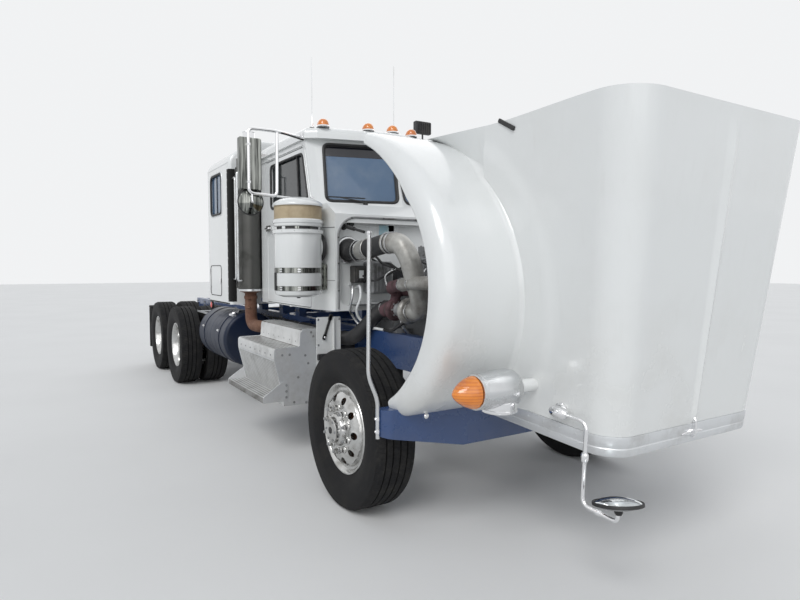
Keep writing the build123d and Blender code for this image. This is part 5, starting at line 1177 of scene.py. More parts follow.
def holed_disc(shape, rings, holes, circle, radius, paint=0):
    """A dished disc with round holes, made of equal sectors.

    In a sector the direction runs from one spoke to the next. Points go from the hole's rim outwards to the
    sector's border: place = rim + (border - rim) * share. The height over the disc comes from rings of
    (radius, outward).
    """
    span = pi / holes
    rings = np.array(sorted(rings))
    low, high = rings[0, 0], rings[-1, 0]
    corners = [(-span, low), (span, low), (span, high), (-span, high)]
    border = []
    for (a0, r0), (a1, r1) in zip(corners, corners[1:] + corners[:1]):
        share = np.linspace(0, 1, 7)[:-1, None]
        border.append(np.hstack([a0 + (a1 - a0) * share, r0 + (r1 - r0) * share]))
    border = np.vstack(border)
    edge = np.stack([border[:, 1] * np.cos(border[:, 0]), border[:, 1] * np.sin(border[:, 0])], 1)
    centre = np.array((circle, 0.0))
    spoke = edge - centre
    rim = centre + spoke / np.linalg.norm(spoke, axis=1)[:, None] * radius
    share = np.array((0.0, 0.12, 0.4, 0.7, 1.0))[:, None, None]
    flat = rim + (edge - rim) * share
    height = np.interp(np.hypot(flat[..., 0], flat[..., 1]), rings[:, 0], rings[:, 1])
    lip = np.array([0.0025, 0.0015, 0, 0, 0])[:, None]
    top = np.dstack([flat, height + lip])
    back = top[:1] - (0, 0, 0.018)
    under = np.dstack([flat, height - 0.018])[::-1]
    sector = Shape()
    sector.grid(np.concatenate([back, top]), around=True, paint=paint)
    sector.grid(np.concatenate([under, back]), around=True, paint=paint)
    return shape.stamp(sector, [Matrix.Rotation(2 * span * count, 4, "Z") for count in range(holes)])


def studs(shape, count, circle, height, paint=0, stud_paint=1):
    """Flange nuts on their studs, evenly round the hub."""
    for step in range(count):
        angle = 2 * pi * (step + 0.5) / count
        spot = (circle * cos(angle), circle * sin(angle), height)
        shape.turned([(0.0, 0), (0.023, 0.0), (0.0235, 0.004), (0.0175, 0.009)], spot, UP, 18, paint)
        shape.turned([(0.0175, 0.008), (0.0175, 0.026), (0.0145, 0.031), (0.010, 0.031)], spot, UP, 6, paint)
        shape.turned([(0.0098, 0.030), (0.0098, 0.040), (0.008, 0.0425), (0.0, 0.043)], spot, UP, 12,
            stud_paint)
    return shape


class TRUCK_OT_wheels(Operator):
    """Adds the two steer wheels and the four twin drive wheels with tyres, holed discs, nuts and hubs"""

    bl_idname = "truck.wheels"
    bl_label = "Wheels and tyres"

    def execute(self, context):
        sizes = context.scene.truck_sizes
        rim_radius, radius = sizes.rim_radius, sizes.tyre_radius
        steer_grooves = [(middle, 0.010, 0.013) for middle in (0.072, 0.025, -0.025, -0.072)]
        drive_grooves = [(middle, 0.012, 0.016) for middle in (0.052, 0.0, -0.052)]

        rim = Shape()
        rim.turned([(rim_radius - 0.016, -RIM_HALF), (rim_radius - 0.001, -RIM_HALF - 0.001),
            (rim_radius, -RIM_HALF + 0.006), (rim_radius - 0.022, -0.070), (rim_radius - 0.044, -0.030),
            (rim_radius - 0.046, 0.020), (rim_radius - 0.026, 0.066), (rim_radius - 0.006, 0.090),
            (rim_radius - 0.001, RIM_HALF - 0.004), (rim_radius - 0.004, RIM_HALF),
            (rim_radius - 0.012, RIM_HALF + 0.0005), (rim_radius - 0.020, RIM_HALF - 0.006),
            (rim_radius - 0.026, 0.088), (rim_radius - 0.034, 0.080), (rim_radius - 0.050, 0.078),
            (0.243, 0.094), (0.238, 0.103)], (0, 0, 0), UP, 80)
        rim.turned([(rim_radius - 0.016, -RIM_HALF), (rim_radius - 0.040, -0.070),
            (rim_radius - 0.056, -0.030), (rim_radius - 0.058, 0.030), (0.238, 0.080)], (0, 0, 0), UP, 80)
        holed_disc(rim, [(0.165, 0.135), (0.182, 0.134), (0.205, 0.126), (0.224, 0.114), (0.238, 0.103)],
            sizes.hand_holes, 0.203, 0.0235)
        rim.turned([(0.165, 0.135), (0.160, 0.1352), (0.1075, 0.1352), (0.1075, 0.115), (0.165, 0.115)],
            (0, 0, 0), UP, 80)
        studs(rim, 10, 0.1425, 0.1352)
        rim.turned([(0.107, 0.128), (0.1035, 0.150), (0.099, 0.158), (0.084, 0.165), (0.080, 0.180),
            (0.080, 0.1885), (0.076, 0.192), (0.030, 0.1935), (0.0, 0.194)], (0, 0, 0), UP, 60)
        for step in range(6):
            angle = pi * step / 3
            rim.bolt((0.066 * cos(angle), 0.066 * sin(angle), 0.192), UP, 0.0065, 0.006, 1)
        rim.turned([(0.0, 0.1935), (0.022, 0.1935), (0.022, 0.196), (0.018, 0.198), (0.0, 0.1985)], (0, 0, 0),
            UP, 24, 2)
        rim.turned([(0.205, -0.024), (0.205, 0.060), (0.150, 0.100), (0.1075, 0.115)], (0, 0, 0), UP, 60, 3)
        rim.turned([(0.191, -0.024), (0.191, 0.030), (0.060, 0.034)], (0, 0, 0), UP, 60, 3)
        rim.turned([(0.205, -0.024), (0.191, -0.024)], (0, 0, 0), UP, 60, 3)

        steer_tyre = tyre(Shape(), sizes.steer_width / 2, rim_radius, radius, steer_grooves, None)
        for name, side in (("right", -1), ("left", 1)):
            place = wheel_to_truck(FRONT_AXLE_X, STEER_Y, side)
            make_piece(f"steer_wheel_disc_{name}", rim.moved(place), f"steer_wheel_{name}",
                ["polished_aluminium", "grey_casting", "black_rubber", "rusty_steel"],
                [f"steer_rim_{name}"])
            make_piece(f"steer_wheel_tyre_{name}", steer_tyre.moved(place), f"steer_wheel_{name}",
                ["tyre_rubber", "tread_rubber"], [f"steer_tyre_{name}"], crisp=40)

        dish = Shape()
        base = DUAL_OUTER_Y - FACE_Y
        dish.turned([(rim_radius - 0.016, RIM_HALF + 0.0005), (rim_radius - 0.004, RIM_HALF),
            (rim_radius, RIM_HALF - 0.006), (rim_radius - 0.012, 0.085), (rim_radius - 0.030, 0.050),
            (rim_radius - 0.030, -0.060), (rim_radius - 0.001, -RIM_HALF), (rim_radius - 0.016, -RIM_HALF)],
            (0, 0, 0), UP, 80)
        dish.turned([(rim_radius - 0.016, RIM_HALF + 0.0005), (rim_radius - 0.022, RIM_HALF - 0.006),
            (rim_radius - 0.030, 0.080), (rim_radius - 0.042, 0.060), (rim_radius - 0.047, 0.0),
            (rim_radius - 0.052, -0.060), (0.238, -0.098)], (0, 0, 0), UP, 80)
        dish.turned([(rim_radius - 0.016, -RIM_HALF), (rim_radius - 0.048, -0.095), (0.238, -0.116)],
            (0, 0, 0), UP, 80)
        heights = [(0.165, 0.020), (0.184, 0.021), (0.204, 0.030), (0.222, 0.050), (0.238, base - 0.098)]
        holed_disc(dish, [(r, h - base) for r, h in heights], sizes.hand_holes, 0.205, 0.0245)
        dish.turned([(0.165, 0.020 - base), (0.1085, 0.020 - base), (0.1085, -base), (0.165, -base)],
            (0, 0, 0), UP, 80)

        hub = Shape()
        hub.turned([(0.108, 0.018), (0.105, 0.060), (0.101, 0.120), (0.098, 0.168), (0.094, 0.1715),
            (0.074, 0.172), (0.0735, 0.180), (0.068, 0.196), (0.060, 0.2035), (0.030, 0.205), (0.0, 0.205)],
            (0, 0, 0), UP, 60)
        studs(hub, 10, 0.1425, 0.020)
        for step in range(8):
            angle = 2 * pi * (step + 0.5) / 8
            hub.bolt((0.0845 * cos(angle), 0.0845 * sin(angle), 0.1715), UP, 0.0075, 0.010, 1)
        hub.turned([(0.108, -0.020), (0.168, -0.021), (0.170, -0.040), (0.204, -0.060), (0.205, -0.288),
            (0.192, -0.289), (0.190, -0.150), (0.103, -0.170), (0.102, -0.288), (0.052, -0.289)], (0, 0, 0),
            UP, 60, 2)
        drive_tyre = tyre(Shape(), sizes.drive_width / 2, rim_radius, radius, drive_grooves, 44)
        for place_name, wheel_x in zip(("fore", "aft"), DRIVE_XS):
            for hand, side in (("right", -1), ("left", 1)):
                name = f"{place_name}_{hand}"
                outer = wheel_to_truck(wheel_x, DUAL_OUTER_Y, side)
                inner = wheel_to_truck(wheel_x, DUAL_INNER_Y, side) @ Matrix.Rotation(pi, 4, "Y")
                face = wheel_to_truck(wheel_x, FACE_Y, side)
                discs = dish.moved(outer).stamp(dish, [inner]).stamp(hub, [face])
                make_piece(f"drive_wheel_discs_{name}", discs, f"drive_wheels_{name}",
                    ["polished_aluminium", "grey_casting", "rusty_steel"],
                    [f"drive_rims_{name}"])
                tyres = drive_tyre.moved(outer).stamp(drive_tyre, [inner])
                make_piece(f"drive_wheel_tyres_{name}", tyres, f"drive_wheels_{name}",
                    ["tyre_rubber", "tread_rubber"], [f"drive_tyres_{name}"], crisp=40)
        return {"FINISHED"}


def clamp(shape, centre, axis, radius, paint):
    """A worm drive band with its screw housing."""
    shape.turned([(radius, -0.007), (radius + 0.0022, -0.0065), (radius + 0.0022, 0.0065), (radius, 0.007)],
        centre, axis, 40, paint)
    first, second = axes_for(axis)
    shape.tube([centre + first * (radius + 0.007) - second * 0.014,
        centre + first * (radius + 0.007) + second * 0.016], 0.0055, 10, paint)
    return shape


class TRUCK_OT_engine_bay(Operator):
    """Adds the intake elbow and pipes, the turbocharger, hoses, wiring, filters and boxes round the engine"""

    bl_idname = "truck.engine_bay"
    bl_label = "Engine bay"

    def execute(self, context):
        duct = Shape()
        start = np.array((1.5756, -0.578, 1.716))
        duct.turned([(0.0, 0.0), (0.112, 0.0), (0.114, 0.010), (0.108, 0.018), (0.096, 0.020)], start, AHEAD,
            48, 1)
        elbow = flowing_path([start + (0.012, 0, 0), (1.640, -0.583, 1.712), (1.720, -0.586, 1.706),
            (1.829, -0.586, 1.706)], 10)
        along = np.linspace(0, 1, len(elbow))
        duct.tube(elbow, 0.093 - 0.016 * smoothstep(0.1, 0.6, along) + 0.004 * np.cos(along * 40) ** 2
            * (along > 0.45), 40, 0, False)
        for x in (1.600, 1.808):
            clamp(duct, np.array((x, -0.587, 1.704)), AHEAD, 0.088, 2)
        make_piece("intake_elbow", duct, "chassis", ["black_rubber", "stainless", "stainless"],
            ["intake_ducts"])

        pipe = Shape()
        line = flowing_path([(1.831, -0.586, 1.706), (1.93, -0.585, 1.712), (2.10, -0.580, 1.735),
            (2.26, -0.575, 1.752), (2.385, -0.560, 1.735), (2.455, -0.530, 1.640), (2.468, -0.490, 1.500),
            (2.460, -0.440, 1.360), (2.425, -0.405, 1.270), (2.360, -0.400, 1.243), (2.291, -0.400, 1.240)],
            10)
        pipe.tube(line[:12], 0.079, 40, 1, False)
        pipe.tube(line[10:33], 0.074, 40, 0, False)
        pipe.tube(line[31:], 0.076, 40, 1, False)
        for index in (1, 11, 30, 33, len(line) - 4):
            clamp(pipe, line[index], line[min(index + 1, len(line) - 1)] - line[index - 1], 0.0785, 2)
        for index in (12, 29):
            pipe.turned([(0.078, -0.006), (0.0825, -0.003), (0.0825, 0.003), (0.078, 0.006)], line[index],
                line[index + 1] - line[index - 1], 40, 1)
        make_piece("charge_pipe", pipe, "chassis", ["black_rubber", "stained_pipe", "stainless"],
            ["charge_pipes"])

        iron = Shape()
        heart = np.array((2.050, -0.400, 1.240))
        turn = np.linspace(0, 2 * pi, 49)[:, None]
        round_ = np.linspace(0, 2 * pi, 20, endpoint=False)[None, :]
        for middle, reach, thick, squash_, paint in ((0.0, 0.066, 0.030, 1.25, 0),
                (0.200, 0.074, 0.034, 1.15, 1)):
            swell = thick * (0.62 + 0.38 * turn / (2 * pi))
            around = reach + swell * np.cos(round_)
            points = np.stack([heart[0] + middle + swell * squash_ * np.sin(round_) + 0 * turn,
                heart[1] + around * np.cos(turn), heart[2] + around * np.sin(turn)], -1)
            iron.grid(points, around=True, paint=paint)
            iron.add(points[0], [tuple(range(20))], paint)
            iron.add(points[-1], [tuple(range(20))], paint)
            iron.turned([(0.0, middle - 0.038), (0.050, middle - 0.036), (0.074, middle - 0.020),
                (0.074, middle + 0.020), (0.050, middle + 0.036), (0.0, middle + 0.038)], heart, AHEAD, 40,
                paint)
        iron.turned([(0.048, 0.030), (0.042, 0.050), (0.052, 0.056), (0.052, 0.070), (0.044, 0.078),
            (0.044, 0.120), (0.056, 0.126), (0.056, 0.150), (0.050, 0.165)], heart, AHEAD, 32, 2)
        for middle, radius in ((0.046, 0.066), (0.154, 0.072)):
            iron.turned([(radius - 0.02, middle - 0.007), (radius, middle - 0.006), (radius, middle + 0.006),
                (radius - 0.02, middle + 0.007)], heart, AHEAD, 40, 0)
            for step in range(8):
                angle = pi * step / 4
                iron.bolt(heart + (middle + 0.006, (radius - 0.007) * cos(angle),
                    (radius - 0.007) * sin(angle)), AHEAD, 0.0055, 0.006, 2)
        iron.turned([(0.060, 0.240), (0.078, 0.242), (0.078, 0.2495), (0.072, 0.252)], heart, AHEAD, 40, 1)
        log_line = np.array([(1.945, -0.330, 1.385), (2.718, -0.330, 1.385)])
        iron.tube(np.linspace(*log_line, 40), 0.036 + 0.006 * np.cos(np.linspace(0, 10.6 * pi, 40)) ** 2, 24,
            0)
        for port in range(6):
            x = 2.000 + port * 0.145
            iron.plate(rectangle(0.040, 0.032, 0.012), 0.012, (x, -0.2615, 1.385), AHEAD, UP, 0.002, 0)
            iron.tube(flowing_path([(x, -0.270, 1.385), (x + 0.01, -0.300, 1.387),
                (x + 0.018, -0.330, 1.385)], 6), 0.029, 18, 0)
            for lean in (-0.030, 0.030):
                iron.bolt((x + lean, -0.2735, 1.385 + lean * 0.7), RIGHT, 0.007, 0.008, 2)
        iron.tube(flowing_path([(2.060, -0.335, 1.385), (2.055, -0.385, 1.365), (2.050, -0.400, 1.310),
            (2.050, -0.400, 1.285)], 8), 0.040, 24, 0)
        iron.turned([(0.030, 0), (0.052, 0.001), (0.052, 0.012), (0.030, 0.013)], (2.050, -0.400, 1.296),
            (0, 0, -1), 24, 0)
        elbow = flowing_path([(2.005, -0.400, 1.240), (1.960, -0.402, 1.240), (1.905, -0.408, 1.225)], 8)
        iron.tube(elbow, 0.060, 28, 0, False)
        make_piece("turbocharger", iron, "chassis", ["turbo_iron", "stained_pipe", "grey_casting"],
            ["turbo"])

        hot = Shape()
        line = flowing_path([(2.12, -0.470, 1.420), (2.30, -0.500, 1.440), (2.52, -0.520, 1.455),
            (2.70, -0.515, 1.460), (2.84, -0.470, 1.450), (2.900, -0.430, 1.440)], 8)
        hot.tube(line[:10], 0.046, 32, 0)
        hot.tube(line[9:], 0.049, 32, 1)
        for index in (9, 14, 26):
            clamp(hot, line[index], line[index + 1] - line[index - 1], 0.050, 2)
        hot.tube(flowing_path([(2.125, -0.468, 1.420), (2.085, -0.450, 1.405), (2.070, -0.405, 1.380)], 8),
            0.044, 28, 0)
        hot.tube(rounded_path([(2.45, -0.505, 1.452), (2.45, -0.40, 1.452), (2.45, -0.262, 1.400)], 0.02),
            0.012, 10, 2)
        make_piece("boost_pipe", hot, "chassis", ["turbo_iron", "stained_pipe", "stainless"])

        lines = Shape()
        for radius, paint, route in ((0.011, 0, [(2.01, -0.265, 1.50), (1.96, -0.33, 1.56),
                (1.86, -0.40, 1.60), (1.74, -0.40, 1.66), (BOX_BACK_X, -0.42, 1.72)]),
                (0.009, 0, [(2.20, -0.262, 1.43), (2.18, -0.33, 1.50), (2.05, -0.38, 1.56),
                (1.90, -0.36, 1.60), (1.70, -0.34, 1.61), (BOX_BACK_X, -0.34, 1.64)]),
                (0.013, 0, [(2.35, -0.262, 1.33), (2.33, -0.36, 1.24), (2.20, -0.46, 1.12),
                (2.05, -0.44, 1.07), (1.86, -0.40, 1.062)]),
                (0.011, 2, [(BOX_BACK_X, -0.56, 1.42), (1.66, -0.58, 1.42), (1.70, -0.60, 1.33),
                (1.66, -0.60, 1.23), (1.62, -0.56, 1.17), (1.66, -0.50, 1.08), (1.80, -0.44, 1.062)]),
                (0.011, 1, [(BOX_BACK_X, -0.50, 1.40), (1.68, -0.52, 1.41), (1.73, -0.54, 1.32),
                (1.70, -0.56, 1.22), (1.68, -0.52, 1.14), (1.74, -0.46, 1.08), (1.90, -0.42, 1.062)]),
                (0.008, 0, [(1.70, -0.50, 1.50), (1.80, -0.46, 1.46), (1.90, -0.40, 1.50),
                (2.02, -0.34, 1.56), (2.20, -0.30, 1.62), (2.42, -0.27, 1.56)]),
                (0.007, 2, [(2.05, -0.400, 1.345), (2.00, -0.44, 1.42), (1.93, -0.42, 1.50),
                (1.95, -0.34, 1.55), (2.00, -0.27, 1.54)]),
                (0.012, 2, [(2.15, -0.400, 1.19), (2.16, -0.40, 1.12), (2.17, -0.34, 1.05),
                (2.18, -0.262, 1.00)]), (0.020, 1, [(2.62, -0.45, 1.062), (2.70, -0.52, 1.03),
                (2.80, -0.56, 0.94), (2.90, -0.56, 0.90), (2.99, -0.50, 0.93), (3.03, -0.45, 1.00)]),
                (0.018, 0, [(2.58, -0.45, 1.062), (2.62, -0.50, 1.00), (2.70, -0.52, 0.90),
                (2.72, -0.50, 0.80), (2.70, -0.44, 0.70)]),
                (0.010, 0, [(2.30, 0.27, 1.56), (2.10, 0.34, 1.60), (1.85, 0.38, 1.62),
                (BOX_BACK_X, 0.40, 1.66)]), (0.014, 0, [(2.45, 0.30, 1.33), (2.30, 0.42, 1.45),
                (2.00, 0.45, 1.50), (1.75, 0.42, 1.50), (BOX_BACK_X, 0.42, 1.50)]),
                (0.026, 0, [(2.80, 0.12, 1.62), (2.86, 0.16, 1.70), (2.92, 0.22, 1.76), (2.964, 0.25, 1.77)]),
                (0.026, 0, [(2.80, 0.22, 0.98), (2.86, 0.30, 1.02), (2.92, 0.34, 1.10),
                (2.964, 0.36, 1.14)])):
            lines.tube(flowing_path(route, 9), radius, 12, paint)
        strut = np.array([(1.640, -0.615, 1.905), (2.02, -0.66, 1.842)])
        lines.tube(strut, 0.011, 14, 0)
        lines.tube([strut[0], strut[0] + (strut[1] - strut[0]) * 0.45], 0.016, 14, 0)
        lines.turned([(0.0, 0.0), (0.024, 0.0), (0.024, 0.010), (0.012, 0.014), (0.012, 0.030), (0.0, 0.030)],
            (FIREWALL_X, -0.615, 1.905), AHEAD, 20, 0)
        lines.tube([(1.60, -0.615, 1.905), (1.645, -0.615, 1.905)], 0.009, 10, 0)
        make_piece("engine_hoses", lines, "chassis", ["black_rubber", "plain_label", "stainless"])

        boxes = Shape()
        boxes.box((FIREWALL_X, -0.560, 1.440), (1.660, -0.440, 1.585), 0.008, 0)
        boxes.box((1.660, -0.545, 1.458), (1.672, -0.455, 1.570), 0.004, 0)
        boxes.box((1.672, -0.520, 1.480), (1.6735, -0.478, 1.545), 0.0006, 1)
        for row in range(3):
            boxes.turned([(0.0, 0), (0.014, 0), (0.014, 0.022), (0.010, 0.026), (0.0, 0.026)],
                (1.660, -0.535 + 0.033 * row, 1.462), AHEAD, 14, 2)
        boxes.box((FIREWALL_X, -0.435, 1.350), (1.740, -0.235, 1.620), 0.012, 6)
        for rib in range(6):
            boxes.box((1.740, -0.425 + 0.034 * rib, 1.370), (1.748, -0.412 + 0.034 * rib, 1.600), 0.002, 6)
        boxes.box((FIREWALL_X, -0.560, 1.262), (1.73, -0.310, 1.276), 0.004, 4)
        boxes.box((FIREWALL_X, -0.275, 1.832), (1.5775, -0.124, 1.934), 0.0006, 5)
        boxes.box((FIREWALL_X, -0.400, 1.800), (1.5775, -0.300, 1.925), 0.0006, 1)
        boxes.box((FIREWALL_X, -0.180, 1.880), (1.5775, -0.080, 1.950), 0.0006, 1)
        boxes.turned([(0.0, 0), (0.030, 0), (0.030, 0.020), (0.020, 0.034), (0.0, 0.036)],
            (FIREWALL_X, -0.555, 1.935), AHEAD, 20, 2)
        boxes.box((FIREWALL_X, 0.10, 1.40), (1.70, 0.46, 1.66), 0.012, 3)
        boxes.box((FIREWALL_X, -0.14, 1.45), (1.64, 0.04, 1.56), 0.008, 0)
        bead = hood_bead()
        boxes.tube(bead, 0.009, 10, 6)
        for spot in bead[6:-6:9]:
            boxes.bolt(spot + (0.006, 0, 0), AHEAD, 0.006, 0.005, 2)
        make_piece("firewall_boxes", boxes, "chassis",
            ["black_enamel", "plain_label", "black_rubber", "firewall_enamel", "bare_aluminium", "blue_label",
            "grey_casting"])

        block = Shape()
        for side in (-1, 1):
            for step in range(12):
                block.bolt((1.92 + 0.078 * step, side * 0.1505, 1.672), (0, side, 0), 0.008, 0.008, 0)
            for step in range(8):
                block.bolt((1.94 + 0.118 * step, side * 0.2605, 0.935), (0, side, 0), 0.009, 0.009, 0)
        for cover in range(5):
            x = 2.000 + 0.170 * cover
            for lean_x, lean_y in ((-0.045, -0.09), (0.045, -0.09), (-0.045, 0.09), (0.045, 0.09)):
                block.bolt((x + lean_x, lean_y, 1.7405), UP, 0.009, 0.009, 0)
        for x, y in ((2.560, -0.290), (2.440, -0.290)):
            block.turned([(0.0, 0.0), (0.030, 0.0), (0.050, 0.008), (0.052, 0.020), (0.052, 0.175),
                (0.046, 0.182), (0.046, 0.20), (0.054, 0.205), (0.054, 0.238)], (x, y, 0.892), UP, 36, 1)
            for step in range(18):
                angle = 2 * pi * step / 18
                block.bolt((x + 0.0525 * cos(angle), y + 0.0525 * sin(angle), 0.905),
                    (cos(angle), sin(angle), 0), 0.003, 0.003, 1)
        belt = np.array([(2.858, 0.118 * sin(a), 1.150 + 0.118 * cos(a)) for a in np.linspace(-pi / 2, pi / 2,
            18)] + [(2.858, 0.118 * sin(a), 0.980 + 0.118 * cos(a)) for a in np.linspace(pi / 2, 1.5 * pi,
            18)])
        block.tube(np.vstack([belt, belt[:1]]), 0.0075, 8, 2)
        block.tube(flowing_path([(2.05, -0.18, 1.50), (2.05, -0.21, 1.60), (2.20, -0.215, 1.63),
            (2.60, -0.215, 1.63), (2.75, -0.18, 1.60)], 8), 0.012, 12, 3)
        for step in range(6):
            x = 2.05 + 0.13 * step
            block.tube(flowing_path([(x, -0.192, 1.56), (x, -0.215, 1.53), (x + 0.01, -0.230, 1.47),
                (x + 0.01, -0.258, 1.43)], 6), 0.0055, 8, 3)
        make_piece("engine_bolts", block, "chassis",
            ["grey_casting", "plain_label", "black_rubber", "stainless"])
        return {"FINISHED"}


def hood_bead():
    """The bead round the firewall: up the right edge, over the top and down the left, 6 mm off the rim."""
    turn = np.linspace(0, pi / 2, 12)
    side = np.linspace(1.230, 1.800, 24)
    half, top, corner = 0.700, 1.985, 0.170
    right = np.stack([-half + 0 * side, side], 1)
    bend = np.stack([-half + corner - corner * np.cos(turn), top - corner + corner * np.sin(turn)], 1)
    run = np.linspace(-half + corner, half - corner, 30)[1:-1]
    section = np.vstack([right, bend, np.stack([run, 0 * run + top], 1), bend[::-1] * (-1, 1),
        right[::-1] * (-1, 1)])
    return np.hstack([np.full((len(section), 1), 1.648), section])


class TRUCK_OT_air_cleaners(Operator):
    """Adds the two air cleaners with their rain caps, tan bands, clamps, brackets and rubber rings"""

    bl_idname = "truck.air_cleaners"
    bl_label = "Air cleaners"

    def execute(self, context):
        shape = Shape()
        heart = np.array((1.480, -0.980, 0.0))
        # Painted shade: the 2 mm band between body and cap is black enamel for the shaded slot.
        for paint, profile in ((0, [(0.0, 1.3305), (0.130, 1.332), (0.182, 1.350), (0.190, 1.366),
                (0.190, 1.838), (0.196, 1.841), (0.205, 1.843), (0.206, 1.868), (0.190, 1.874),
                (0.176, 1.875)]), (4, [(0.176, 1.875), (0.174, 1.878), (0.174, 1.893), (0.176, 1.896)]),
                (0, [(0.176, 1.896), (0.186, 1.898), (0.192, 1.904), (0.193, 1.922), (0.2005, 1.926),
                (0.2015, 1.947), (0.196, 1.954), (0.191, 1.957)]),
                (1, [(0.191, 1.957), (0.1915, 1.959), (0.1915, 2.060), (0.191, 2.062)]),
                (0, [(0.191, 2.062), (0.2035, 2.061), (0.205, 2.065), (0.205, 2.073), (0.200, 2.084),
                (0.180, 2.100), (0.140, 2.120), (0.090, 2.133), (0.040, 2.139), (0.0, 2.140)])):
            shape.turned(profile, heart, UP, 72, paint)
        for low, high in ((1.524, 1.568), (1.382, 1.422)):
            shape.turned([(0.1895, low), (0.1945, low + 0.002), (0.1945, high - 0.002), (0.1895, high)],
                heart, UP, 72, 2)
            for turn in (-1.15, -0.35, 2.4):
                spoke = np.array((cos(turn), sin(turn), 0))
                spot = heart + spoke * 0.1955 + (0, 0, (low + high) / 2)
                shape.plate(rectangle(0.013, 0.015, 0.003), 0.004, spot, (-spoke[1], spoke[0], 0), UP, 0.001,
                    5)
                shape.tube([spot + (0.013 * spoke[1], -0.013 * spoke[0], 0.0),
                    spot - (0.013 * spoke[1], -0.013 * spoke[0], 0.0)], 0.005, 10, 2)
        for step in range(10):
            spoke = np.array((cos(step * pi / 5 + 0.2), sin(step * pi / 5 + 0.2), 0))
            shape.plate(rectangle(0.016, 0.010, 0.002), 0.006, heart + spoke * 0.177 + (0, 0, 1.8855),
                (-spoke[1], spoke[0], 0), UP, 0.001, 0 if step % 3 else 2)
        shape.turned([(0.0, 1.318), (0.014, 1.318), (0.017, 1.332)], heart, UP, 16, 3)
        duct = heart + (0, 0, 1.735)
        shape.turned([(0.092, 0.120), (0.092, 0.160), (0.104, 0.166), (0.104, 0.172), (0.092, 0.176)], duct,
            LEFT, 48, 0)
        shape.turned([(0.088, 0.172), (0.108, 0.176), (0.114, 0.184), (0.114, 0.198), (0.108, 0.206),
            (0.080, 0.208)], duct, LEFT, 48, 3)
        shape.plate(rectangle(0.028, 0.110, 0.008), 0.006, (1.502, -0.781, 1.490), LEFT, UP, 0.001, 2)
        shape.box((1.508, -0.7570, 1.385), (1.540, -0.7500, 1.595), 0.002, 2)
        for hole_z in (1.420, 1.490, 1.560):
            shape.turned([(0.0195, 0.0), (0.0195, 0.003), (0.015, 0.0035)], (1.508, -0.784, hole_z), AHEAD,
                20, 2)
            # Painted shade: each hole in the bracket is a black disc just behind its rim.
            shape.turned([(0.015, 0.0035), (0.014, 0.001), (0.0, 0.001)], (1.508, -0.784, hole_z), AHEAD, 20,
                4)
        for bracket_z in (1.420, 1.590):
            shape.box((1.458, -0.800, bracket_z - 0.016), (1.502, -0.757, bracket_z + 0.016), 0.003, 2)
        shape.box((1.462, -1.182, 1.385), (1.492, -1.166, 1.530), 0.005, 3)
        shape.rivets([heart + (0.2055 * cos(a), 0.2055 * sin(a), 1.856) for a in np.linspace(0, 2 * pi,
            13)[:-1]], UP, 0.004, 2)
        # The bands, clamps, brackets and rivets in slot 2 are steel with painted reflections.
        make_piece("air_cleaner_pair", shape.mirrored(), "chassis",
            ["white_enamel", "tan_band", "steel_painted_reflection", "black_rubber", "black_enamel", "stainless"],
            ["air_cleaners"])
        return {"FINISHED"}


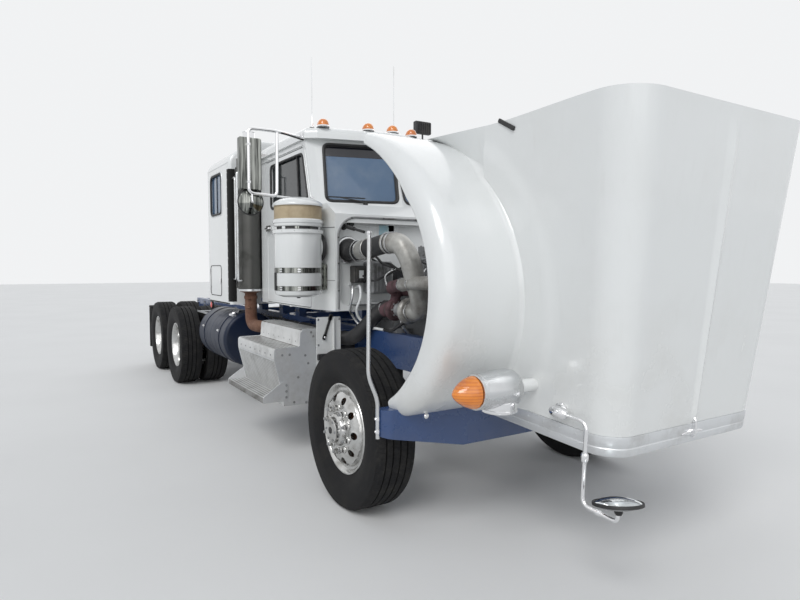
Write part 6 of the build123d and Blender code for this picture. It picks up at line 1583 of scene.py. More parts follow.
class TRUCK_OT_exhaust(Operator):
    """Adds the muffler in its pierced shield, its rusty pipe and elbow with the pipe's front run painted
    black as shade, the grab rail and the heat guard
    """

    bl_idname = "truck.exhaust"
    bl_label = "Exhaust"

    def execute(self, context):
        shape = Shape()
        foot = np.array((-0.130, -0.870, 0.0))
        shape.turned([(0.064, 1.3005), (0.070, 1.302), (0.112, 1.318), (0.112, 2.720), (0.070, 2.752),
            (0.064, 2.760)], foot, UP, 48, 1)
        shape.turned([(0.063, 2.755), (0.063, 2.972), (0.066, 2.976), (0.065, 2.980), (0.058, 2.980),
            (0.057, 2.80), (0.0, 2.79)], foot, UP, 48, 3)
        for low, high in ((1.320, 1.345), (2.695, 2.720)):
            shape.turned([(0.108, low), (0.1300, low + 0.002), (0.1300, high - 0.002), (0.108, high)], foot,
                UP, 64, 2)
        turn = np.linspace(0.62 * pi, 2.26 * pi, 61)[None, :]
        rise = np.linspace(1.322, 2.718, 13)[:, None]
        reach = 0.1285
        wall = np.stack([foot[0] + reach * np.cos(turn) + 0 * rise, foot[1] + reach * np.sin(turn) + 0 * rise,
            rise + 0 * turn], -1)
        shape.grid(wall, paint=0, maps=np.stack([reach * turn + 0 * rise, rise + 0 * turn], -1))
        for strap_z in (1.50, 2.02, 2.54):
            shape.box((-0.140, -0.745, strap_z - 0.018), (-0.120, -0.700, strap_z + 0.018), 0.003, 2)
        for post_x in (-0.185, -0.075):
            shape.tube([(post_x, -0.715, 1.36), (post_x, -0.715, 2.66)], 0.016, 16, 4)
        for rung_z in (1.36, 2.66):
            shape.box((-0.205, -0.735, rung_z - 0.02), (-0.055, -0.695, rung_z + 0.02), 0.004, 4)
        shape.box((-0.2, -0.735, 1.20), (-0.06, -0.40, 1.24), 0.004, 4)
        shape.box((-0.150, -0.735, 1.20), (-0.110, -0.700, 1.40), 0.004, 4)
        rail = rounded_path([(-0.055, -0.985, 2.535), (-0.055, -1.022, 2.545), (-0.055, -1.022, 1.430),
            (-0.055, -0.985, 1.430)], 0.03, 8)
        shape.tube(rail, 0.0125, 14, 2)
        elbow = [(2.0047, -0.400, 1.240), (1.850, -0.400, 1.240), (1.640, -0.560, 0.965),
            (0.440, -0.560, 0.965), (0.180, -0.870, 0.965), (-0.130, -0.870, 0.965), (-0.130, -0.870, 1.305)]
        line = rounded_path(elbow, 0.130, 12)
        # Painted shade: the run from the turbo to under the cab lies in shadow and is black enamel; the pipe
        # itself is rusty steel throughout.
        shape.tube(line[:40], 0.061, 32, 5, False)
        shape.tube(line[39:], 0.061, 32, 1, False)
        for z, radius in ((1.255, 0.068), (1.160, 0.065)):
            shape.turned([(0.060, -0.018), (radius, -0.016), (radius, 0.016), (0.060, 0.018)],
                foot + (0, 0, z), UP, 40, 1)
            shape.tube([foot + (0.055, -0.055, z - 0.012), foot + (0.075, -0.030, z - 0.012)], 0.008, 8, 1)
        for x in (0.52, 1.45):
            clamp(shape, np.array((x, -0.560, 0.965)), AHEAD, 0.062, 3)
            shape.box((x - 0.015, -0.575, 1.020), (x + 0.015, -0.432, 1.034), 0.002, 4)
        clamp(shape, np.array((1.905, -0.400, 1.240)), AHEAD, 0.0625, 3)
        make_piece("muffler_and_pipe", shape, "chassis",
            ["pierced_steel", "rusty_steel", "stainless", "chrome_plate", "blue_enamel", "black_enamel"],
            ["exhaust_stack"])

        guard = Shape()
        low, high, y0, y1, x0 = 1.350, 2.640, -0.962, -0.725, -0.3145
        rise = np.linspace(low, high, 2)[:, None]
        ripple = np.linspace(y0 + 0.006, y1 - 0.006, 40)[None, :]
        depth = x0 - 0.003 - 0.002 * np.cos((ripple - y0) * 2 * pi / 0.046)
        face = np.stack([depth + 0 * rise, ripple + 0 * rise, rise + 0 * ripple], -1)
        guard.shell(face, face - (0.002, 0, 0))
        guard.maps = guard.points[:, 1:] - (y0, low)
        guard.plate(rectangle((y1 - y0) / 2, (high - low) / 2, 0.010, ((y0 + y1) / 2, (low + high) / 2)),
            0.003, (-0.3290, 0, 0), LEFT, UP, 0.0005, 1)
        for z in np.linspace(low + 0.03, high - 0.03, 8):
            guard.rivets([(x0 - 0.001, y, z) for y in (y0 + 0.014, y1 - 0.014)], AHEAD, 0.006, 1)
        make_piece("heat_guard_strip", guard, "chassis", ["pierced_steel", "stainless"],
            ["heat_guard"])
        return {"FINISHED"}


class TRUCK_OT_steps(Operator):
    """Adds the ribbed step boxes with their riveted end plates, the splash panels and the mud flaps"""

    bl_idname = "truck.steps"
    bl_label = "Steps and flaps"

    def execute(self, context):
        rear_x, front_x = 0.520, 1.500
        section = [(0.792, 1.060), (0.964, 1.060), (0.974, 1.050), (0.978, 1.030), (0.986, 0.930),
            (0.996, 0.9165), (1.184, 0.9165), (1.196, 0.910), (1.200, 0.896), (1.200, 0.828),
            (1.1925, 0.8195), (1.139, 0.563), (1.128, 0.480), (1.122, 0.442), (0.792, 0.442)]
        plank = [(1.128, 0.4855), (1.128, 0.5240), (1.296, 0.5245), (1.2995, 0.521), (1.2995, 0.4855)]
        end = rounded_outline([(0.790, 1.062), (0.978, 1.063), (0.983, 0.921), (1.203, 0.920), (1.203, 0.822),
            (1.140, 0.560), (1.122, 0.440), (0.790, 0.440)],
            (0.055, 0.050, 0.022, 0.030, 0.020, 0.010, 0.030, 0.030))
        gusset = rounded_outline([(1.086, 0.640), (1.135, 0.645), (1.300, 0.532), (1.300, 0.4845),
            (1.086, 0.4845)], (0.015, 0.030, 0.010, 0.006, 0.020))
        shape = Shape()
        for outline, start_x, thick, chamfer in ((section, rear_x + 0.003, front_x - rear_x - 0.006, 0.0),
                (plank, rear_x + 0.004, front_x - rear_x - 0.008, 0.0), (end, front_x - 0.004, 0.004, 0.001),
                (end, rear_x, 0.004, 0.001), (gusset, front_x, 0.003, 0.0008),
                (gusset, rear_x - 0.003, 0.003, 0.0008)):
            shape.plate(np.array(outline) * (-1, 1), thick, (start_x, 0, 0), LEFT, UP, chamfer,
                0 if thick < 0.01 else 3)
        for y, z in ((0.882, 1.033), (0.864, 0.999), (1.135, 0.861), (1.071, 0.860), (0.936, 0.845),
                (0.910, 0.777), (0.999, 0.668), (1.036, 0.465), (0.931, 0.452), (0.830, 0.900),
                (0.830, 0.560)):
            shape.bolt((front_x, -y, z), AHEAD, 0.0075, 0.007, 1)
            shape.bolt((rear_x, -y, z), (-1, 0, 0), 0.0075, 0.007, 1)
        for z in (0.613, 0.563, 0.514):
            shape.bolt((front_x + 0.003, -1.104, z), AHEAD, 0.0075, 0.007, 1)
            shape.bolt((rear_x - 0.003, -1.104, z), (-1, 0, 0), 0.0075, 0.007, 1)
        for x in np.linspace(rear_x + 0.09, front_x - 0.09, 7):
            shape.rivets([(x, -1.2003, 0.858), (x, -0.9815, 0.955)], RIGHT, 0.0075, 1)
        shape.box((rear_x + 0.010, -1.2035, 0.817), (front_x - 0.010, -1.196, 0.8235), 0.001, 0)
        for arm_x in (rear_x + 0.120, front_x - 0.120):
            shape.box((arm_x - 0.040, -0.794, 0.797), (arm_x + 0.040, -0.4303, 0.887), 0.006, 2)
            for z in (0.815, 0.868):
                for lean in (-0.026, 0.026):
                    shape.bolt((arm_x + lean, -0.434, z), RIGHT, 0.008, 0.007, 1)
        make_piece("ribbed_steps", shape.mirrored(), "chassis",
            ["bare_aluminium", "grey_casting", "black_enamel", "ribbed_aluminium"],
            ["step_boxes"])

        flaps = Shape()
        panel = rectangle(0.110, 0.230, 0.012, (-0.750, 0.930))
        flaps.plate(panel, 0.006, (1.5555, 0, 0), LEFT, UP, 0.001, 1)
        flaps.box((1.5615, -0.712, 0.705), (1.585, -0.708, 1.155), 0.001, 1)
        for y, z in ((0.845, 1.140), (0.845, 0.930), (0.845, 0.722), (0.655, 1.140), (0.655, 0.722)):
            flaps.bolt((1.5615, -y, z), AHEAD, 0.007, 0.006, 2)
        strap = unit((0, -0.074, -0.215))
        for half_length, half_width, middle in ((0.105, 0.011, 0.0), (0.028, 0.017, -0.085),
                (0.024, 0.016, 0.085)):
            flaps.plate(rectangle(half_length, half_width, half_width * 0.8, (middle, 0)), 0.010,
                (1.563, -0.764, 1.075), strap, np.cross(AHEAD, strap), 0.003, 0)
        flaps.turned([(0.0, 0.0), (0.009, 0.0), (0.009, 0.016), (0.005, 0.020), (0.0, 0.020)],
            (1.570, -0.793, 0.992), AHEAD, 16, 2)
        flaps.box((1.5655, -0.860, 0.807), (1.5950, -0.4303, 0.857), 0.004, 3)
        flaps.plate(rectangle(0.300, 0.320, 0.020, (-0.920, 0.590)), 0.009, (-4.4045, 0, 0), LEFT, UP, 0.002,
            0)
        flaps.box((-4.411, -1.215, 0.295), (-4.4045, -0.625, 0.345), 0.002, 2)
        flaps.box((-4.411, -1.215, 0.860), (-4.4045, -0.625, 0.900), 0.002, 3)
        flaps.tube([(-4.400, -1.220, 0.930), (-4.400, -0.4303, 0.930)], 0.021, 18, 3)
        flaps.box((-4.415, -0.450, 0.880), (-4.385, -0.4303, 0.980), 0.003, 3)
        for y in np.linspace(0.66, 1.18, 6):
            flaps.bolt((-4.411, -y, 0.880), (-1, 0, 0), 0.008, 0.006, 2)
        make_piece("splash_panels_and_flaps", flaps.mirrored(), "chassis",
            ["black_rubber", "white_enamel", "stainless", "black_enamel"], ["mud_flaps"])
        return {"FINISHED"}


CAB_HALF, SLEEPER_HALF = 0.780, 1.030


def screen_frame():
    """The right windscreen's middle, and its directions outboard, up the glass and into the cab."""
    across = unit((-0.180, -0.705, 0.0))
    inward = unit(np.cross(across, (-0.170, 0.0, 0.585)))
    up = np.cross(inward, across)
    return np.array((1.525, 0.0, 2.105)) + across * 0.3638 + up * 0.3046, across, up, inward


def ring(shape, outline, centre, across, up, radius, paint):
    """A round bead that follows a closed outline laid on the plane of across and up."""
    outline = np.vstack([outline, outline[:2]])
    return shape.tube(centre + outline[:, :1] * across + outline[:, 1:] * up, radius, 10, paint, False)


class TRUCK_OT_cab_fittings(Operator):
    """Adds windscreen rubbers, sun bands, wipers, gutters, door window frames, handles and body seams"""

    bl_idname = "truck.cab_fittings"
    bl_label = "Cab fittings"

    def execute(self, context):
        shape = Shape()
        centre, across, up, inward = screen_frame()
        pane = rectangle(0.3245, 0.2655, 0.055)
        ring(shape, pane, centre - inward * 0.001, across, up, 0.0125, 0)
        ring(shape, pane * 0.965, centre + inward * 0.012, across, up, 0.007, 0)
        shape.plate(rectangle(0.3235, 0.052, 0.006, (0, 0.2125)), 0.0007, centre + inward * 0.0188, across,
            up, 0.0, 1)
        for x, y, half_x, half_y in ((0.245, -0.195, 0.052, 0.026), (0.275, -0.110, 0.020, 0.030)):
            shape.plate(rectangle(half_x, half_y, 0.010, (x, y)), 0.0007, centre + inward * 0.028, across, up,
                0.0, 2)
        pivot = centre - across * 0.02 - up * 0.290 - inward * 0.004
        shape.turned([(0.0, -0.006), (0.020, -0.006), (0.020, 0.008), (0.012, 0.020), (0.0, 0.022)], pivot,
            -inward, 20, 0)
        tip = pivot + across * 0.245 + up * 0.052 - inward * 0.022
        shape.tube([pivot - inward * 0.016, pivot + across * 0.06 + up * 0.020 - inward * 0.024, tip],
            (0.008, 0.0065, 0.004), 10, 0)
        shape.tube([tip - across * 0.240 - up * 0.004, tip + across * 0.110 + up * 0.002], 0.0045, 8, 0)
        shape.tube([tip - across * 0.238 - up * 0.004 + inward * 0.009,
            tip + across * 0.108 + up * 0.002 + inward * 0.009], 0.003, 6, 0)
        shape.tube([(0.000, -CAB_HALF - 0.0185, 2.6875), (1.185, -CAB_HALF - 0.0185, 2.6875)], 0.0055, 10, 3)
        shape.tube([(0.010, -CAB_HALF - 0.006, 2.640), (1.105, -CAB_HALF - 0.006, 2.640),
            (1.165, -CAB_HALF - 0.004, 2.600), (1.292, -CAB_HALF - 0.002, 2.140)], 0.0048, 10, 3)
        shape.tube([(1.331, -0.7805, 1.905), (1.640, -0.7265, 1.897)], 0.0022, 8, 0)
        shape.tube([(1.331, -0.7805, 1.465), (1.640, -0.7265, 1.462)], 0.0016, 8, 0)
        for share in np.linspace(0.03, 0.97, 12):
            spot = np.array((1.640 - 0.004, -0.7262, 1.235)) * (1 - share) + np.array(
                (1.636, -0.7262, 1.960)) * share
            shape.rivets([spot + (-0.020, -0.0035, 0)], (0.17, -1, 0), 0.005, 3)
        for x in np.linspace(0.03, 0.10, 2):
            shape.rivets([(x, -CAB_HALF - 0.0002, z) for z in np.linspace(1.26, 2.60, 16)], RIGHT, 0.0045, 3)
        shape.tube([(1.560, -0.705, 2.0425), (1.560, 0.0, 2.0425)], 0.004, 8, 0)
        make_piece("cab_fittings", shape.mirrored(), "chassis",
            ["black_rubber", "sun_film", "plain_label", "white_enamel"])

        window = rounded_outline([(1.2272, 2.150), (1.1037, 2.575), (0.280, 2.575), (0.280, 2.150)], 0.06, 8)
        door = Shape()
        ring(door, window, np.array((0, -CAB_HALF - 0.001, 0)), np.array(AHEAD), np.array(UP), 0.0105, 0)
        ring(door, (window - (0.75, 2.36)) * 1.045 + (0.75, 2.36), np.array((0, -CAB_HALF + 0.001, 0)),
            np.array(AHEAD), np.array(UP), 0.004, 2)
        door.tube([(0.985, -CAB_HALF + 0.012, 2.160), (0.945, -CAB_HALF + 0.012, 2.568)], 0.009, 12, 0)
        door.box((0.290, -CAB_HALF + 0.008, 2.155), (0.985, -CAB_HALF - 0.002, 2.170), 0.002, 0)
        door.plate(rectangle(0.076, 0.029, 0.016, (0.260, 1.960)), 0.003, (0, -CAB_HALF - 0.022, 0), AHEAD,
            UP, 0.001, 1)
        door.tube(rounded_path([(0.205, -CAB_HALF - 0.026, 1.960), (0.205, -CAB_HALF - 0.040, 1.960),
            (0.312, -CAB_HALF - 0.040, 1.960), (0.312, -CAB_HALF - 0.026, 1.960)], 0.010, 6), 0.0085, 12, 1)
        door.turned([(0.0, 0.0), (0.012, 0.0), (0.012, 0.005), (0.009, 0.007), (0.0, 0.0075)],
            (0.330, -CAB_HALF - 0.0002, 1.905), RIGHT, 20, 1)
        edge = rectangle(0.530, 0.315, 0.040, (0.705, 1.560))
        ring(door, edge, np.array((0, -CAB_HALF + 0.0008, 0)), np.array(AHEAD), np.array(UP), 0.0028, 2)
        other = Matrix.Diagonal((1, -1, 1, 1))
        for name, place in (("right", Matrix.Identity(4)), ("left", other)):
            make_piece(f"door_fittings_{name}", door.moved(place), f"door_{name}",
                ["black_rubber", "chrome_plate", "white_enamel"])
        return {"FINISHED"}


class TRUCK_OT_mirrors_and_lamps(Operator):
    """Adds the door mirrors on bent tubes, the roof's amber lamps, the work lamp and the antenna feet"""

    bl_idname = "truck.mirrors_and_lamps"
    bl_label = "Mirrors and roof lamps"

    def execute(self, context):
        shape = Shape()
        loop = [(1.140, -0.8003, 2.708), (1.140, -0.848, 2.706), (1.298, -1.090, 2.692),
            (1.298, -1.326, 2.690), (1.298, -1.326, 2.172), (1.285, -1.085, 2.160), (1.285, -1.080, 2.695)]
        shape.tube(rounded_path(loop, 0.045, 8), 0.0135, 16, 0)
        shape.tube([(1.285, -1.085, 2.160), (1.306, -0.7830, 2.150)], 0.0085, 12, 0)
        shape.tube([(1.290, -1.080, 2.692), (1.170, -0.7990, 2.676)], 0.0075, 12, 1)
        for spot, way in (((1.140, -0.8003, 2.708), RIGHT), ((1.306, -0.7800, 2.150), RIGHT)):
            shape.turned([(0.0, 0.0), (0.030, 0.0), (0.030, 0.005), (0.016, 0.014)], spot, way, 24, 0)
        for z in (2.260, 2.560):
            shape.box((1.278, -1.341, z - 0.012), (1.312, -1.309, z + 0.012), 0.004, 0)
        shape.plate(rectangle(0.093, 0.210, 0.014, (-1.305, 2.410)), 0.052, (1.232, 0, 0), LEFT, UP, 0.006, 4)
        shape.plate(rectangle(0.088, 0.205, 0.012, (-1.305, 2.410)), 0.004, (1.2285, 0, 0), LEFT, UP, 0.001,
            3)
        convex = np.array((1.262, -1.300, 2.103))
        shape.turned([(0.0, 0.034), (0.020, 0.034), (0.045, 0.028), (0.080, 0.014), (0.102, 0.002)], convex,
            AHEAD, 48, 4)
        shape.turned([(0.101, 0.004), (0.108, 0.002), (0.110, -0.006), (0.107, -0.012), (0.100, -0.013)],
            convex, AHEAD, 48, 1)
        shape.turned([(0.101, -0.008), (0.070, -0.015), (0.035, -0.0195), (0.0, -0.021)], convex, AHEAD, 48,
            3)
        shape.turned([(0.0, 0.046), (0.012, 0.046), (0.014, 0.036), (0.014, 0.030)], convex, AHEAD, 16, 0)
        shape.tube([convex + (0.040, 0, 0), (1.298, -1.300, 2.171)], 0.008, 12, 0)
        # The mirror head's back and the convex mirror's shell in slot 4 are steel with painted reflections.
        make_piece("mirrors_on_their_tubes", shape.mirrored(), "chassis",
            ["chrome_plate", "black_rubber", "stainless", "mirror_glass", "steel_painted_reflection"],
            ["door_mirrors"])

        lamps = Shape()
        lens, foot = Shape(), Shape()
        lens.turned([(0.050, 0.012), (0.0505, 0.020), (0.048, 0.036), (0.041, 0.052), (0.030, 0.064),
            (0.015, 0.0705), (0.0, 0.072)], (0, 0, 0), UP, 32, 0)
        drawn = lens.points[:, 0] < 0
        lens.points[drawn, 0] *= 1.55
        foot.turned([(0.0, 0.0), (0.057, 0.0), (0.058, 0.006), (0.054, 0.013), (0.0, 0.0135)], (0, 0, 0), UP,
            32, 1)
        foot.points[foot.points[:, 0] < 0, 0] *= 1.5
        lens.stamp(foot, [Matrix.Identity(4)])
        for x, y in ((1.345, 0), (1.305, 0.230), (1.305, -0.230), (1.240, 0.640), (1.240, -0.640)):
            lamps.stamp(lens, [Matrix.Translation((x, y, 2.7903))])
        lamps.tube([(0.910, 0.620, 2.7903), (0.910, 0.620, 2.935)], 0.009, 12, 2)
        lamps.turned([(0.0, 0.0), (0.035, 0.0), (0.035, 0.005), (0.012, 0.010)], (0.910, 0.620, 2.7903), UP,
            24, 2)
        lamps.box((0.880, 0.522, 2.937), (0.935, 0.718, 3.063), 0.010, 2)
        for fin in range(7):
            lamps.box((0.935, 0.535 + fin * 0.0265, 2.945), (0.945, 0.541 + fin * 0.0265, 3.055), 0.001, 2)
        lamps.box((0.874, 0.530, 2.945), (0.881, 0.710, 3.055), 0.002, 3)
        for x, y in ((1.200, 0.100), (1.180, -0.720)):
            lamps.turned([(0.0, 0.0), (0.022, 0.0), (0.022, 0.006), (0.012, 0.014), (0.011, 0.050),
                (0.006, 0.062), (0.0045, 0.110)], (x, y, 2.7905), UP, 20, 1)
        make_piece("roof_lamps_and_feet", lamps, "chassis",
            ["amber_lens", "chrome_plate", "black_enamel", "clear_lens"], ["roof_lamps"])
        return {"FINISHED"}


class TRUCK_OT_sleeper_fittings(Operator):
    """Adds the sleeper's window frames, dark pierced sheets on its front corners as painted shade, seams and
    rivets
    """

    bl_idname = "truck.sleeper_fittings"
    bl_label = "Sleeper fittings"

    def execute(self, context):
        shape = Shape()
        ahead, up = np.array((1.0, 0, 0)), np.array((0, 0, 1.0))
        window = rectangle(0.225, 0.220, 0.070, (-0.845, 2.390))
        ring(shape, window, np.array((0, -SLEEPER_HALF - 0.001, 0)), ahead, up, 0.011, 0)
        ring(shape, (window - (-0.845, 2.390)) * 1.085 + (-0.845, 2.390),
            np.array((0, -SLEEPER_HALF - 0.0005, 0)), ahead, up, 0.006, 1)
        shape.tube([(-0.845, -SLEEPER_HALF + 0.012, 2.172), (-0.845, -SLEEPER_HALF + 0.012, 2.608)], 0.007,
            10, 0)
        # Painted shade: a dark pierced sheet wraps each front corner, where the gap between cab and sleeper
        # lies in shadow.
        bend = np.linspace(0, pi / 2, 9)
        corner = np.stack([-0.365 + 0.0362 * np.sin(bend), -0.995 - 0.0362 * np.cos(bend)], 1)
        section = np.vstack([[(-0.405, -SLEEPER_HALF - 0.0012)], corner, [(-0.3288, -0.960)]])
        rise = np.linspace(1.200, 2.620, 2)
        outer = np.array([[(x, y, z) for z in rise] for x, y in section])
        away = np.array([[(x - 0.0008 * (x + 0.365 > 0), y + 0.0008, z) for z in rise] for x, y in section])
        shape.shell(outer, away, 2)
        for x in (-0.395, -0.450, -1.195):
            shape.rivets([(x, -SLEEPER_HALF - 0.0012, z) for z in np.linspace(1.215, 2.66, 20)], RIGHT,
                0.0045, 1)
        shape.tube([(-1.215, -SLEEPER_HALF - 0.0005, 2.690), (-0.355, -SLEEPER_HALF - 0.0005, 2.690)], 0.0035,
            8, 3)
        shape.tube([(-1.215, -0.905, 2.8325), (-0.355, -0.905, 2.8325)], 0.0035, 8, 3)
        shape.box((-1.215, -SLEEPER_HALF - 0.002, 1.172), (-0.355, -SLEEPER_HALF + 0.001, 1.186), 0.001, 2)
        hatch = rectangle(0.230, 0.170, 0.050, (-0.900, 1.420))
        ring(shape, hatch, np.array((0, -SLEEPER_HALF - 0.0002, 0)), ahead, up, 0.0045, 0)
        shape.plate(rectangle(0.018, 0.030, 0.010, (-0.700, 1.420)), 0.008, (0, -SLEEPER_HALF, 0), ahead, up,
            0.002, 4)
        for z in (1.320, 1.520):
            shape.tube([(-1.140, -SLEEPER_HALF - 0.004, z - 0.030),
                (-1.140, -SLEEPER_HALF - 0.004, z + 0.030)], 0.006, 10, 4)
        make_piece("sleeper_fittings", shape.mirrored(), "chassis",
            ["black_rubber", "bare_aluminium", "pierced_steel", "white_enamel", "chrome_plate"])
        return {"FINISHED"}


class TRUCK_OT_rods(Operator):
    """Adds the bumper's guide rods and the grab rails ahead of the sleeper"""

    bl_idname = "truck.rods"
    bl_label = "Guide rods and grab rails"

    def execute(self, context):
        shape = Shape()
        guide = [(3.290, -1.2613, 0.640), (3.290, -1.2613, 0.850), (3.290, -1.318, 0.985),
            (3.285, -1.308, 1.750)]
        shape.tube(rounded_path(guide, 0.045, 8), 0.011, 16, 0)
        shape.turned([(0.011, -0.010), (0.013, -0.004), (0.013, 0.004), (0.009, 0.010), (0.0, 0.012)],
            (3.285, -1.308, 1.752), UP, 16, 1)
        for z in (0.680, 0.750):
            shape.turned([(0.0112, -0.010), (0.0125, -0.010), (0.0125, 0.010), (0.0112, 0.010)],
                (3.290, -1.2613, z), UP, 20, 1)
            shape.bolt((3.290, -1.2738, z), RIGHT, 0.006, 0.006, 1)
        rail = [(-0.3297, -0.985, 1.445), (-0.245, -0.985, 1.445), (-0.245, -0.985, 2.520),
            (-0.3297, -0.985, 2.520)]
        shape.tube(rounded_path(rail, 0.045, 10), 0.0135, 18, 0)
        make_piece("guide_rods_and_grab_rails", shape.mirrored(), "chassis", ["stainless", "chrome_plate"],
            ["grab_rails"])
        return {"FINISHED"}


class TRUCK_OT_rear_frame(Operator):
    """Adds tail lamps, tank fittings, frame bolts, the fifth wheel's grease and the bumper's bolts"""

    bl_idname = "truck.rear_frame"
    bl_label = "Lamps and fittings of the frame"

    def execute(self, context):
        lamps = Shape()
        lamps.plate(rectangle(0.038, 0.098, 0.012, (-0.3875, 0.917)), 0.0215, (-4.5222, 0, 0), LEFT, UP,
            0.003, 1)
        lamps.plate(rectangle(0.033, 0.044, 0.008, (-0.3875, 0.968)), 0.008, (-TAIL_X, 0, 0), LEFT, UP, 0.003,
            0)
        lamps.plate(rectangle(0.033, 0.030, 0.008, (-0.3875, 0.890)), 0.008, (-TAIL_X, 0, 0), LEFT, UP, 0.003,
            0)
        lamps.plate(rectangle(0.033, 0.014, 0.006, (-0.3875, 0.842)), 0.008, (-TAIL_X, 0, 0), LEFT, UP, 0.003,
            2)
        marker = np.array((-1.180, -1.000, 1.124))
        lamps.turned([(0.0, 0.0), (0.044, 0.0), (0.045, 0.006), (0.045, 0.020), (0.041, 0.023),
            (0.036, 0.021)], marker, RIGHT, 32, 1)
        lamps.turned([(0.037, 0.019), (0.034, 0.024), (0.022, 0.0285), (0.0, 0.0300)], marker, RIGHT, 32, 0)
        lamps.plate(rectangle(0.012, 0.030, 0.004, (-1.180, 1.148)), 0.006, (0, -0.994, 0), AHEAD, UP, 0.001,
            1)
        make_piece("tail_lamps_and_markers", lamps.mirrored(), "chassis",
            ["red_lens", "black_rubber", "clear_lens"], ["tail_lamps"])

        tanks = Shape()
        heart = np.array((0, -0.800, 0.780))
        for end, way in ((-0.3497, 1), (-1.5003, -1)):
            tanks.turned([(0.272, -0.012), (0.276, -0.006), (0.276, -0.001), (0.268, 0.001)],
                heart + (end, 0, 0), (way, 0, 0), 64, 0)
        for seam_x in (-0.395, -0.925, -1.455):
            tanks.turned([(0.2995, -0.006), (0.3012, -0.004), (0.3012, 0.004), (0.2995, 0.006)],
                heart + (seam_x, 0, 0), AHEAD, 72, 0)
        for strap_x in (-0.600, -1.250):
            tanks.turned([(0.2998, -0.030), (0.3042, -0.028), (0.3042, 0.028), (0.2998, 0.030)],
                heart + (strap_x, 0, 0), AHEAD, 72, 1)
            for turn in (0.30, 2.45):
                spoke = np.array((0, -cos(turn), sin(turn)))
                spot = heart + (strap_x, 0, 0) + spoke * 0.3035
                tanks.box(spot - (0.022, 0.014, 0.012), spot + (0.022, 0.014, 0.012), 0.003, 1)
                tanks.bolt(spot + spoke * 0.012, spoke, 0.009, 0.012, 3)
        turn = radians(62)
        spoke = np.array((0, -cos(turn), sin(turn)))
        neck = heart + (-0.480, 0, 0) + spoke * 0.296
        tanks.turned([(0.040, 0.0), (0.041, 0.004), (0.041, 0.016), (0.052, 0.018), (0.054, 0.024),
            (0.054, 0.040), (0.050, 0.046), (0.0, 0.050)], neck, spoke, 36, 3)
        for turn in np.linspace(0, 2 * pi, 9)[:-1]:
            side = np.array((cos(turn), sin(turn) * spoke[2], sin(turn) * -spoke[1]))
            tanks.tube([neck + side * 0.053 + spoke * 0.022, neck + side * 0.053 + spoke * 0.042], 0.0035, 6,
                3)
        tanks.box((-1.440, -0.560, 0.840), (-0.410, -0.532, 0.880), 0.003, 2)
        # The rims and seams of the tanks take the tanks' blue, darkened as painted shade.
        make_piece("tank_fittings", tanks.mirrored(), "chassis",
            ["tank_blue_painted_shade", "stainless", "bare_aluminium", "chrome_plate"])

        bolts = Shape()
        for cross_x in (0.700, -0.420, -1.600, -2.200, -3.960, -4.440):
            for drop in (0.045, 0.095):
                for way in (-0.030, 0.030):
                    bolts.bolt((cross_x + way, -RAIL_FACE, 1.052 - drop), RIGHT, 0.011, 0.010, 0)
        for x in np.arange(-3.420, -2.690, 0.120):
            bolts.bolt((x, -RAIL_FACE, 0.980), RIGHT, 0.012, 0.011, 0)
            bolts.bolt((x, -RAIL_FACE, 0.930), RIGHT, 0.012, 0.011, 0)
        for x in (1.485, 0.070, -0.420, -1.140):
            for way in (-0.040, 0.040):
                bolts.bolt((x + way, -RAIL_FACE, 1.110), RIGHT, 0.009, 0.009, 0)
        for y in (-0.980, -0.560, -0.360):
            bolts.turned([(0.017, 0.0), (0.016, 0.003), (0.011, 0.0065), (0.0, 0.008)], (3.3448, y, 0.740),
                AHEAD, 20, 1)
        line = [(-2.300, -LINE_Y, 0.900), (-2.300, -LINE_Y, 0.985), (-0.300, -LINE_Y, 0.985),
            (0.480, -LINE_Y, 0.985), (0.480, -LINE_Y, 0.880)]
        bolts.tube(rounded_path(line, 0.060, 8), 0.0105, 12, 2)
        for x in np.arange(-2.050, 0.40, 0.35):
            bolts.turned([(0.0105, -0.006), (0.0135, -0.005), (0.0135, 0.005), (0.0105, 0.006)],
                (x, -LINE_Y, 0.985), AHEAD, 16, 0)
        bolts.plate(rectangle(0.300, 0.012, 0.004, (-1.900, 0.985)), 0.004, (0, -0.9500, 0), AHEAD, UP, 0.001,
            3)
        for x in (-2.150, -1.650):
            bolts.box((x - 0.015, -0.9500, 0.975), (x + 0.015, -0.4305, 0.990), 0.002, 3)
        make_piece("frame_bolts_and_lines", bolts.mirrored(), "chassis",
            ["grey_casting", "chrome_plate", "black_rubber", "bare_aluminium"])

        grease = Shape()
        share = np.linspace(0, 1, 13)
        angle = np.linspace(0, 2 * pi, 49)
        reach = 0.085 + 0.230 * share[:, None] + 0.022 * np.sin(3 * angle)[None, :] * share[:, None]
        height = 1.1902 + 0.0035 * np.sin(pi * share)[:, None] * (1 + 0.4 * np.sin(5 * angle + 1))[None, :]
        grease.grid(np.stack([-3.060 + reach * np.cos(angle), reach * np.sin(angle), height + 0 * reach], -1))
        drawn = (grease.points[:, 0] > -3.085) | (abs(grease.points[:, 1]) > 0.085)
        grease.points[~drawn, 1] = np.sign(grease.points[~drawn, 1]) * 0.085
        make_piece("fifth_wheel_grease", grease, "fifth_plate", ["wet_grease"])
        return {"FINISHED"}


# The CAD pieces that stay get a finish by the record's slot, or by name: black on the fifth wheel, painted
# shade on the tanks and a painted sky reflection on the cab glass

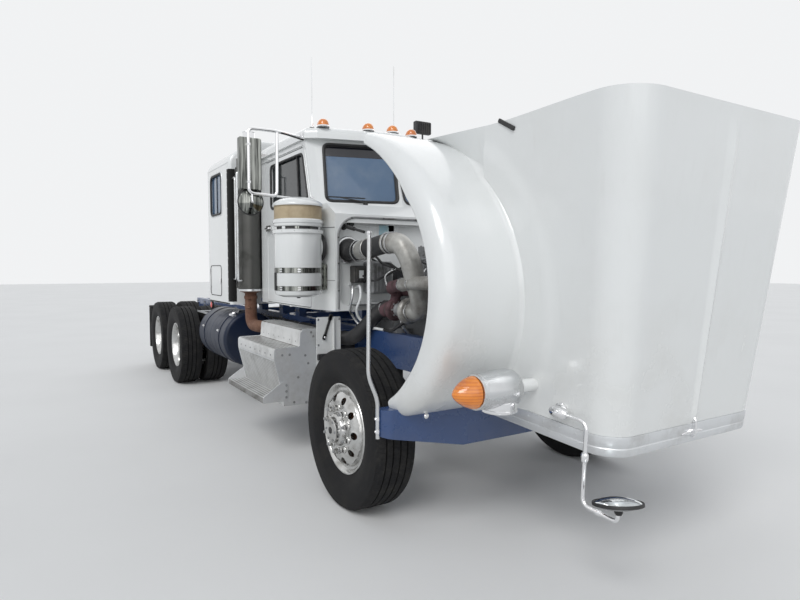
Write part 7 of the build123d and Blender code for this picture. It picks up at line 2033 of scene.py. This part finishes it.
FINISH_FOR_SLOT = {"blue_paint": "blue_enamel", "white_paint": "white_enamel", "black_paint": "black_enamel",
    "bare_aluminium": "bare_aluminium", "polished_aluminium": "polished_aluminium", "stainless": "stainless",
    "chrome": "chrome_plate", "black_rubber": "black_rubber", "tyre_rubber": "tyre_rubber",
    "window_glass": "window_glass", "amber_lens": "amber_lens", "red_lens": "red_lens",
    "grey_casting": "grey_casting", "rusty_steel": "rusty_steel", "dark_steel": "black_enamel",
    "cab_trim": "cab_trim", "radiator_core": "radiator_core"}
FINISH_FOR_NODE = {"fifth_plate": "black_enamel", "fuel_tanks": "tank_blue_painted_shade", "cab_glass": "screen_glass_painted_sky"}


class TRUCK_OT_cad_finishes(Operator):
    """Gives every CAD piece that stays visible the worked finish of its material slot"""

    bl_idname = "truck.cad_finishes"
    bl_label = "Finishes on the CAD pieces"

    def execute(self, context):
        for name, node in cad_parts.items():
            for slot in node.material_slots:
                finish = FINISH_FOR_NODE.get(name) or FINISH_FOR_SLOT[slot.material.name.split(".")[0]]
                slot.link = "OBJECT"
                slot.material = paint_for(finish)
        return {"FINISHED"}


CAMERA_PLACE = (6.063, -2.829, 1.569)
CAMERA_YAW, CAMERA_PITCH = 148.34, -3.13
CAMERA_LENS = 26.741


class TRUCK_OT_stage(Operator):
    """Adds the pale floor, the even sky, the soft lamps and the camera at the photograph's angle"""

    bl_idname = "truck.stage"
    bl_label = "Floor, light and camera"

    def execute(self, context):
        sizes = context.scene.truck_sizes
        floor_finish = Finish("pale_floor", tuple(sizes.backdrop), roughness=0.85)
        wash = floor_finish.noise(0.6, 4, 0.5).ease(0.3, 0.7)
        floor_finish.feed("Base Color", floor_finish.colours(wash * 0.35, sizes.backdrop, (0.74, 0.74, 0.73)))
        mesh = bpy.data.meshes.new("floor")
        mesh.from_pydata([(-60, -60, 0), (60, -60, 0), (60, 60, 0), (-60, 60, 0)], [], [(0, 1, 2, 3)])
        mesh.materials.append(floor_finish.material)
        floor = bpy.data.objects.new("floor", mesh)
        context.scene.collection.objects.link(floor)

        for name, energy, spread, place in (("key", 1.26, 28, (5.0, -6.5, 7.5)),
                ("fill", 0.60, 60, (6.0, -2.6, 2.2)), ("back", 0.50, 70, (-6.0, 6.0, 6.0))):
            lamp = bpy.data.lights.new(name, "SUN")
            lamp.energy = energy
            lamp.angle = radians(spread)
            holder = bpy.data.objects.new(name, lamp)
            holder.location = place
            holder.rotation_mode = "QUATERNION"
            holder.rotation_quaternion = (-Vector(place)).to_track_quat("-Z", "Y")
            context.scene.collection.objects.link(holder)

        world = bpy.data.worlds.new("even_sky")
        world.use_nodes = True
        tree = world.node_tree
        background = tree.nodes["Background"]
        seen = tree.nodes.new("ShaderNodeLightPath")
        either = tree.nodes.new("ShaderNodeMath")
        either.operation = "MAXIMUM"
        tint_mix = tree.nodes.new("ShaderNodeMix")
        tint_mix.data_type = "RGBA"
        tint_mix.inputs[6].default_value = (0.40, 0.42, 0.45, 1)
        tint_mix.inputs[7].default_value = (0.88, 0.89, 0.90, 1)
        tree.links.new(seen.outputs["Is Camera Ray"], either.inputs[0])
        tree.links.new(seen.outputs["Is Transmission Ray"], either.inputs[1])
        shared = tree.nodes.new("ShaderNodeMath")
        shared.operation = "MAXIMUM"
        tree.links.new(either.outputs[0], shared.inputs[0])
        tree.links.new(seen.outputs["Is Glossy Ray"], shared.inputs[1])
        tree.links.new(shared.outputs[0], tint_mix.inputs["Factor"])
        tree.links.new(tint_mix.outputs[2], background.inputs["Color"])
        context.scene.world = world
        context.scene.view_settings.view_transform = "Standard"

        camera = bpy.data.cameras.new("photograph")
        camera.lens = CAMERA_LENS
        camera.sensor_width = 36
        camera.clip_end = 300
        holder = bpy.data.objects.new("photograph", camera)
        yaw, pitch = radians(CAMERA_YAW), radians(CAMERA_PITCH)
        aim = Vector((cos(pitch) * cos(yaw), cos(pitch) * sin(yaw), sin(pitch)))
        holder.location = CAMERA_PLACE
        holder.rotation_mode = "QUATERNION"
        holder.rotation_quaternion = aim.to_track_quat("-Z", "Y")
        context.scene.collection.objects.link(holder)
        context.scene.camera = holder
        return {"FINISHED"}


OPERATORS = (TRUCK_OT_hood, TRUCK_OT_hood_fittings, TRUCK_OT_wheels, TRUCK_OT_engine_bay,
    TRUCK_OT_air_cleaners, TRUCK_OT_exhaust, TRUCK_OT_steps, TRUCK_OT_cab_fittings,
    TRUCK_OT_mirrors_and_lamps, TRUCK_OT_sleeper_fittings, TRUCK_OT_rods, TRUCK_OT_rear_frame,
    TRUCK_OT_cad_finishes, TRUCK_OT_stage)


class TRUCK_PT_pieces(Panel):
    """Lists the tractor's sizes and the operators that add its pieces"""

    bl_label = "Highway Tractor"
    bl_idname = "TRUCK_PT_pieces"
    bl_space_type = "VIEW_3D"
    bl_region_type = "UI"
    bl_category = "Truck"

    def draw(self, context):
        for name in TruckSizes.__annotations__:
            self.layout.prop(context.scene.truck_sizes, name)
        for operator in OPERATORS:
            self.layout.operator(operator.bl_idname)


def register():
    for kind in (TruckSizes, *OPERATORS, TRUCK_PT_pieces):
        bpy.utils.register_class(kind)
    bpy.types.Scene.truck_sizes = PointerProperty(type=TruckSizes)


def unregister():
    del bpy.types.Scene.truck_sizes
    for kind in (TRUCK_PT_pieces, *reversed(OPERATORS), TruckSizes):
        bpy.utils.unregister_class(kind)


def main():
    """Registers the classes and adds every piece in order."""
    register()
    for operator in OPERATORS:
        group, name = operator.bl_idname.split(".")
        getattr(getattr(bpy.ops, group), name)()
    bpy.context.view_layer.update()


if __name__ == "__main__":
    main()
